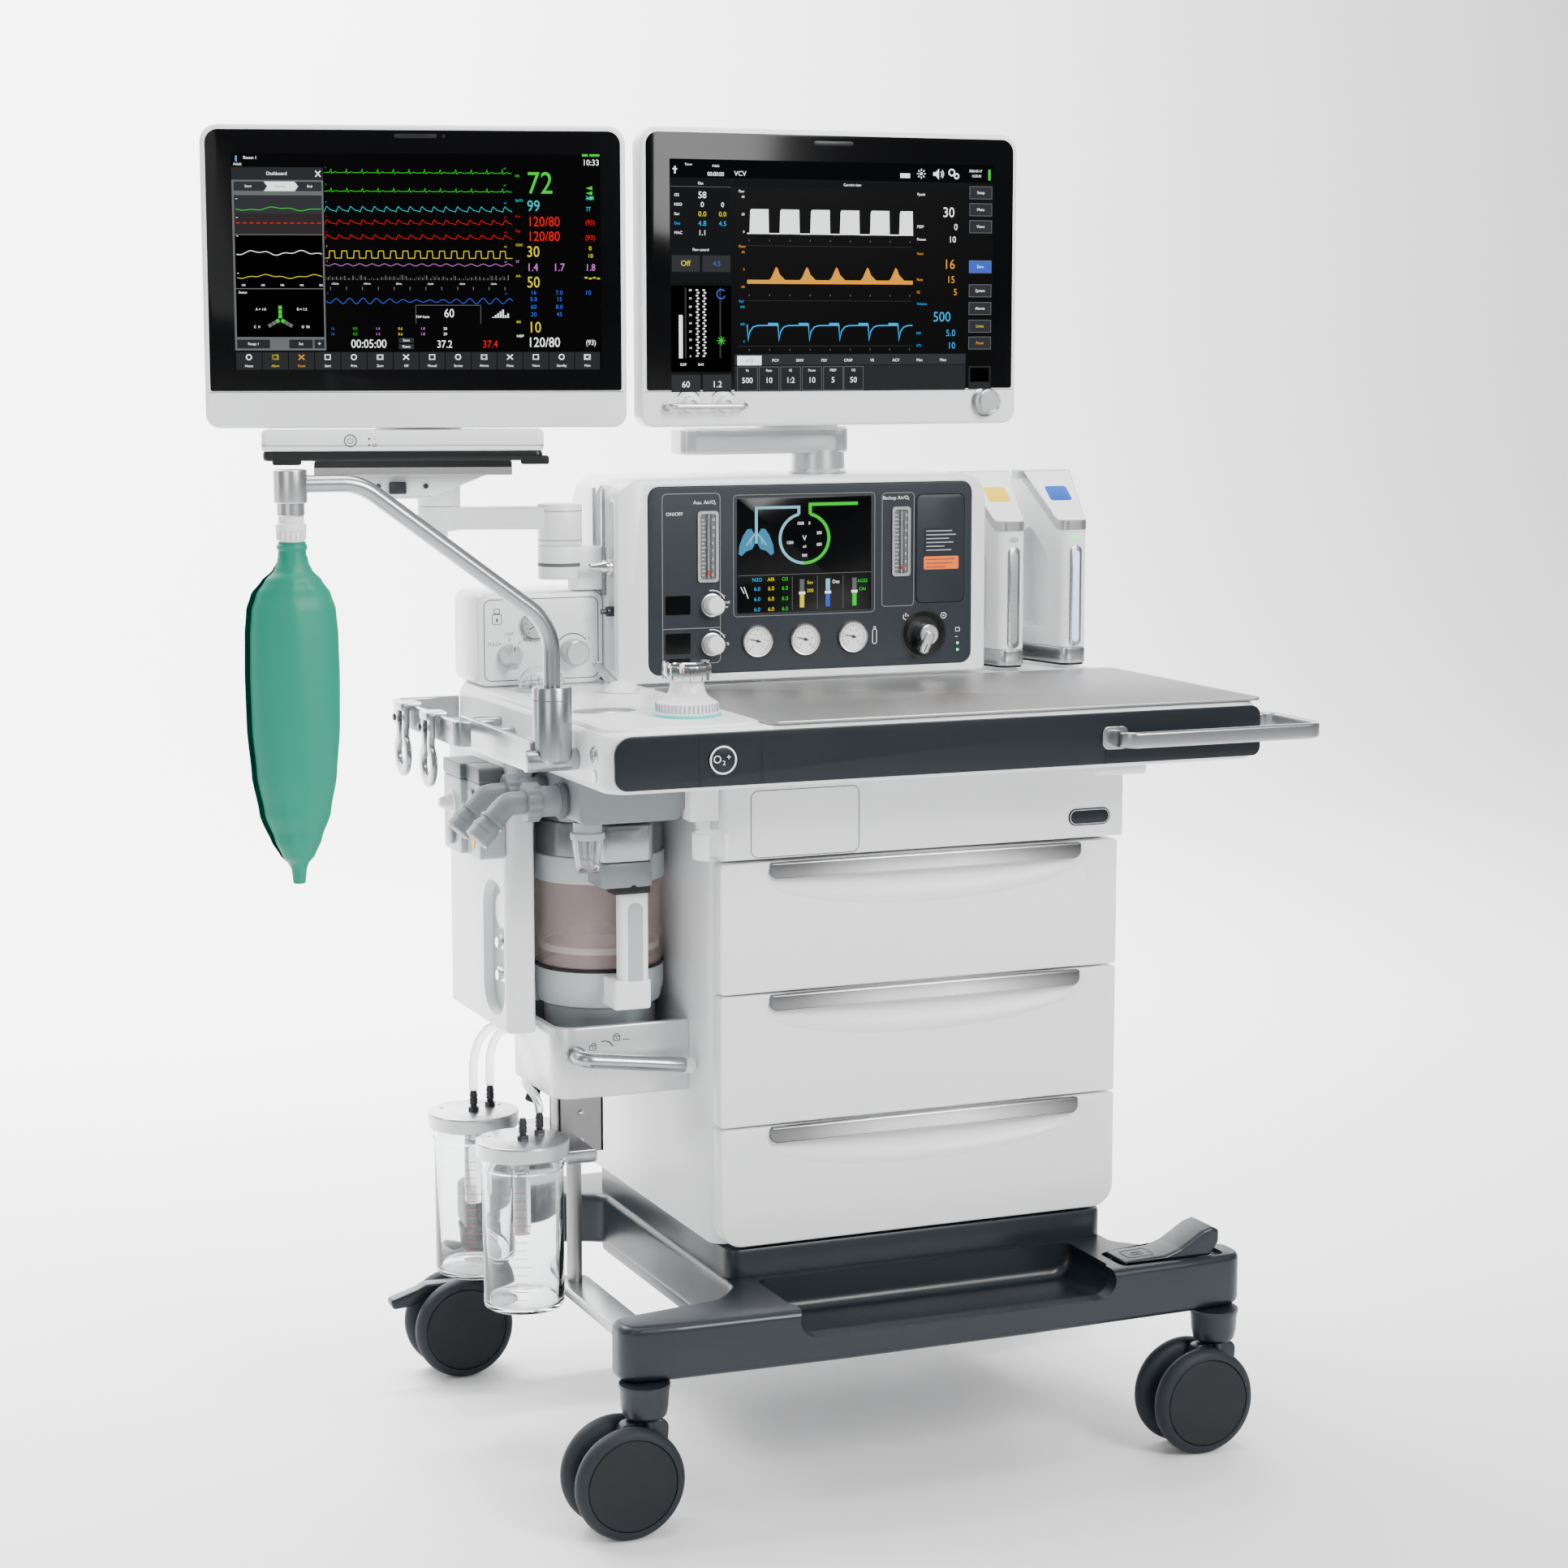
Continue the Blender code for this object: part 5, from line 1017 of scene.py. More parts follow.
put("gas_lamp", prism([(-10 + 5 * math.cos(a * math.pi / 16), 722 + 9 * math.sin(a * math.pi / 16)) for a in range(32)], "x", -431, -429.6), "label_yellow", "frame")

# ---------------------------------------------------------------- absorber
cx, cy = CAN_C
put("head_silver", join(lathe([(0, 703), (CAN_R, 703), (CAN_R, 738), (CAN_R - 1, 740.5), (CAN_R - 4, 742), (CAN_R - 4, 756.6), (0, 756.6)], (cx, cy), "z", 72)), "silver_paint", "frame", "absorber_head")
put("head_band", lathe([(0, 672), (CAN_R + 1.4, 672), (CAN_R + 2, 673), (CAN_R + 2, 701.4), (CAN_R + 1, 702.6), (0, 702.6)], (cx, cy), "z", 72), "block_pale", "frame")
put("clamp_top", box(-316, -254, -122, cy - 50, 704, 746, 9, "z", 4, 3), "silver_paint", "frame")
put("clamp_low", box(-315, -255, -121, cy - 50, 675, 703.4, 8, "z", 4, 2), "block_grey", "frame")
put("clamp_latch", join(box(-302, -258, -120.5, -92, 667.5, 676, 3, "z", 3, 1), cyl((-279, 674), 4, -121, -118, "y", 24)), "black_plastic", "frame")
r = CAN_R - 1.5
put("canister_wall", lathe([(r - 2.4, 671.4), (r, 671.4), (r, 574.4), (r - 2.4, 574.4)], (cx, cy), "z", 80), "clear_pink", "absorber", "absorber_canister")
put("canister_disc", join(lathe([(0, 592), (r - 6, 592), (r - 6, 594), (50, 595), (50, 596), (0, 596)], (cx, cy), "z", 72), lathe([(34, 596), (40, 596), (40, 606), (37, 608), (34, 606)], (cx, cy), "z", 48)), "granules", "absorber")
put("canister_grid", lathe([(0, 596.2), (33, 596.2), (33, 598), (0, 598.6)], (cx, cy), "z", 56), "block_dark", "absorber")
put("canister_disc_ring", lathe([(r - 8, 590), (r - 3.4, 590), (r - 3.4, 597), (r - 8, 597)], (cx, cy), "z", 72), "block_pale", "absorber")
put("canister_gasket", lathe([(CAN_R - 9, 570.4), (CAN_R + 0.4, 570.4), (CAN_R + 0.6, 572.2), (CAN_R + 0.2, 574), (CAN_R - 9, 574)], (cx, cy), "z", 72), "black_plastic", "absorber")
put("canister_base_cup", join(lathe([(0, 528), (CAN_R - 8, 528), (CAN_R - 4, 530), (CAN_R - 0.6, 545), (CAN_R, 549), (CAN_R, 570), (0, 570)], (cx, cy), "z", 72)), "block_pale", "absorber", "absorber_base")
put("canister_foot", lathe([(0, 486), (CAN_R - 11, 486), (CAN_R - 10, 487), (CAN_R - 10, 527), (0, 527)], (cx, cy), "z", 72), "block_grey", "absorber")
put("canister_handle", join(box(-291, -257, -112, -90, 540, 671, 7, "z", 4, 2), box(-299, -255, -113, cy - 50, 534, 568, 5, "z", 3, 3)), "white_shell", "absorber")
put("canister_handle_groove", box(-283, -265, -112.5, -111, 552, 656, 8, "y", 4, 0.4), "block_pale", "absorber")
put("tray_shell", absorber_tray(), "pearl", "frame", "absorber_tray", sharp=30)
put("tray_signs", join(padlock(-317, 489, 0.85, -86, True), padlock(-288, 498, 0.85, -86), arc_strip(-303, 484, 11, 1.1, 20, 110, -86), box(-333, -326, -86.3, -85.8, 486.6, 487.4), box(-281, -272, -86.3, -85.8, 494.6, 495.4)), "ink_black", "frame")
put("lock_rod", join(tube(arc_path([(-338, -86.5, 482), (-338, -112, 481), (-214, -112, 465)], 16, 8), 8.5, 32), tube([Vector((-338, -86.6, 482)), Vector((-338, -90, 482))], 11, 32)), "silver_paint", "lock_handle", "tray_lock_handle", sharp=40)
put("lock_cap", tube([Vector((-216, -112, 465.3)), Vector((-212, -112, 464.8)), Vector((-206.4, -112, 464.1))], 9.4, 32), "white_shell", "lock_handle")

# ---------------------------------------------------------------- rails and hooks
put("rail_bar", join(box(-440, -432, -246, 8, 828, 862, 4, "x", 3, 1.5), cyl((POST[1], 841), 12, -446, -388.5, "x", 40, 1.5), cyl((-30, 845), 7, -436, -388.5, "x", 32)), "silver_paint", "frame", "side_rail")
put("arm_post", join(lathe([(0, 838), (16, 838), (20.4, 842), (21, 846), (21, 917), (20, 919), (0, 919)], POST, "z", 56)), "silver_paint", "frame")
put("arm_post_line", lathe([(20, 905), (21.25, 905), (21.25, 906), (20, 906)], POST, "z", 56), "seam_grey", "frame")
put("loop_rail", hose_rail(), "silver_paint", "frame", "hose_rail")


def look_hook(y):
    path = [Vector((-478, y + 13, 866)), Vector((-478, y + 13, 846)), Vector((-478, y + 10, 834))]
    path += [Vector((-478, y + 20 * math.sin(a), 810 + 20 * math.cos(a))) for a in [math.radians(35 + 290 * k / 36) for k in range(37)]]
    path += [Vector((-478, y - 10, 834)), Vector((-478, y - 13, 846)), Vector((-478, y - 13, 866))]
    return join(sweep(path, rounded([(-3.3, -6.4), (3.3, -6.4), (3.3, 6.4), (-3.3, 6.4)], 2.4, 3)), box(-484, -458, y - 15.3, y + 15.3, 860, 869, 3, "z", 3, 1.5))


for tag, y in (("rear", 103), ("front", 2)):
    put("hose_clip_" + tag, look_hook(y), "silver_paint", "frame", sharp=40)
    put("hose_clip_cap_" + tag, join(cyl((y - 9, 851), 4, -487, -484, "x", 24, 0.6), cyl((y + 9, 851), 4, -487, -484, "x", 24, 0.6)), "dark_metal", "frame")

# ---------------------------------------------------------------- bag arm and bag
x, y = POST
put("arm_tube", tube(arc_path([(x, y, 919.4), (x, y, 985), (-620, y, 1137), (HEAD_X + 10, y, 1137)], 60, 14), 9, 40), "silver_paint", "bag_arm_body", "bag_arm", sharp=45)
put("arm_head", join(cyl((HEAD_X, y), 17, 1118, 1152, "z", 56, 1.6, 2), lathe([(0, 1104), (12.5, 1104), (14, 1106), (14, 1119), (0, 1119)], (HEAD_X, y), "z", 48)), "silver", "bag_arm_body")
put("bag_adapter", lathe([(0, 1078), (12.6, 1078), (13.5, 1090), (15.5, 1091), (15.7, 1093), (15.5, 1096.6), (13, 1098), (13, 1105), (0, 1105)], (HEAD_X, y), "z", 48), "dial_white", "bag_arm_body")
put("bag_adapter_ribs", join(*[turn(box(HEAD_X + 13.4, HEAD_X + 15.2, y - 0.7, y + 0.7, 1081, 1090.6, 0.3, "z", 2), 2 * math.pi * k / 18, (HEAD_X, y, 0)) for k in range(18)]), "dial_white", "bag_arm_body")


def bag_profile(z):
    """Half width of the bag at a height."""
    pts = [(728, 6.5), (742, 8), (748, 10), (756, 17), (772, 24), (800, 34), (840, 41), (890, 45), (940, 45.8), (985, 45), (1010, 43), (1026, 38), (1040, 29), (1050, 19.5), (1058, 16), (1064, 15)]
    for (z0, a), (z1, b) in zip(pts, pts[1:]):
        if z <= z1:
            t = (z - z0) / (z1 - z0)
            t = t * t * (3 - 2 * t) * 0.5 + t * 0.5
            return a + (b - a) * t
    return pts[-1][1]


def bag_shell(front):
    """One panel of the bag: front and back panels meet at ridges, with a pleat tucked in between."""
    bm = bmesh.new()
    rows = []
    random.seed(4)
    n = 40
    for k in range(118):
        z = 728 + (1064 - 728) * k / 117
        w = bag_profile(z)
        flat = min(1.0, max(0.0, (z - 742) / 40)) * min(1.0, max(0.0, (1060 - z) / 34))
        row = []
        for j in range(n + 1):
            t = -1 + 2 * j / n
            if front:
                px = w * math.sin(t * math.pi / 2)
                d = w * (1 - flat * 0.38) * math.cos(t * math.pi / 2) ** (1 + 0.25 * flat)
                crease = 0.9 * flat * math.sin(t * 9 + z * 0.021) * math.cos(t * math.pi / 2) * (0.35 + abs(z - 905) / 160)
                crease += 0.5 * flat * math.sin(t * 17 + 1.7 + z * 0.013) * math.cos(t * math.pi / 2) * (abs(z - 905) / 150) ** 2
                py = -(d + crease) - 0.4
            else:
                # back panel with a tucked pleat at each side
                px = w * math.sin(t * math.pi / 2)
                tuck = flat * 0.16 * w * math.exp(-((abs(t) - 0.80) / 0.09) ** 2)
                px -= math.copysign(tuck, px) * 1.0
                px -= 5.5 * flat
                py = w * (1 - flat * 0.30) * math.cos(t * math.pi / 2) ** (1 - 0.25 * flat)
            row.append(Vector((px, py, z)))
        rows.append(row)
    m = Matrix.Translation((HEAD_X + 1, POST[1], 0)) @ Matrix.Rotation(math.radians(-8), 4, "Z")
    vs = [[bm.verts.new(m @ p) for p in row] for row in rows]
    for a, b in zip(vs, vs[1:]):
        for p in range(n):
            f = (a[p], a[p + 1], b[p + 1], b[p])
            bm.faces.new(f if front else f[::-1])
    return bm


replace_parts(put("bag_front", bag_shell(True), "bag_green", "bag_arm_body", sharp=60), "breathing_bag")
# the back panel gets the darker copy of the bag green: painted shade
put("bag_back", bag_shell(False), "bag_green_painted_shade", "bag_arm_body", sharp=60)
put("bag_neck", lathe([(12, 1060), (15.4, 1060), (14.6, 1064), (14.2, 1070), (15.2, 1071.5), (15.8, 1073.4), (15.2, 1075.6), (14, 1076.4), (14, 1079), (12, 1079)], (HEAD_X + 0.5, POST[1]), "z", 48), "bag_green", "bag_arm_body")
put("bag_tail", lathe([(0, 727), (5.6, 727), (6.6, 728.5), (6.6, 731), (5.8, 733), (5.8, 742), (8.5, 749), (0, 752)], (HEAD_X + 1, POST[1]), "z", 40), "bag_green", "bag_arm_body")

# ---------------------------------------------------------------- suction stand, jars and hoses
put("stand_channel", join(box(-318, -262, 34, 38, 336, 429.6, 1, "z", 2), box(-318, -314, 34, 66, 336, 429.6, 1, "z", 2), box(-266, -262, 34, 66, 336, 429.6, 1, "z", 2), box(-318, -262, 60, 66, 336, 429.6, 1, "z", 2)), "stainless", "frame", "suction_stand")
put("stand_screws", join(*[cyl((-290, zz), 3.4, 31.6, 35, "y", 24, 0.8) for zz in (350, 384, 416)]), "chrome", "frame")
put("stand_pole", cyl((-296, 44), 9, 180, 338, "z", 40), "stainless", "frame")
put("stand_foot", prism(rounded([(-316, -236), (-276, -236), (-276, 66), (-316, 66)], [6, 6, 16, 16], 4), "z", 168, 180, 2.5, 2), "silver_paint", "frame")
put("stand_bar", join(box(-338, -300, -52, 116, 346, 361.6, 5, "y", 3, 1.5)), "silver_paint", "frame")
for tag, (jx, jy) in zip(("front", "rear"), JARS):
    z0, z1 = JAR_Z
    R = JAR_R
    put("jar_glass_" + tag, lathe([(0, z0 + 1.5), (R - 8, z0 + 0.6), (R - 4, z0), (R - 1.2, z0 + 2), (R, z0 + 7), (R, z1 - 14), (R + 1.4, z1 - 12), (R + 1.4, z1 - 3), (R, z1), (R - 2.8, z1), (R - 2.8, z0 + 9), (R - 5, z0 + 5.4), (0, z0 + 4.6)], (jx, jy), "z", 72), "clear", "frame", "suction_jar_" + tag)
    marks = []
    for k in range(14):
        zz = z0 + 18 + 9.6 * k
        wide = 0.30 if k % 5 == 4 else 0.15
        arc = bmesh.new()
        lo = []
        for q in range(9):
            a = math.radians(-112) + wide * (q / 8 - 0.5) * 2
            lo.append([arc.verts.new((jx + (R + 0.25) * math.cos(a), jy + (R + 0.25) * math.sin(a), zz + h)) for h in (0, 0.7)])
        for p, q2 in zip(lo, lo[1:]):
            arc.faces.new((p[0], q2[0], q2[1], p[1]))
        marks.append(arc)
    put("jar_marks_" + tag, join(*marks), "red_mark", "frame")
    put("jar_float_" + tag, join(box(jx - 9, jx + 9, jy - 4, jy + 14, z1 - 96, z1 - 22, 5, "z", 3, 1), cyl((jx, jy + 5), 5, z1 - 24, z1, "z", 24)), "clear_tube", "frame")
    zc = z1 + GAP
    put("jar_cap_" + tag, join(lathe([(0, zc + 0.2), (LID_R - 1.4, zc + 0.2), (LID_R, zc + 1.6), (LID_R, zc + 16), (LID_R - 1.2, zc + 17.8), (LID_R - 3, zc + 18.5), (0, zc + 18.5)], (jx, jy), "z", 80)), "silver", "frame", "jar_lid_" + tag)
    put("jar_cap_screws_" + tag, join(*[cyl((jx + 40 * math.cos(a), jy + 40 * math.sin(a)), 2.2, zc + 18, zc + 19.4, "z", 20, 0.4) for a in (0.4, 2.5, 4.6)]), "chrome", "frame")
    barbs = []
    for dx, dy in ((-2, -8), (24, 10)):
        bx, by = jx + dx, jy + dy
        barbs.append(prism([(bx + 6.6 * math.cos(k * math.pi / 3), by + 6.6 * math.sin(k * math.pi / 3)) for k in range(6)], "z", zc + 18, zc + 24, 0.6, 1))
        barbs.append(lathe([(0, zc + 23), (4, zc + 23), (4, zc + 27), (5, zc + 28), (4.4, zc + 31), (5, zc + 32), (4.2, zc + 36), (5, zc + 37), (3.5, zc + 44), (0, zc + 44)], (bx, by), "z", 28))
    put("jar_barbs_" + tag, join(*barbs), "dark_metal", "frame")

put("hose_drop_end", join(tube(arc_path([(-330, 70, 440), (-332, 64, 428), (-336, 58, 418), (-346, 50, 400)], 10, 6), 7.5, 28)), "rubber_black", "frame")


def hose_curve(name, node_name, pts, r):
    """A clear suction hose on one smooth curve (Catmull-Rom) through its route."""
    pts = [Vector(p) for p in pts]
    ends = [pts[0] * 2 - pts[1]] + pts + [pts[-1] * 2 - pts[-2]]
    out = []
    for a, b, c, d in zip(ends, ends[1:], ends[2:], ends[3:]):
        n = max(2, round((c - b).length / 10))
        for k in range(n):
            t = k / n
            out.append(0.5 * (2 * b + (c - a) * t + (2 * a - 5 * b + 4 * c - d) * t * t + (3 * b - a - 3 * c + d) * t ** 3))
    out.append(pts[-1])
    out = [(p + Vector((OFF_X, OFF_Y, 0))) * 0.001 for p in out]
    cu = bpy.data.curves.new(name, "CURVE")
    cu.dimensions = "3D"
    sp = cu.splines.new("POLY")
    sp.points.add(len(out) - 1)
    for q, p in zip(sp.points, out):
        q.co = (*p, 1)
    cu.bevel_depth = r * 0.001
    cu.bevel_resolution = 8
    cu.use_fill_caps = True
    cu.materials.append(MATS["clear_tube"])
    ob = bpy.data.objects.new(name, cu)
    bpy.context.scene.collection.objects.link(ob)
    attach(ob, "frame")
    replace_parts(ob, node_name)
    return ob


hose_curve("clear_hose_rear_a", "suction_hose_rear_a", [(-400, 101, BARB_Z + GAP), (-400, 101, 420), (-398, 103, 446), (-386, 108, 470), (-362, 114, 481), (-334, 118, 474), (-306, 121, 456), (-276, 122, 443), (END_X - 16, 122, 440), (END_X, 122, 440)], 5)
hose_curve("clear_hose_rear_b", "suction_hose_rear_b", [(-374, 119, BARB_Z + GAP), (-374, 119, 420), (-372, 122, 444), (-361, 129, 463), (-338, 137, 470), (-312, 143, 463), (-286, 147, 449), (-264, 148, 441), (END_X - 16, 148, 440), (END_X, 148, 440)], 5)
hose_curve("clear_hose_front", "suction_hose_front", [(-364, -35, BARB_Z + GAP), (-364, -33, 414), (-363, -20, 421), (-360, 8, 423), (-354, 44, 422), (-343, 76, 420), (-322, 97, 418), (-294, 108, 417), (END_X - 20, 110, 416), (END_X, 110, 416)], 5)


# ---------------------------------------------------------------- flat drawing on a display
class Sheet:
    """Flat luminous drawing on an upright display. Positions are in design units, x to the right and y down from (u0, v0)."""

    def __init__(self, name, body, x0, z0, k, y, u0=0.0, v0=0.0, lay=None, kz=None):
        self.name, self.body, self.x0, self.z0, self.k, self.y, self.u0, self.v0, self.lay = name, body, x0, z0, k, y, u0, v0, lay
        self.kz = kz or k
        self.parts = {}

    def at(self, u, v, layer):
        return Vector((self.x0 + (u - self.u0) * self.k, self.y - 0.22 * layer, self.z0 - (v - self.v0) * self.kz))

    def add(self, color, bm):
        self.parts.setdefault(color, []).append(bm)

    def poly(self, pts, color, layer=1):
        bm = bmesh.new()
        bm.faces.new([bm.verts.new(self.at(u, v, layer)) for u, v in reversed(pts)])
        self.add(color, bm)

    def bar(self, u0, v0, u1, v1, color, layer=1):
        self.poly([(u0, v0), (u1, v0), (u1, v1), (u0, v1)], color, layer)

    def frame(self, u0, v0, u1, v1, w, color, layer=1):
        for a in ((u0, v0, u1, v0 + w), (u0, v1 - w, u1, v1), (u0, v0 + w, u0 + w, v1 - w), (u1 - w, v0 + w, u1, v1 - w)):
            self.bar(*a, color, layer)

    def line(self, pts, w, color, layer=2):
        """A polyline drawn as one ribbon of even width, mitred at its points."""
        bm = bmesh.new()
        pts = [Vector(p) for p in pts]
        rows = []
        for k, p in enumerate(pts):
            a = (p - pts[k - 1]).normalized() if k else (pts[1] - p).normalized()
            b = (pts[k + 1] - p).normalized() if k < len(pts) - 1 else a
            n1, n2 = Vector((-a.y, a.x)), Vector((-b.y, b.x))
            m = (n1 + n2)
            m = m.normalized() if m.length > 0.1 else n1
            s = w / 2 / max(0.5, m.dot(n1))
            rows.append([bm.verts.new(self.at(p.x + m.x * s * q, p.y + m.y * s * q, layer)) for q in (-1, 1)])
        for p, q in zip(rows, rows[1:]):
            bm.faces.new((p[0], p[1], q[1], q[0]))
        self.add(color, bm)

    def text(self, s, u, v, h, color, align="CENTER", layer=2, squeeze=1.0):
        p = self.at(u, v, layer)
        self.add(color, words(s, h * self.k, p.x, p.z, p.y, align, 0.0, squeeze))

    def finish(self):
        for color, shapes in self.parts.items():
            bm = join(*shapes)
            if self.lay:
                bm = self.lay(bm)
            bmesh.ops.recalc_face_normals(bm, faces=bm.faces[:])
            put("%s_%s" % (self.name, color), bm, "ui_" + color, self.body)


def monitor_shell(cx, y0):
    z0, z1, h = MON_Z, MON_Z + MON_H, MON_W / 2
    shell = prism(rounded([(cx - h, z0), (cx + h, z0), (cx + h, z1), (cx - h, z1)], [16, 16, 20, 20], 6), "y", y0, y0 + 30, 4.5, 3)
    back = box(cx - h + 40, cx + h - 40, y0 + 20, y0 + MON_T, z0 + 34, z1 - 34, 20, "y", 4, 6)
    vents = [box(cx - 120 + 12 * k, cx - 116 + 12 * k, y0 + MON_T - 2, y0 + MON_T + 4, z1 - 90, z1 - 60, 1.6, "y", 2) for k in range(21)]
    return cut(union(shell, back), *vents)


def glass_front(cx, y0):
    z0, z1, h = MON_Z, MON_Z + MON_H, MON_W / 2
    plate = rounded([(cx - h + 6, z0 + 42), (cx + h - 6, z0 + 42), (cx + h - 6, z1 - 6), (cx - h + 6, z1 - 6)], [3, 3, 15, 15], 6)
    return prism(plate, "y", y0 - 0.5, y0 + 2, 0.3, 1)


# right monitor
cx, y0 = MON_R
put("right_shell", monitor_shell(cx, y0), "white_shell", "right_head", "right_monitor", sharp=30)
put("right_glass", glass_front(cx, y0), "black_glass", "right_head")
put("right_display", box(-175, 236, y0 - 0.62, y0, 1249, 1485), "display", "right_head")
put("right_lug", union(cyl(TILT[1:], 13.5, -10, 68, "x", 40, 1.2), box(-9, 67, y0 + MON_T - 4, TILT[1], TILT[2] - 9, TILT[2] + 9, 2, "x", 2)), "silver_paint", "right_head")
put("right_light_slot", box(cx - 25, cx + 25, y0 - 0.7, y0, 1503.5, 1508.5, 2.4, "y", 4, 0.2), "black_plastic", "right_head")
put("right_chin_line", box(cx - MON_W / 2 + 4, cx + MON_W / 2 - 4, y0 - 0.15, y0 + 1, 1221.2, 1222.0), "seam_grey", "right_head")
ports = []
for px in (-153, -110):
    ports += [lathe([(0, 31), (9, 31), (9, 16), (7.6, 14.4), (5.4, 14.2), (4.6, 18), (0, 18)][::-1], (px, 1207), "y", 40), lathe([(9.4, 31), (14, 31), (14, 27.5), (12.6, 26.6), (9.4, 26.6)][::-1], (px, 1207), "y", 40)]
put("chin_ports", join(*ports), "dial_white", "right_head", sharp=40)
put("chin_guard", join(tube(arc_path([(-180, 31, 1205), (-180, 12.5, 1205), (-86, 12.5, 1205), (-86, 31, 1205)], 8, 6), 3.4, 24), cyl((-180, 1205), 5.4, 27.5, 30.5, "y", 24), cyl((-86, 1205), 5.4, 27.5, 30.5, "y", 24)), "silver", "right_head", sharp=45)
put("chin_marks", join(arc_strip(-153, 1207, 16.4, 1.3, 35, 145, y0 - 0.1), arc_strip(-110, 1207, 16.4, 1.3, 35, 145, y0 - 0.1)), "ink_black", "right_head")
put("menu_knob", join(lathe([(0, y0 - 12.6), (11.4, y0 - 12.6), (12.2, y0 - 13.4), (13.8, y0 - 14.4), (15, y0 - 13), (15, y0 - 0.6), (0, y0 - 0.6)], (227, 1207), "y", 64)), "silver", "knob_monitor", "monitor_knob", sharp=30)
put("menu_knob_ring", lathe([(15.4, y0 + 0.4), (18, y0 + 0.4), (18, y0 - 0.7), (15.4, y0 - 0.7)][::-1], (227, 1207), "y", 64), "brushed_strip", "right_head")
put("arm_right", union(lathe([(0, HOUSING_Z[1] + GAP), (35, HOUSING_Z[1] + GAP), (35, 1124), (33, 1127), (32, 1150), (0, 1150)], NECK, "z", 64), prism(rounded([(-134, NECK[1] - 26), (-118, NECK[1] - 30), (NECK[0] + 36, NECK[1] - 30), (NECK[0] + 36, NECK[1] + 30), (-134, NECK[1] + 30)], [10, 10, 28, 28, 22], 6), "z", 1146, 1177, 3.5, 3), box(-20, 78, NECK[1] + 2, NECK[1] + 24, 1170, 1318, 8, "y", 4, 2)), "silver_pale", "right_arm", "right_monitor_arm", sharp=30)
put("arm_right_groove", lathe([(31.8, 1138.6), (32.4, 1138.6), (32.4, 1139.6), (31.8, 1139.6)], NECK, "z", 64), "seam_grey", "right_arm")

s = Sheet("rd", "right_head", -175.0, 1485.0, 411 / 394, y0 - 0.62, 828, 197)
s.bar(828, 197, 1222, 217, "ink", 0.3)
s.bar(829, 217, 900, 287, "panel", 0.6)
s.bar(829, 290, 900, 331, "panel", 0.6)
s.bar(829, 334, 900, 428, "black", 0.6)
s.text("00:00:00", 882, 213, 4.6, "white", squeeze=0.9)
s.text("VCV", 911, 212, 5.4, "white")
s.text("Timer", 850, 203, 2.6, "white")
s.text("Adult", 882, 204, 2.8, "white")
s.line([(834, 205), (834, 213)], 1.8, "white")
s.line([(831.4, 208), (836.6, 208)], 1.4, "white")
s.bar(1105, 208, 1117, 213, "white")
for k in range(8):
    a = math.pi * k / 4
    s.line([(1131 + 3.2 * math.cos(a), 208 + 3.2 * math.sin(a)), (1131 + 5.4 * math.cos(a), 208 + 5.4 * math.sin(a))], 1.1, "white")
s.bar(1129.6, 206.6, 1132.4, 209.4, "white")
s.poly([(1146, 206), (1149, 206), (1153, 202), (1153, 214), (1149, 210), (1146, 210)], "white")
for r in (3.4, 5.6):
    s.line([(1153 + r * math.cos(math.radians(a)), 208 + r * math.sin(math.radians(a))) for a in range(-50, 51, 10)], 1.0, "white")
for gx, gy, r in ((1169, 206, 3.4), (1175, 210, 2.6)):
    s.line([(gx + r * math.cos(2 * math.pi * k / 20), gy + r * math.sin(2 * math.pi * k / 20)) for k in range(21)], 1.6, "white")
s.text("2020-05-17", 1199, 204, 2.8, "white", squeeze=0.9)
s.text("15:20:30", 1200, 209.6, 2.8, "white", squeeze=0.9)
s.bar(1215, 202, 1218, 214, "green")
# left column
for row, (lab, v1, v2, c) in enumerate((("O2", "58", "", "white"), ("N2O", "0", "0", "white"), ("Sev", "0.0", "0.0", "yellow"), ("Des", "4.8", "4.5", "sky"), ("MAC", "1.1", "", "white"))):
    yy = 236 + 10.2 * row
    s.text(lab, 833, yy, 3.2, "sky" if c == "sky" else "white", "LEFT")
    s.text(v1, 866, yy, 5.8 if row else 7.4, c if row else "white")
    if v2:
        s.text(v2, 890, yy, 5.4, c)
s.text("Gas", 864, 223, 3.0, "white")
s.bar(829, 226.5, 900, 227.0, "grey")
s.bar(830, 301, 863, 319, "dim", 1)
s.bar(866, 301, 899, 319, "dim", 1)
s.text("Off", 846, 310, 6.2, "yellow")
s.text("4.5", 883, 310, 5.4, "blue")
s.text("Flow control", 864, 295, 3.0, "white", squeeze=0.9)
for bx, top_, c in ((838, 366, "white"), (845, 336, "dim"), (858, 338, "hatch"), (866, 338, "hatch"), (886, 336, "dim")):
    if c == "hatch":
        for k in range(25):
            s.bar(bx + (k % 2) * 1.5, 338 + 3.0 * k, bx + 2.8 + (k % 2) * 1.5, 339.5 + 3.0 * k, "white")
    else:
        s.bar(bx, top_, bx + (4.4 if c == "white" else 2.0), 413, c)
for k in range(9):
    s.text("%d" % (80 - 10 * k), 851.5, 339 + 9 * k, 2.3, "white")
s.line([(888 + 5 * math.cos(a), 343 + 5 * math.sin(a)) for a in [math.radians(20 * q) for q in range(1, 17)]], 1.2, "blue")
for k in range(4):
    a = math.pi * k / 4
    s.line([(888 - 5 * math.cos(a), 394 - 5 * math.sin(a)), (888 + 5 * math.cos(a), 394 + 5 * math.sin(a))], 0.8, "green")
s.text("0.59", 843, 420, 3.0, "white")
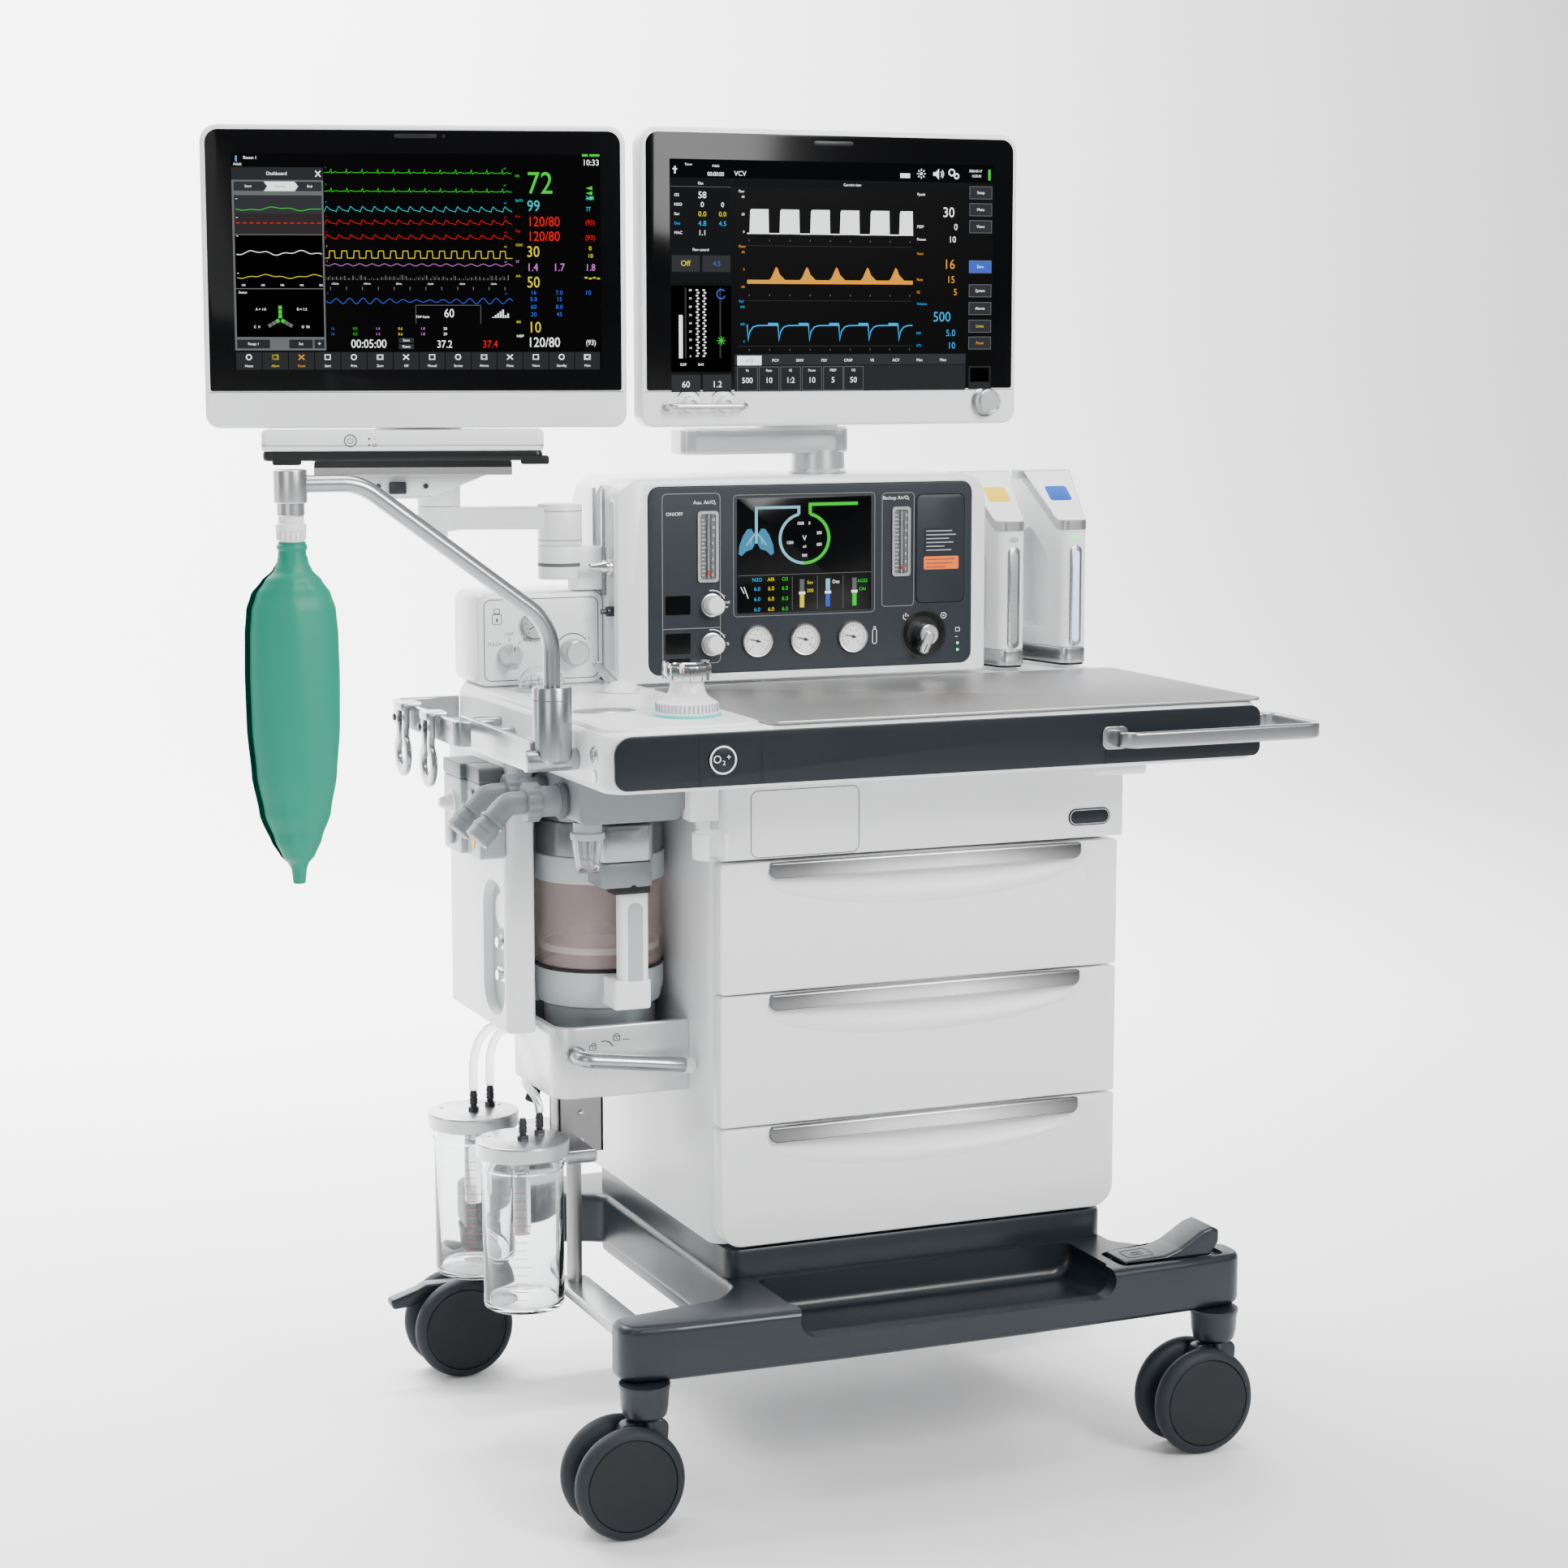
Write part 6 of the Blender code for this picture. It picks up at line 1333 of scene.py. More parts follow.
s.text("0.41", 864, 420, 3.0, "white")
s.bar(829, 431, 863, 450, "dim", 1)
s.bar(866, 431, 900, 450, "dim", 1)
s.text("60", 846, 442, 7.0, "white")
s.text("1.2", 883, 442, 7.0, "white")
# waveform area
s.bar(904, 218, 1188, 226, "panel", 0.8)
s.text("Current view", 1046, 222, 3.2, "white", squeeze=0.9)
for k in range(3):
    zb = (290, 350, 400)[k]
    s.bar(908, zb - 0.3, 1120, zb + 0.3, "dim", 1)
for (la, ya) in (("Paw", 231), ("Flow", 291), ("Vol", 351)):
    s.text(la, 909, ya, 3.0, ("white", "orange", "sky")[(ya - 231) // 60], "LEFT")
for yy, c, labs in ((237, "white", ("40", "20", "0")), (297, "orange", ("60", "0", "-60")), (357, "sky", ("600", "300", "0"))):
    for q, t in enumerate(labs):
        s.text(t, 916, yy + q * 19, 2.6, c, "RIGHT")
for q in range(9):
    for yy in (283, 343, 403):
        s.bar(921 + 24.5 * q, yy, 921.8 + 24.5 * q, yy + 2, "grey")
for a, b in ((922, 945), (958, 982), (995, 1019), (1031, 1055), (1068, 1092), (1104, 1121)):
    s.poly([(a, 277), (a + 0.8, 252), (a + 2, 250), (b - 0.5, 250), (b, 277)], "white", 2)
    s.bar(a - 13 if a > 930 else a - 3, 276, a, 277.2, "white", 2)
s.bar(919, 327.2, 1121, 331.5, "orange", 2)
for k, p in enumerate((955, 992, 1028, 1066, 1101)):
    s.poly([(p - 10, 327.6), (p - 7, 324.5), (p - 1.5, 313), (p + 0.5, 314.5), (p + 3, 321), (p + 10, 327.6)], "orange", 2)
flow = [(918, 377)]
for p in (920, 957, 994, 1031, 1067, 1104):
    flow += [(p - 1, 377), (p, 394), (p + 2, 384), (p + 6, 379), (p + 11, 377.4)]
flow += [(1121, 377)]
s.line(flow, 1.3, "sky")
for p in (957, 994, 1031, 1067, 1104):
    s.poly([(p - 13, 374.4), (p - 1, 374.4), (p - 1, 378), (p - 13, 377)], "sky", 2)
# numerals
for t, u, v, h, c in (("30", 1164, 251, 11.5, "white"), ("0", 1168, 267, 7.2, "white"), ("10", 1166, 281, 7.2, "white"), ("16", 1165, 309, 11, "orange"), ("15", 1165, 326, 8, "orange"), ("5", 1168, 340, 7.6, "orange"),
                      ("500", 1160, 368, 11.5, "sky"), ("5.0", 1166, 386, 7.6, "sky"), ("10", 1166, 400, 7.6, "sky")):
    s.text(t, u + 9, v, h, c, "RIGHT", squeeze=0.95)
for t, u, v, c in (("Ppeak", 1126, 231, "white"), ("PEEP", 1126, 267, "white"), ("Pmean", 1126, 281, "white"), ("Vent", 1126, 297, "orange"), ("Rate", 1126, 326, "orange"), ("I:E", 1126, 340, "orange"), ("Volume", 1126, 353, "sky"), ("MV", 1126, 386, "sky"), ("VTi", 1126, 400, "sky")):
    s.text(t, u, v, 3.0, c, "LEFT")
for v in (228, 247, 266, 311, 338, 358, 378, 397):
    lit = v == 311
    s.bar(1191.5, v - 7.2, 1220, v + 7.2, "blue" if lit else "dim", 1)
    s.frame(1191.5, v - 7.2, 1220, v + 7.2, 0.7, "grey", 2)
    s.text(("Setup", "Menu", "Views", "Zero", "System", "Alarms", "Limits", "Pause")[(228, 247, 266, 311, 338, 358, 378, 397).index(v)], 1205.8, v, 3.2, "yellow" if v == 378 else "orange" if v == 397 else "white", squeeze=0.95)
# tabs and parameter row
s.bar(904, 409, 1188, 421, "dim", 1)
s.bar(907, 410.5, 936, 421, "white", 2)
s.text("VCV", 921.5, 416, 3.6, "black", layer=3)
for k, t in enumerate(("PCV", "SIMV", "PSV", "CPAP", "VS", "ACV", "Man", "Mon")):
    s.text(t, 953 + 29.5 * k, 416, 3.2, "white")
s.bar(904, 421.6, 1188, 450, "panel2", 1)
for t, u, lab in (("500", 919, "Vt"), ("10", 945, "Rate"), ("1:2", 971, "I:E"), ("10", 997, "Pause"), ("5", 1023, "PEEP"), ("50", 1048, "O2")):
    s.frame(u - 12, 422.6, u + 12.4, 449.4, 0.6, "grey", 2)
    s.text(t, u, 438, 6.4, "white")
    s.text(lab, u, 427, 2.8, "white")
s.bar(1192, 423, 1220, 449, "panel2", 1)
s.bar(1194, 425, 1218, 441, "black", 2)
s.finish()

# left monitor
LX, LY = LMON
y0 = LY - 44
put("left_shell", turned(monitor_shell(LX, y0)), "white_shell", "left_head", "left_monitor", sharp=30)
put("left_glass", turned(glass_front(LX, y0)), "black_glass", "left_head")
put("left_display", turned(box(LX - 204, LX + 210, y0 - 0.62, y0, 1247, 1489)), "display", "left_head")
put("left_light_slot", turned(box(LX - 22, LX + 26, y0 - 0.7, y0, 1506, 1511, 2.4, "y", 4, 0.2)), "black_plastic", "left_head")
put("left_light_dot", turned(cyl((LX + 34, 1508.5), 2, y0 - 0.7, y0, "y", 24)), "black_plastic", "left_head")
put("left_chin_line", turned(box(LX - MON_W / 2 + 4, LX + MON_W / 2 - 4, y0 - 0.15, y0 + 1, 1221.2, 1222.0)), "seam_grey", "left_head")
x, y = LMON
case = turned(box(x - 176, x + 142, y - 80, y + 100, 1156, 1179, 8, "z", 4, 3))
stand = turned(box(x - 50, x + 50, y - 2 + GAP, y + 34, 1170, 1330, 8, "z", 4))
put("left_case", union(case, stand), "white_shell", "left_head", "left_monitor_base", sharp=30)
put("left_case_under", turned(box(x - 174.6, x + 140.6, y - 78.6, y + 98, 1144.6, 1157, 8, "z", 4, 4)), "black_plastic", "left_head")
put("left_case_feet", join(*[turned(box(x + sx * 140 - 24, x + sx * 140 + 8, y - 78.5, y - 50, 1140.4, 1150, 4, "z", 3, 2)) for sx in (-1, 1)]), "rubber_black", "left_head")
put("left_case_seam", turned(box(x - 176.2, x + 142.2, y - 80.3, y - 60, 1162.0, 1162.6)), "seam_grey", "left_head")
put("left_plate", turned(box(x - 118, x + 106, y - 62, y + 60, 1132, 1144.4, 3, "y", 1)), "dark_metal", "left_head")
put("left_plate_lip", turned(box(x - 118, x + 106, y - 66, y - 60, 1128, 1138, 1.5, "x", 2)), "stainless", "left_head")
put("left_neck", join(cyl(LPIV, 25, 1090, 1132, "z", 48, 1.4), turned(box(x - 66, x + 26, y - 40, y + 20, 1100, 1132, 8, "z", 3, 3)), turned(prism([(x - 60, 1104), (x + 20, 1104), (x + 84, 1130), (x - 84, 1130)], "y", y - 46, y + 26, 2, 2))), "white_paint", "left_head")
put("left_neck_screws", join(*[turned(cyl((x + dx, 1115), 3, y - 49, y - 46, "y", 20, 0.6)) for dx in (-46, -20, 8)], turned(box(x - 34, x - 14, y - 52, y - 46, 1106, 1120, 2, "y", 2, 1))), "dark_metal", "left_head")
put("left_case_button", turned(join(ring_prism(circle(x - 76, 1168, 7.2, 40), circle(x - 76, 1168, 6.0, 40), "y", y - 80.4, y - 79.6), arc_strip(x - 76, 1168, 3.2, 0.8, -230, 50, y - 80), box(x - 76.4, x - 75.6, y - 80.4, y - 80, 1168, 1172))), "ink_grey", "left_head")
put("left_case_lamps", turned(join(cyl((x - 55, 1170), 1.2, y - 80.5, y - 79, "y", 16), cyl((x - 55, 1163), 1.2, y - 80.5, y - 79, "y", 16))), "ink_grey", "left_head")
put("left_case_marks", turned(join(words("~", 4, x - 51, 1170, y - 80), outline(x - 51, x - 46.6, 1161.4, 1164.6, 0.6, 0.6, y - 80))), "ink_grey", "left_head")
put("left_case_louvres", turned(join(*[box(x - 176.4, x - 175, y - 60 + 9 * k, y - 56 + 9 * k, 1160, 1174, 1.5, "x", 2) for k in range(15)])), "seam_grey", "left_head")


def look_link():
    hub = lathe([(0, 1044 + GAP), (25, 1044 + GAP), (26, 1046), (26, 1090), (24.6, 1092), (0, 1092)], LHUB, "z", 56)
    end = lathe([(0, 1062), (24, 1062), (25, 1063), (25, 1089.6), (0, 1089.6)], LPIV, "z", 56)
    a, b = Vector(LHUB), Vector(LPIV)
    d = (b - a).normalized()
    p = Vector((-d.y, d.x)) * 19
    bar = prism([a + p, b + p, b - p, a - p], "z", 1063, 1089, 4, 3)
    return join(union(hub, bar, end), cyl(LPIV, 10, 1050, 1063, "z", 32, 1.4))


put("left_link", look_link(), "white_paint", "left_link", "left_link_arm", sharp=35)
put("left_link_marks", join(lathe([(25.9, 1084), (26.3, 1084), (26.3, 1084.7), (25.9, 1084.7)], LHUB, "z", 48), lathe([(25.9, 1050), (26.3, 1050), (26.3, 1050.7), (25.9, 1050.7)], LHUB, "z", 48)), "seam_grey", "left_link")

s = Sheet("ld", "left_head", LX - 204.0, 1489.0, 414 / 440, y0 - 0.62, 303.6, 196, turned)
random.seed(11)
s.text("Room 1", 318, 202, 3.6, "white", "LEFT")
s.text("Adult", 306, 209.5, 3.2, "white", "LEFT")
s.line([(309.5, 199.5), (309.5, 206.5)], 2.2, "sky")
s.text("10:33", 732.5, 206, 7.2, "white", squeeze=0.92)
s.bar(731, 195.6, 743, 198.4, "green")
s.bar(722, 195.6, 729, 198.4, "green")
# dialog
s.bar(303.6, 213, 412, 430, "grey", 0.8)
s.bar(303.6, 213, 412, 228, "panel2", 1.2)
s.text("Dashboard", 357, 220.5, 4.2, "white", squeeze=0.95)
s.line([(403, 217), (409, 224)], 1.3, "white")
s.line([(409, 217), (403, 224)], 1.3, "white")
s.poly([(306, 230), (341, 230), (345, 235.5), (341, 241), (306, 241)], "dim", 1.4)
s.poly([(342, 230), (378, 230), (382, 235.5), (378, 241), (342, 241), (346, 235.5)], "white", 1.4)
s.poly([(379, 230), (410, 230), (410, 241), (379, 241), (383, 235.5)], "dim", 1.4)
s.text("Start", 323, 235.5, 3.0, "white")
s.text("During", 361, 235.5, 3.0, "black")
s.text("End", 396, 235.5, 3.0, "white")
s.bar(306, 246, 410, 292, "dim", 1.4)
s.bar(306, 293, 410, 356, "black", 1.4)
s.bar(306, 357, 410, 414, "black", 1.4)
s.bar(306, 268, 410, 292, "mid", 1.5)


def trace(u0, u1, n, f):
    return [(u0 + (u1 - u0) * k / n, f(k / n)) for k in range(n + 1)]


s.line(trace(308, 409, 50, lambda t: 262 + 1.6 * math.sin(t * 10) + 0.8 * math.sin(t * 27)), 0.7, "green")
for k in range(13):
    s.bar(308 + 8 * k, 278.2, 312.5 + 8 * k, 279.3, "red", 2)
s.line(trace(308, 409, 50, lambda t: 314 + 1.8 * math.sin(t * 12 + 2) + 1.2 * math.sin(t * 31)), 0.7, "white")
s.line(trace(308, 409, 50, lambda t: 342 + 1.6 * math.sin(t * 11 + 1) + 0.8 * math.sin(t * 33)), 0.7, "yellow")
for k in range(5):
    s.bar(308, 250 + 22 * k, 310, 250.6 + 22 * k, "white", 2)
    s.text("100", 305 + 23 * k + 10, 352.4, 2.3, "white")
s.text("Status", 309, 361, 3.0, "white", "LEFT")
for k, c in enumerate(("green", "grey", "grey")):
    a = math.radians(-90 + 120 * k)
    d = Vector((math.cos(a), math.sin(a)))
    n_ = Vector((-d.y, d.x))
    o = Vector((358, 393))
    for q, cc in ((0, "green"), (1, c), (2, c)):
        p0, p1 = o + d * (1.5 + 5.2 * q), o + d * (6.0 + 5.2 * q)
        w = 2.1
        s.poly([tuple(p0 + n_ * w), tuple(p1 + n_ * w), tuple(p1 - n_ * w), tuple(p0 - n_ * w)], cc, 2)
s.text("A > 1.0", 335, 381, 3.0, "white")
s.text("B < 1.2", 384, 381, 3.0, "white")
s.text("C  0", 330, 402, 3.0, "white")
s.text("D  50", 388, 402, 3.0, "white")
s.bar(306, 417, 345, 427.5, "panel2", 1.6)
s.bar(368, 417, 396, 427.5, "panel2", 1.6)
s.bar(398, 417, 410, 427.5, "panel2", 1.6)
s.text("Range 1", 325.5, 422.2, 3.0, "white")
s.text("Set", 382, 422.2, 3.0, "white")
s.text("+", 404, 422.2, 5, "white")
# traces
U0, U1 = 413, 637


def beats(u0, u1, period, shape, base, amp, n=14):
    out, u = [], u0
    while u < u1 - period * 0.5:
        for k in range(n):
            t = k / n
            if u + t * period <= u1:
                out.append((u + t * period, base - amp * shape(t)))
        u += period
    out.append((u1, base - amp * shape(0)))
    return out


def ecg(t):
    return math.exp(-((t - 0.45) / 0.03) ** 2) - 0.25 * math.exp(-((t - 0.52) / 0.03) ** 2) + 0.22 * math.exp(-((t - 0.75) / 0.08) ** 2) + 0.12 * math.exp(-((t - 0.25) / 0.05) ** 2)


def pulse(t):
    return max(0, math.sin(math.pi * min(1, t * 2.4))) * 0.9 if t < 0.28 else math.exp(-(t - 0.2) * 3) * (0.86 + 0.1 * math.sin((t - 0.28) * 17))


def capno(t):
    return 1.0 if 0.32 < t < 0.8 else 0.0


s.line(beats(U0, U1, 18.6, ecg, 219, 5.2, 26), 0.6, "green")
s.line(beats(U0, U1, 18.6, ecg, 241, 4.6, 26), 0.6, "green")
s.line(beats(U0, U1, 14.2, pulse, 265, 7.0), 0.65, "cyan")
s.line(beats(U0, U1, 14.2, pulse, 280, 6.0), 0.6, "red")
s.line(beats(U0, U1, 14.2, pulse, 297.5, 6.0), 0.6, "red")
s.line(beats(U0, U1, 14.6, capno, 320, 8.5, 20), 0.75, "yellow")
s.line(trace(U0, U1, 200, lambda t: 328 + 1.3 * math.sin(t * 95)), 0.55, "magenta")
s.line(trace(U0, U1, 240, lambda t: 371 + 3.4 * math.sin(t * 88) * (0.7 + 0.3 * math.sin(t * 9))), 0.7, "blue")
for v_, c_ in ((213, "green"), (233, "green"), (254, "cyan"), (271, "red"), (289, "red"), (306, "yellow"), (324, "magenta"), (362, "blue")):
    s.text("I", 415, v_, 2.6, c_)
    s.text("x1", 629, v_, 2.4, c_)
for k in range(12):
    s.bar(418 + 19 * k, 354, 419 + 19 * k, 358, "grey", 2)
    if k % 2 == 0:
        s.text("%dmin" % (k - 12), 424 + 19 * k, 350.5, 2.3, "white")
for k in range(90):
    h = random.uniform(1, 6)
    s.bar(U0 + 2.45 * k, 346 - h, U0 + 1.2 + 2.45 * k, 346, ("dim", "grey")[k % 2], 1.6)
# numerals
for t, u, v, h, c, al in (("72", 671, 231.5, 27, "green", "CENTER"), ("99", 663, 258, 13.5, "cyan", "CENTER"), ("120/80", 675, 276.5, 12, "red", "CENTER"), ("120/80", 675, 294, 12, "red", "CENTER"), ("30", 662, 312.5, 13.5, "yellow", "CENTER"),
                          ("1.4", 661, 331, 9.6, "magenta", "CENTER"), ("1.7", 693, 331, 9.6, "magenta", "CENTER"), ("1.8", 731, 331, 8.4, "magenta", "CENTER"), ("50", 662, 349, 13.5, "yellow", "CENTER"), ("10", 663, 403, 13.5, "yellow", "CENTER"),
                          ("120/80", 674, 421, 12, "white", "CENTER"), ("(93)", 731, 421, 6.4, "white", "CENTER"), ("(93)", 731, 277, 6.0, "red", "CENTER"), ("(93)", 731, 295, 6.0, "red", "CENTER"),
                          ("60", 560, 386, 10.5, "white", "CENTER"), ("37.2", 554, 423, 9.2, "white", "CENTER"), ("37.4", 609, 423, 9.2, "red", "CENTER"), ("00:05:00", 463, 422.5, 10.5, "white", "CENTER"), ("3.04", 731, 248, 5.0, "cyan", "CENTER"), ("77", 729, 261, 5.0, "cyan", "CENTER")):
    s.text(t, u, v, h, c, al, squeeze=0.86)
for k, v_ in enumerate((361, 369, 378, 387)):
    s.text(("16", "5.0", "60", "20")[k], 662, v_, 5.2, "blue")
    s.text(("7.0", "15", "8.0", "45")[k], 693, v_, 5.2, "blue")
s.text("10", 728, 361, 5.6, "blue")
s.text("0", 731, 308, 5.2, "yellow")
s.text("10", 731, 317, 4.8, "yellow")
for k in range(4):
    s.bar(724 + 5 * k, 342 + (k % 2), 727.6 + 5 * k, 343.6 + (k % 2), "yellow")
for v_, c_, t in ((222, "green", "HR"), (251, "cyan", "SpO2"), (270, "red", "Art"), (287.5, "red", "Pap"), (304, "yellow", "CO2"), (324, "magenta", "ST"), (341, "yellow", "AA"), (396, "yellow", "BIS"), (413, "white", "NIBP")):
    s.text(t, 641, v_, 3.0, c_, "LEFT")
for k in range(6):
    for q in range(2):
        s.text(("16", "0.5", "1.4", "0.6", "1.8", "20")[k], 420 + 27 * k, 404 + 6.5 * q, 3.2, ("blue", "green", "magenta", "yellow", "magenta", "white")[k])
for v_ in (236, 242, 248):
    s.poly([(726, v_), (734, v_ - 2.4), (734, v_ + 2.4)], "green")
s.line([(520, 398), (520, 376), (598, 376), (598, 398)], 0.6, "grey")
s.text("TOF Ratio", 528, 390, 2.8, "white")
s.bar(499, 415, 517, 421, "dim", 1.4)
s.bar(499, 422.5, 517, 428.5, "dim", 1.4)
s.text("Start", 508, 418, 3.0, "white")
s.text("Reset", 508, 425.5, 3.0, "white")
for k in range(7):
    s.bar(612 + 3 * k, 390 - 2.2 * k % 9, 613.8 + 3 * k, 391, "white", 1.6)
# bottom buttons
for k in range(14):
    a = 304.4 + 31.3 * k
    s.bar(a, 432, a + 30.4, 453, "panel2", 1)
    c = "yellow" if k == 1 else "orange" if k == 2 else "white"
    u = a + 15.2
    if k % 4 == 0:
        s.line([(u + 3 * math.cos(2 * math.pi * q / 16), 438 + 3 * math.sin(2 * math.pi * q / 16)) for q in range(17)], 1.2, c)
    elif k % 4 == 1:
        s.bar(u - 4, 434.8, u + 4, 441.4, c)
        s.bar(u - 2, 436.4, u + 2, 439.6, "dim", 2)
    elif k % 4 == 2:
        s.line([(u - 3.4, 435), (u + 3.4, 441)], 1.3, c)
        s.line([(u + 3.4, 435), (u - 3.4, 441)], 1.3, c)
    else:
        s.frame(u - 3.6, 434.8, u + 3.6, 441.2, 1.0, c, 2)
    s.text(("Home", "Alarm", "Pause", "Start", "Print", "Zero", "Off", "Manual", "Screen", "Alarms", "Menu", "Views", "Standby", "Main")[k], u, 448.5, 3.0, c, squeeze=0.92)
s.finish()

# ---------------------------------------------------------------- status panel
a, b, c, d = PANEL
F = HOUSING_Y[0] - 0.5
panel = prism(rounded([(a, c), (b, c), (b, d), (a, d)], 14, 6), "y", F, F + 4, 1.4, 3)
dish = lathe([(0, F + 2.7), (21, F + 2.7), (27, F - 1.5), (27, F - 6), (0, F - 6)], (155, 930), "y", 56)
door_cut = box(143.6, 208.4, F - 6, F + 2.9, 966.6, 1097.4, 8, "y", 5)
put("panel_face", cut(panel, dish, door_cut), "slate_panel", "frame", "status_panel", sharp=30)
put("panel_door", box(144.2, 207.8, F - 1.1, F + 2.4, 967.2, 1096.8, 7.8, "y", 5, 0.8), "slate_panel", "door", "backup_door", sharp=30)
put("panel_lines", join(outline(-181, -108, 905, 1104, 6, 0.8, F), box(-181, -108, F - 0.3, F + 0.1, 946.2, 947.0), outline(99, 141.6, 964, 1100, 5, 0.7, F), outline(-92, 90, 958, 1101, 5, 0.6, F)), "block_grey", "frame")
put("panel_screen_glass", box(-87, 85, F - 0.5, F + 0.5, 962, 1097, 2, "y", 3, 0.2), "black_glass", "frame")
put("panel_windows", join(box(-184 + 7, -146, F - 0.4, F + 0.5, 963, 985, 1.5, "y", 3), box(-184 + 7, -146, F - 0.4, F + 0.5, 917, 941, 1.5, "y", 3)), "black_glass", "frame")
for tag, x0, x1 in (("left", -137, -111), ("right", 112, 136)):
    xm = (x0 + x1) / 2
    put("flow_frame_" + tag, ring_prism(rounded(rect(x0, x1, 1000, 1083), 4, 5), rounded(rect(x0 + 3.4, x1 - 3.4, 1003.4, 1079.6), 3, 5), "y", F - 2.2, F + 0.4), "silver", "frame")
    put("flow_back_" + tag, box(x0 + 3, x1 - 3, F - 0.6, F + 0.4, 1003, 1080), "block_dark", "frame")
    put("flow_glass_" + tag, cyl((xm + 1, F - 0.6), 3.4, 1004, 1079, "z", 32), "clear", "frame")
    put("flow_marks_" + tag, join(*[box(xm - 7.4, xm - (3.0 if k % 2 else 4.6), F - 0.9, F - 0.6, 1008 + 4.6 * k, 1008.7 + 4.6 * k) for k in range(15)], *[words("%d" % (2 * k + 1), 3.2, xm + 5.0, 1008.4 + 9.2 * k, F - 0.6) for k in range(8)]), "ink_white", "frame")
    put("flow_core_" + tag, cyl((xm + 1, F - 0.6), 1.0, 1004, 1079, "z", 20), "silver", "frame")
    put("flow_float_" + tag, cyl((xm + 1, F - 0.6), 2.4, 1009, 1013, "z", 24, 0.5), "red_mark", "frame")
put("panel_words", join(words("ON/OFF", 4.2, -176, 1080, F), words("Aux. Air/O", 4.4, -142, 1093, F), words("2", 2.8, -115.6, 1091.4, F), words("Backup Air/O", 4.4, 100, 1093.6, F), words("2", 2.8, 133.0, 1092.0, F),
                       words("Total", 3.4, -106.5, 976, F), words("flow", 3.4, -106.5, 970.6, F), words("O %", 3.8, -106.5, 927, F),
                       outline(87, 93, 920, 938, 2.6, 0.8, F), outline(88.6, 91.4, 938, 941, 0.8, 0.6, F),
                       outline(197, 203, 931, 936, 1, 0.6, F), words("~", 4.6, 196.8, 925, F),
                       arc_strip(131, 951, 3.4, 0.8, -230, 50, F), box(130.6, 131.4, F - 0.3, F, 951, 955.6), arc_strip(181, 951, 3.4, 0.8, 0, 360, F), cyl((181, 951), 0.9, F - 0.3, F, "y", 16)), "ink_white", "frame")
put("panel_lamps", join(cyl((200, 917), 1.6, F - 0.7, F, "y", 20), cyl((200, 909), 1.6, F - 0.7, F, "y", 20)), "lamp_green", "frame")
put("door_label_top", box(154, 200, F - 1.5, F - 1.0, 1023, 1057, 2, "y", 3), "slate", "door")
put("door_label_low", box(154, 200, F - 1.5, F - 1.0, 1007, 1022.6, 2, "y", 3), "label_orange", "door")
put("door_label_lines", join(*[box(157, 157 + w, F - 1.7, F - 1.4, 1052.5 - 4.6 * k, 1053.6 - 4.6 * k) for k, w in enumerate((34, 39, 30, 36, 24, 33))]), "block_pale", "door")
put("door_label_lines_low", join(*[box(157, 157 + w, F - 1.7, F - 1.4, 1018.5 - 4.6 * k, 1019.4 - 4.6 * k) for k, w in enumerate((38, 35, 26))]), "label_brown", "door")

for tag, (px, pz) in (("total", (-119, 973)), ("oxygen", (-119, 927))):
    body = "knob_" + tag
    ky = F - GAP
    put("flow_knob_" + tag, join(lathe([(0, ky - 17), (8.6, ky - 17), (10.2, ky - 15.6), (10.5, ky - 13), (10.5, ky), (0, ky)], (px, pz), "y", 48)), "dial_white", body, ("flow_knob_total", "flow_knob_oxygen")[tag == "oxygen"])
    put("flow_ribs_" + tag, join(*[turn(box(px - 0.55, px + 0.55, ky - 14.6, ky - 1, pz + 10, pz + 11.0, 0.3, "y", 2), 2 * math.pi * k / 24, (px, 0, pz), "Y") for k in range(24)]), "dial_white", body)
    put("flow_seat_" + tag, lathe([(11.5, F + 0.2), (13.6, F + 0.2), (13.6, F - 1.2), (11.5, F - 1.6)][::-1], (px, pz), "y", 48), "silver", "frame")
    put("flow_arc_" + tag, join(arc_strip(px, pz, 17.4, 1.0, 25, 100, F), words("-", 4.4, px + 15, pz + 11, F)), "ink_white", "frame")

for k, (gx, gz) in enumerate(((-62, 929), (-1, 929), (61, 930))):
    put("gauge_case_%d" % k, join(lathe([(0, F + 0.4), (19.4, F + 0.4), (19.4, F - 2.6), (18.6, F - 4.0), (17.0, F - 4.2), (16.2, F - 2.0), (0, F - 2.0)][::-1], (gx, gz), "y", 64)), "chrome", "frame")
    put("gauge_dial_%d" % k, cyl((gx, gz), 16.3, F - 2.6, F - 1.8, "y", 56), "dial_white", "frame")
    ticks = [turn(box(gx - 0.3, gx + 0.3, F - 2.9, F - 2.5, gz + (11.6 if q % 5 == 0 else 13.2), gz + 15.2), math.radians(-135 + 270 * q / 30), (gx, 0, gz), "Y") for q in range(31)]
    nums = [words("%d" % (2 * q), 2.6, gx + 8.6 * math.cos(math.radians(225 - 54 * q)), gz + 8.6 * math.sin(math.radians(225 - 54 * q)), F - 2.6, "CENTER") for q in range(6)]
    needle = turn(prism([(gx - 0.9, gz - 4), (gx + 0.9, gz - 4), (gx + 0.3, gz + 12.4), (gx - 0.3, gz + 12.4)], "y", F - 3.3, F - 3.0), math.radians(-75), (gx, 0, gz), "Y")
    put("gauge_marks_%d" % k, join(*ticks, *nums, needle, cyl((gx, gz), 1.9, F - 3.5, F - 2.6, "y", 24)), "ink_black", "frame")

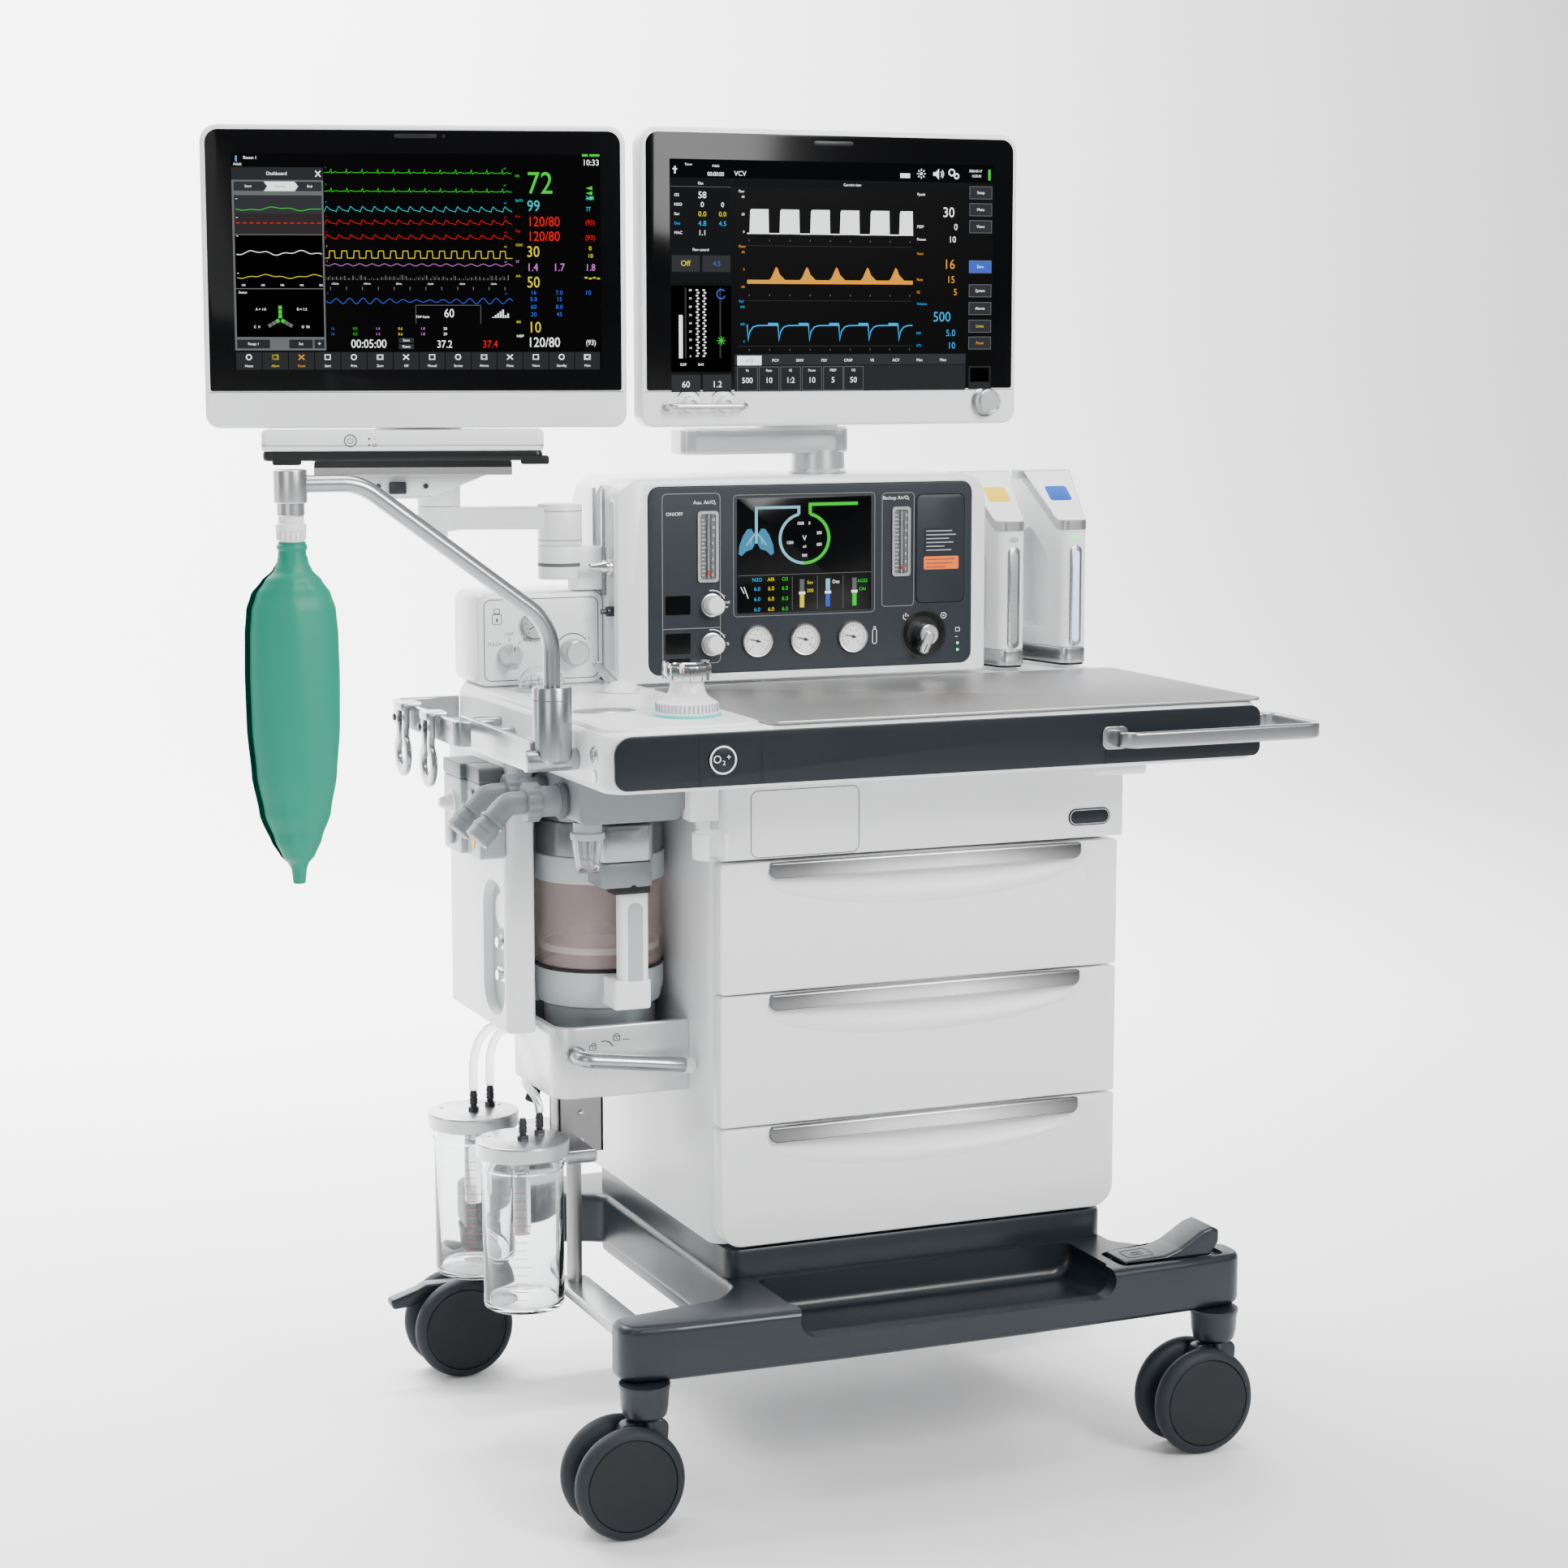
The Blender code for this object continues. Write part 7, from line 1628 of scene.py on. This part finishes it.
sw = HOUSING_Y[0] + 2.2 - GAP
put("switch_cap", turn(join(lathe([(0, sw - 20), (10.6, sw - 20), (12, sw - 18.4), (12, sw), (0, sw)], (155, 930), "y", 56), prism(rounded([(149, 906), (161, 906), (161, 934), (149, 934)], 5.4, 5), "y", HOUSING_Y[0] - 22, HOUSING_Y[0] - 10, 2.4, 3)), math.radians(25), (155, 0, 930), "Y"), "silver", "switch", "master_switch", sharp=32)
put("switch_line", turn(box(154.3, 155.7, HOUSING_Y[0] - 22.4, HOUSING_Y[0] - 21.8, 908, 918), math.radians(25), (155, 0, 930), "Y"), "ink_black", "switch")
put("switch_dish_ring", lathe([(26.6, F + 0.2), (29.6, F + 0.2), (29.6, F - 0.5), (26.6, F - 0.7)][::-1], (155, 930), "y", 64), "black_plastic", "frame")
put("switch_dish_floor", lathe([(13, F + 2.6), (21, F + 2.6), (27, F - 1.6), (27, F - 2.0), (20.6, F + 2.2), (13, F + 2.2)][::-1], (155, 930), "y", 56), "black_plastic", "frame")

# status screen: tube loop, gauge and level columns
s = Sheet("sd", "frame", -87.0, 1097.0, 172 / 165, F - 0.5, 908, 613, kz=135 / 139)


def ring_line(cu_, cv_, r, a0, a1, w, color, n=40, layer=2):
    s.line([(cu_ + r * math.cos(math.radians(a0 + (a1 - a0) * k / n)), cv_ - r * math.sin(math.radians(a0 + (a1 - a0) * k / n))) for k in range(n + 1)], w, color, layer)


s.line([(931, 668), (931, 625), (983, 625), (983, 634)], 3.4, "pale")
ring_line(990, 663, 30, 104, 268, 3.4, "pale")
ring_line(990, 663, 30, -92, 76, 3.8, "green")
s.line([(997, 634), (997, 622), (1056, 622)], 4.0, "green")
for sx in (-1, 1):
    lobe = [(931 + sx * 2.4, 656), (931 + sx * 6, 650), (931 + sx * 11, 650.5), (931 + sx * 16, 658), (931 + sx * 20.5, 670), (931 + sx * 21.6, 680), (931 + sx * 18, 682.6), (931 + sx * 12, 677), (931 + sx * 5, 674.6), (931 + sx * 2.4, 670)]
    s.poly(lobe if sx > 0 else lobe[::-1], "lung", 1.6)
    s.line([(931, 655), (931 + sx * 6, 661), (931 + sx * 12, 670)], 1.6, "pale", 2.4)
    s.line([(931 + sx * 6, 661), (931 + sx * 7, 669)], 1.0, "pale", 2.4)
for t, u, v in (("1500", 985, 645), ("0", 996, 645), ("300", 1008, 657), ("600", 1008, 671), ("900", 990, 684), ("1200", 972, 668), ("ml", 990, 673)):
    s.text(t, u, v, 3.4, "white", squeeze=0.9)
s.text("V", 990, 663, 6.0, "white")
s.bar(909, 706, 1073, 706.7, "grey")
for u, c, lab in ((932, "sky", "N2O"), (949, "yellow", "AIR"), (966, "green", "O2")):
    s.text(lab, u, 712, 4.2, c)
    for q in range(3):
        s.text("6.0", u, 723 + 12.5 * q, 4.6, c if q else c)
s.line([(912, 720), (916, 728)], 0.9, "white")
s.line([(916, 720), (921, 734)], 0.9, "white")
for u in (975, 1006, 1038):
    s.bar(u - 0.3, 709, u + 0.3, 750, "grey")
for u, c, t1, t2 in ((987, "yellow", "Sev", "200"), (1019, "white", "Des", ""), (1052, "green", "AGSS", "ON")):
    s.bar(u - 3.4, 712, u + 3.4, 748, "dim", 1.2)
    s.bar(u - 2.6, 713, u + 2.6, 747, "pale" if c == "white" else "grey", 1.5)
    s.bar(u - 2.6, 713 + (14 if c == "white" else 18), u + 2.6, 747, c if c != "white" else "blue", 2)
    s.bar(u - 3.8, 728, u + 3.8, 731, "white", 2.4)
    s.text(t1, u + 10, 717, 4.0, c)
    s.text(t2, u + 10, 727, 4.0, c) if t2 else None
s.finish()

# ---------------------------------------------------------------- floor, light and camera
shader("floor", (0.86, 0.86, 0.865), 0.55, grain=0.05, grain_scale=300, vary=0.04, wear=0.006)
fm = bpy.data.meshes.new("floor")
fb = bmesh.new()
rows = []
prof = [(-9.0, 0.0)] + [(4.0 + 1.6 * math.sin(math.radians(a)), 1.6 - 1.6 * math.cos(math.radians(a))) for a in range(0, 91, 5)] + [(5.6, 7.0)]
for yy, zz in prof:
    rows.append([fb.verts.new((-12.0, yy, zz)), fb.verts.new((12.0, yy, zz))])
for p, q in zip(rows, rows[1:]):
    fb.faces.new((p[0], p[1], q[1], q[0]))
fb.to_mesh(fm)
fb.free()
floor_obj = bpy.data.objects.new("floor", fm)
bpy.context.scene.collection.objects.link(floor_obj)
fm.materials.append(MATS["floor"])
for p in fm.polygons:
    p.use_smooth = True
wm = bpy.data.meshes.new("floor_wide")
wm.from_pydata([(-70, -70, -0.002), (70, -70, -0.002), (70, 3.9, -0.002), (-70, 3.9, -0.002)], [], [(0, 1, 2, 3)])
wide_obj = bpy.data.objects.new("floor_wide", wm)
bpy.context.scene.collection.objects.link(wide_obj)
wm.materials.append(MATS["floor"])

world = bpy.data.worlds.new("studio")
bpy.context.scene.world = world
world.use_nodes = True
bg = world.node_tree.nodes["Background"]
bg.inputs["Strength"].default_value = 0.52
wc = world.node_tree.nodes.new("ShaderNodeTexCoord")
ws = world.node_tree.nodes.new("ShaderNodeSeparateXYZ")
wr = world.node_tree.nodes.new("ShaderNodeValToRGB")
world.node_tree.links.new(wc.outputs["Generated"], ws.inputs["Vector"])
world.node_tree.links.new(ws.outputs["Z"], wr.inputs["Fac"])
world.node_tree.links.new(wr.outputs["Color"], bg.inputs["Color"])
wr.color_ramp.elements[0].position = 0.0
wr.color_ramp.elements[0].color = (0.30, 0.305, 0.31, 1)
wr.color_ramp.elements[1].position = 0.55
wr.color_ramp.elements[1].color = (1.0, 1.0, 1.0, 1)


def area(name, loc, aim, size, power, size_y=None, color=(1, 1, 1)):
    li = bpy.data.lights.new(name, "AREA")
    li.energy = power
    li.size = size
    li.color = color
    if size_y:
        li.shape = "RECTANGLE"
        li.size_y = size_y
    ob = bpy.data.objects.new(name, li)
    ob.location = loc
    ob.rotation_euler = (Vector(aim) - Vector(loc)).to_track_quat("-Z", "Y").to_euler()
    bpy.context.scene.collection.objects.link(ob)
    return ob


area("key", (1.5, -3.7, 2.9), (0.0, 0.0, 0.9), 1.3, 215, 1.9)
area("fill", (-2.6, -2.8, 1.9), (0.0, 0.0, 0.7), 1.4, 28, 2.2)
area("rim_left", (-3.0, 0.8, 1.7), (-0.3, 0.0, 0.8), 0.5, 16, 2.4)
area("rim_right", (2.6, 1.4, 2.2), (0.2, 0.0, 0.9), 0.9, 32, 2.0)
area("top", (0.1, -0.2, 3.6), (0.0, 0.0, 0.9), 2.0, 84, 1.6)

area("backdrop", (0.0, 2.4, 3.6), (0.0, 5.0, 1.2), 3.0, 950, 1.4)
area("floor_wash", (-1.2, 2.2, 3.4), (-0.6, 1.8, 0.0), 3.0, 230, 2.0)

cam_data = bpy.data.cameras.new("camera")
cam_data.lens = 74.53
cam_data.sensor_width = 36
camera = bpy.data.objects.new("camera", cam_data)
camera.location = (-1.37025, -3.46045, 1.293)
camera.rotation_euler = (math.radians(90 - 7.98), 0, math.radians(-22.8))
bpy.context.scene.collection.objects.link(camera)
bpy.context.scene.camera = camera
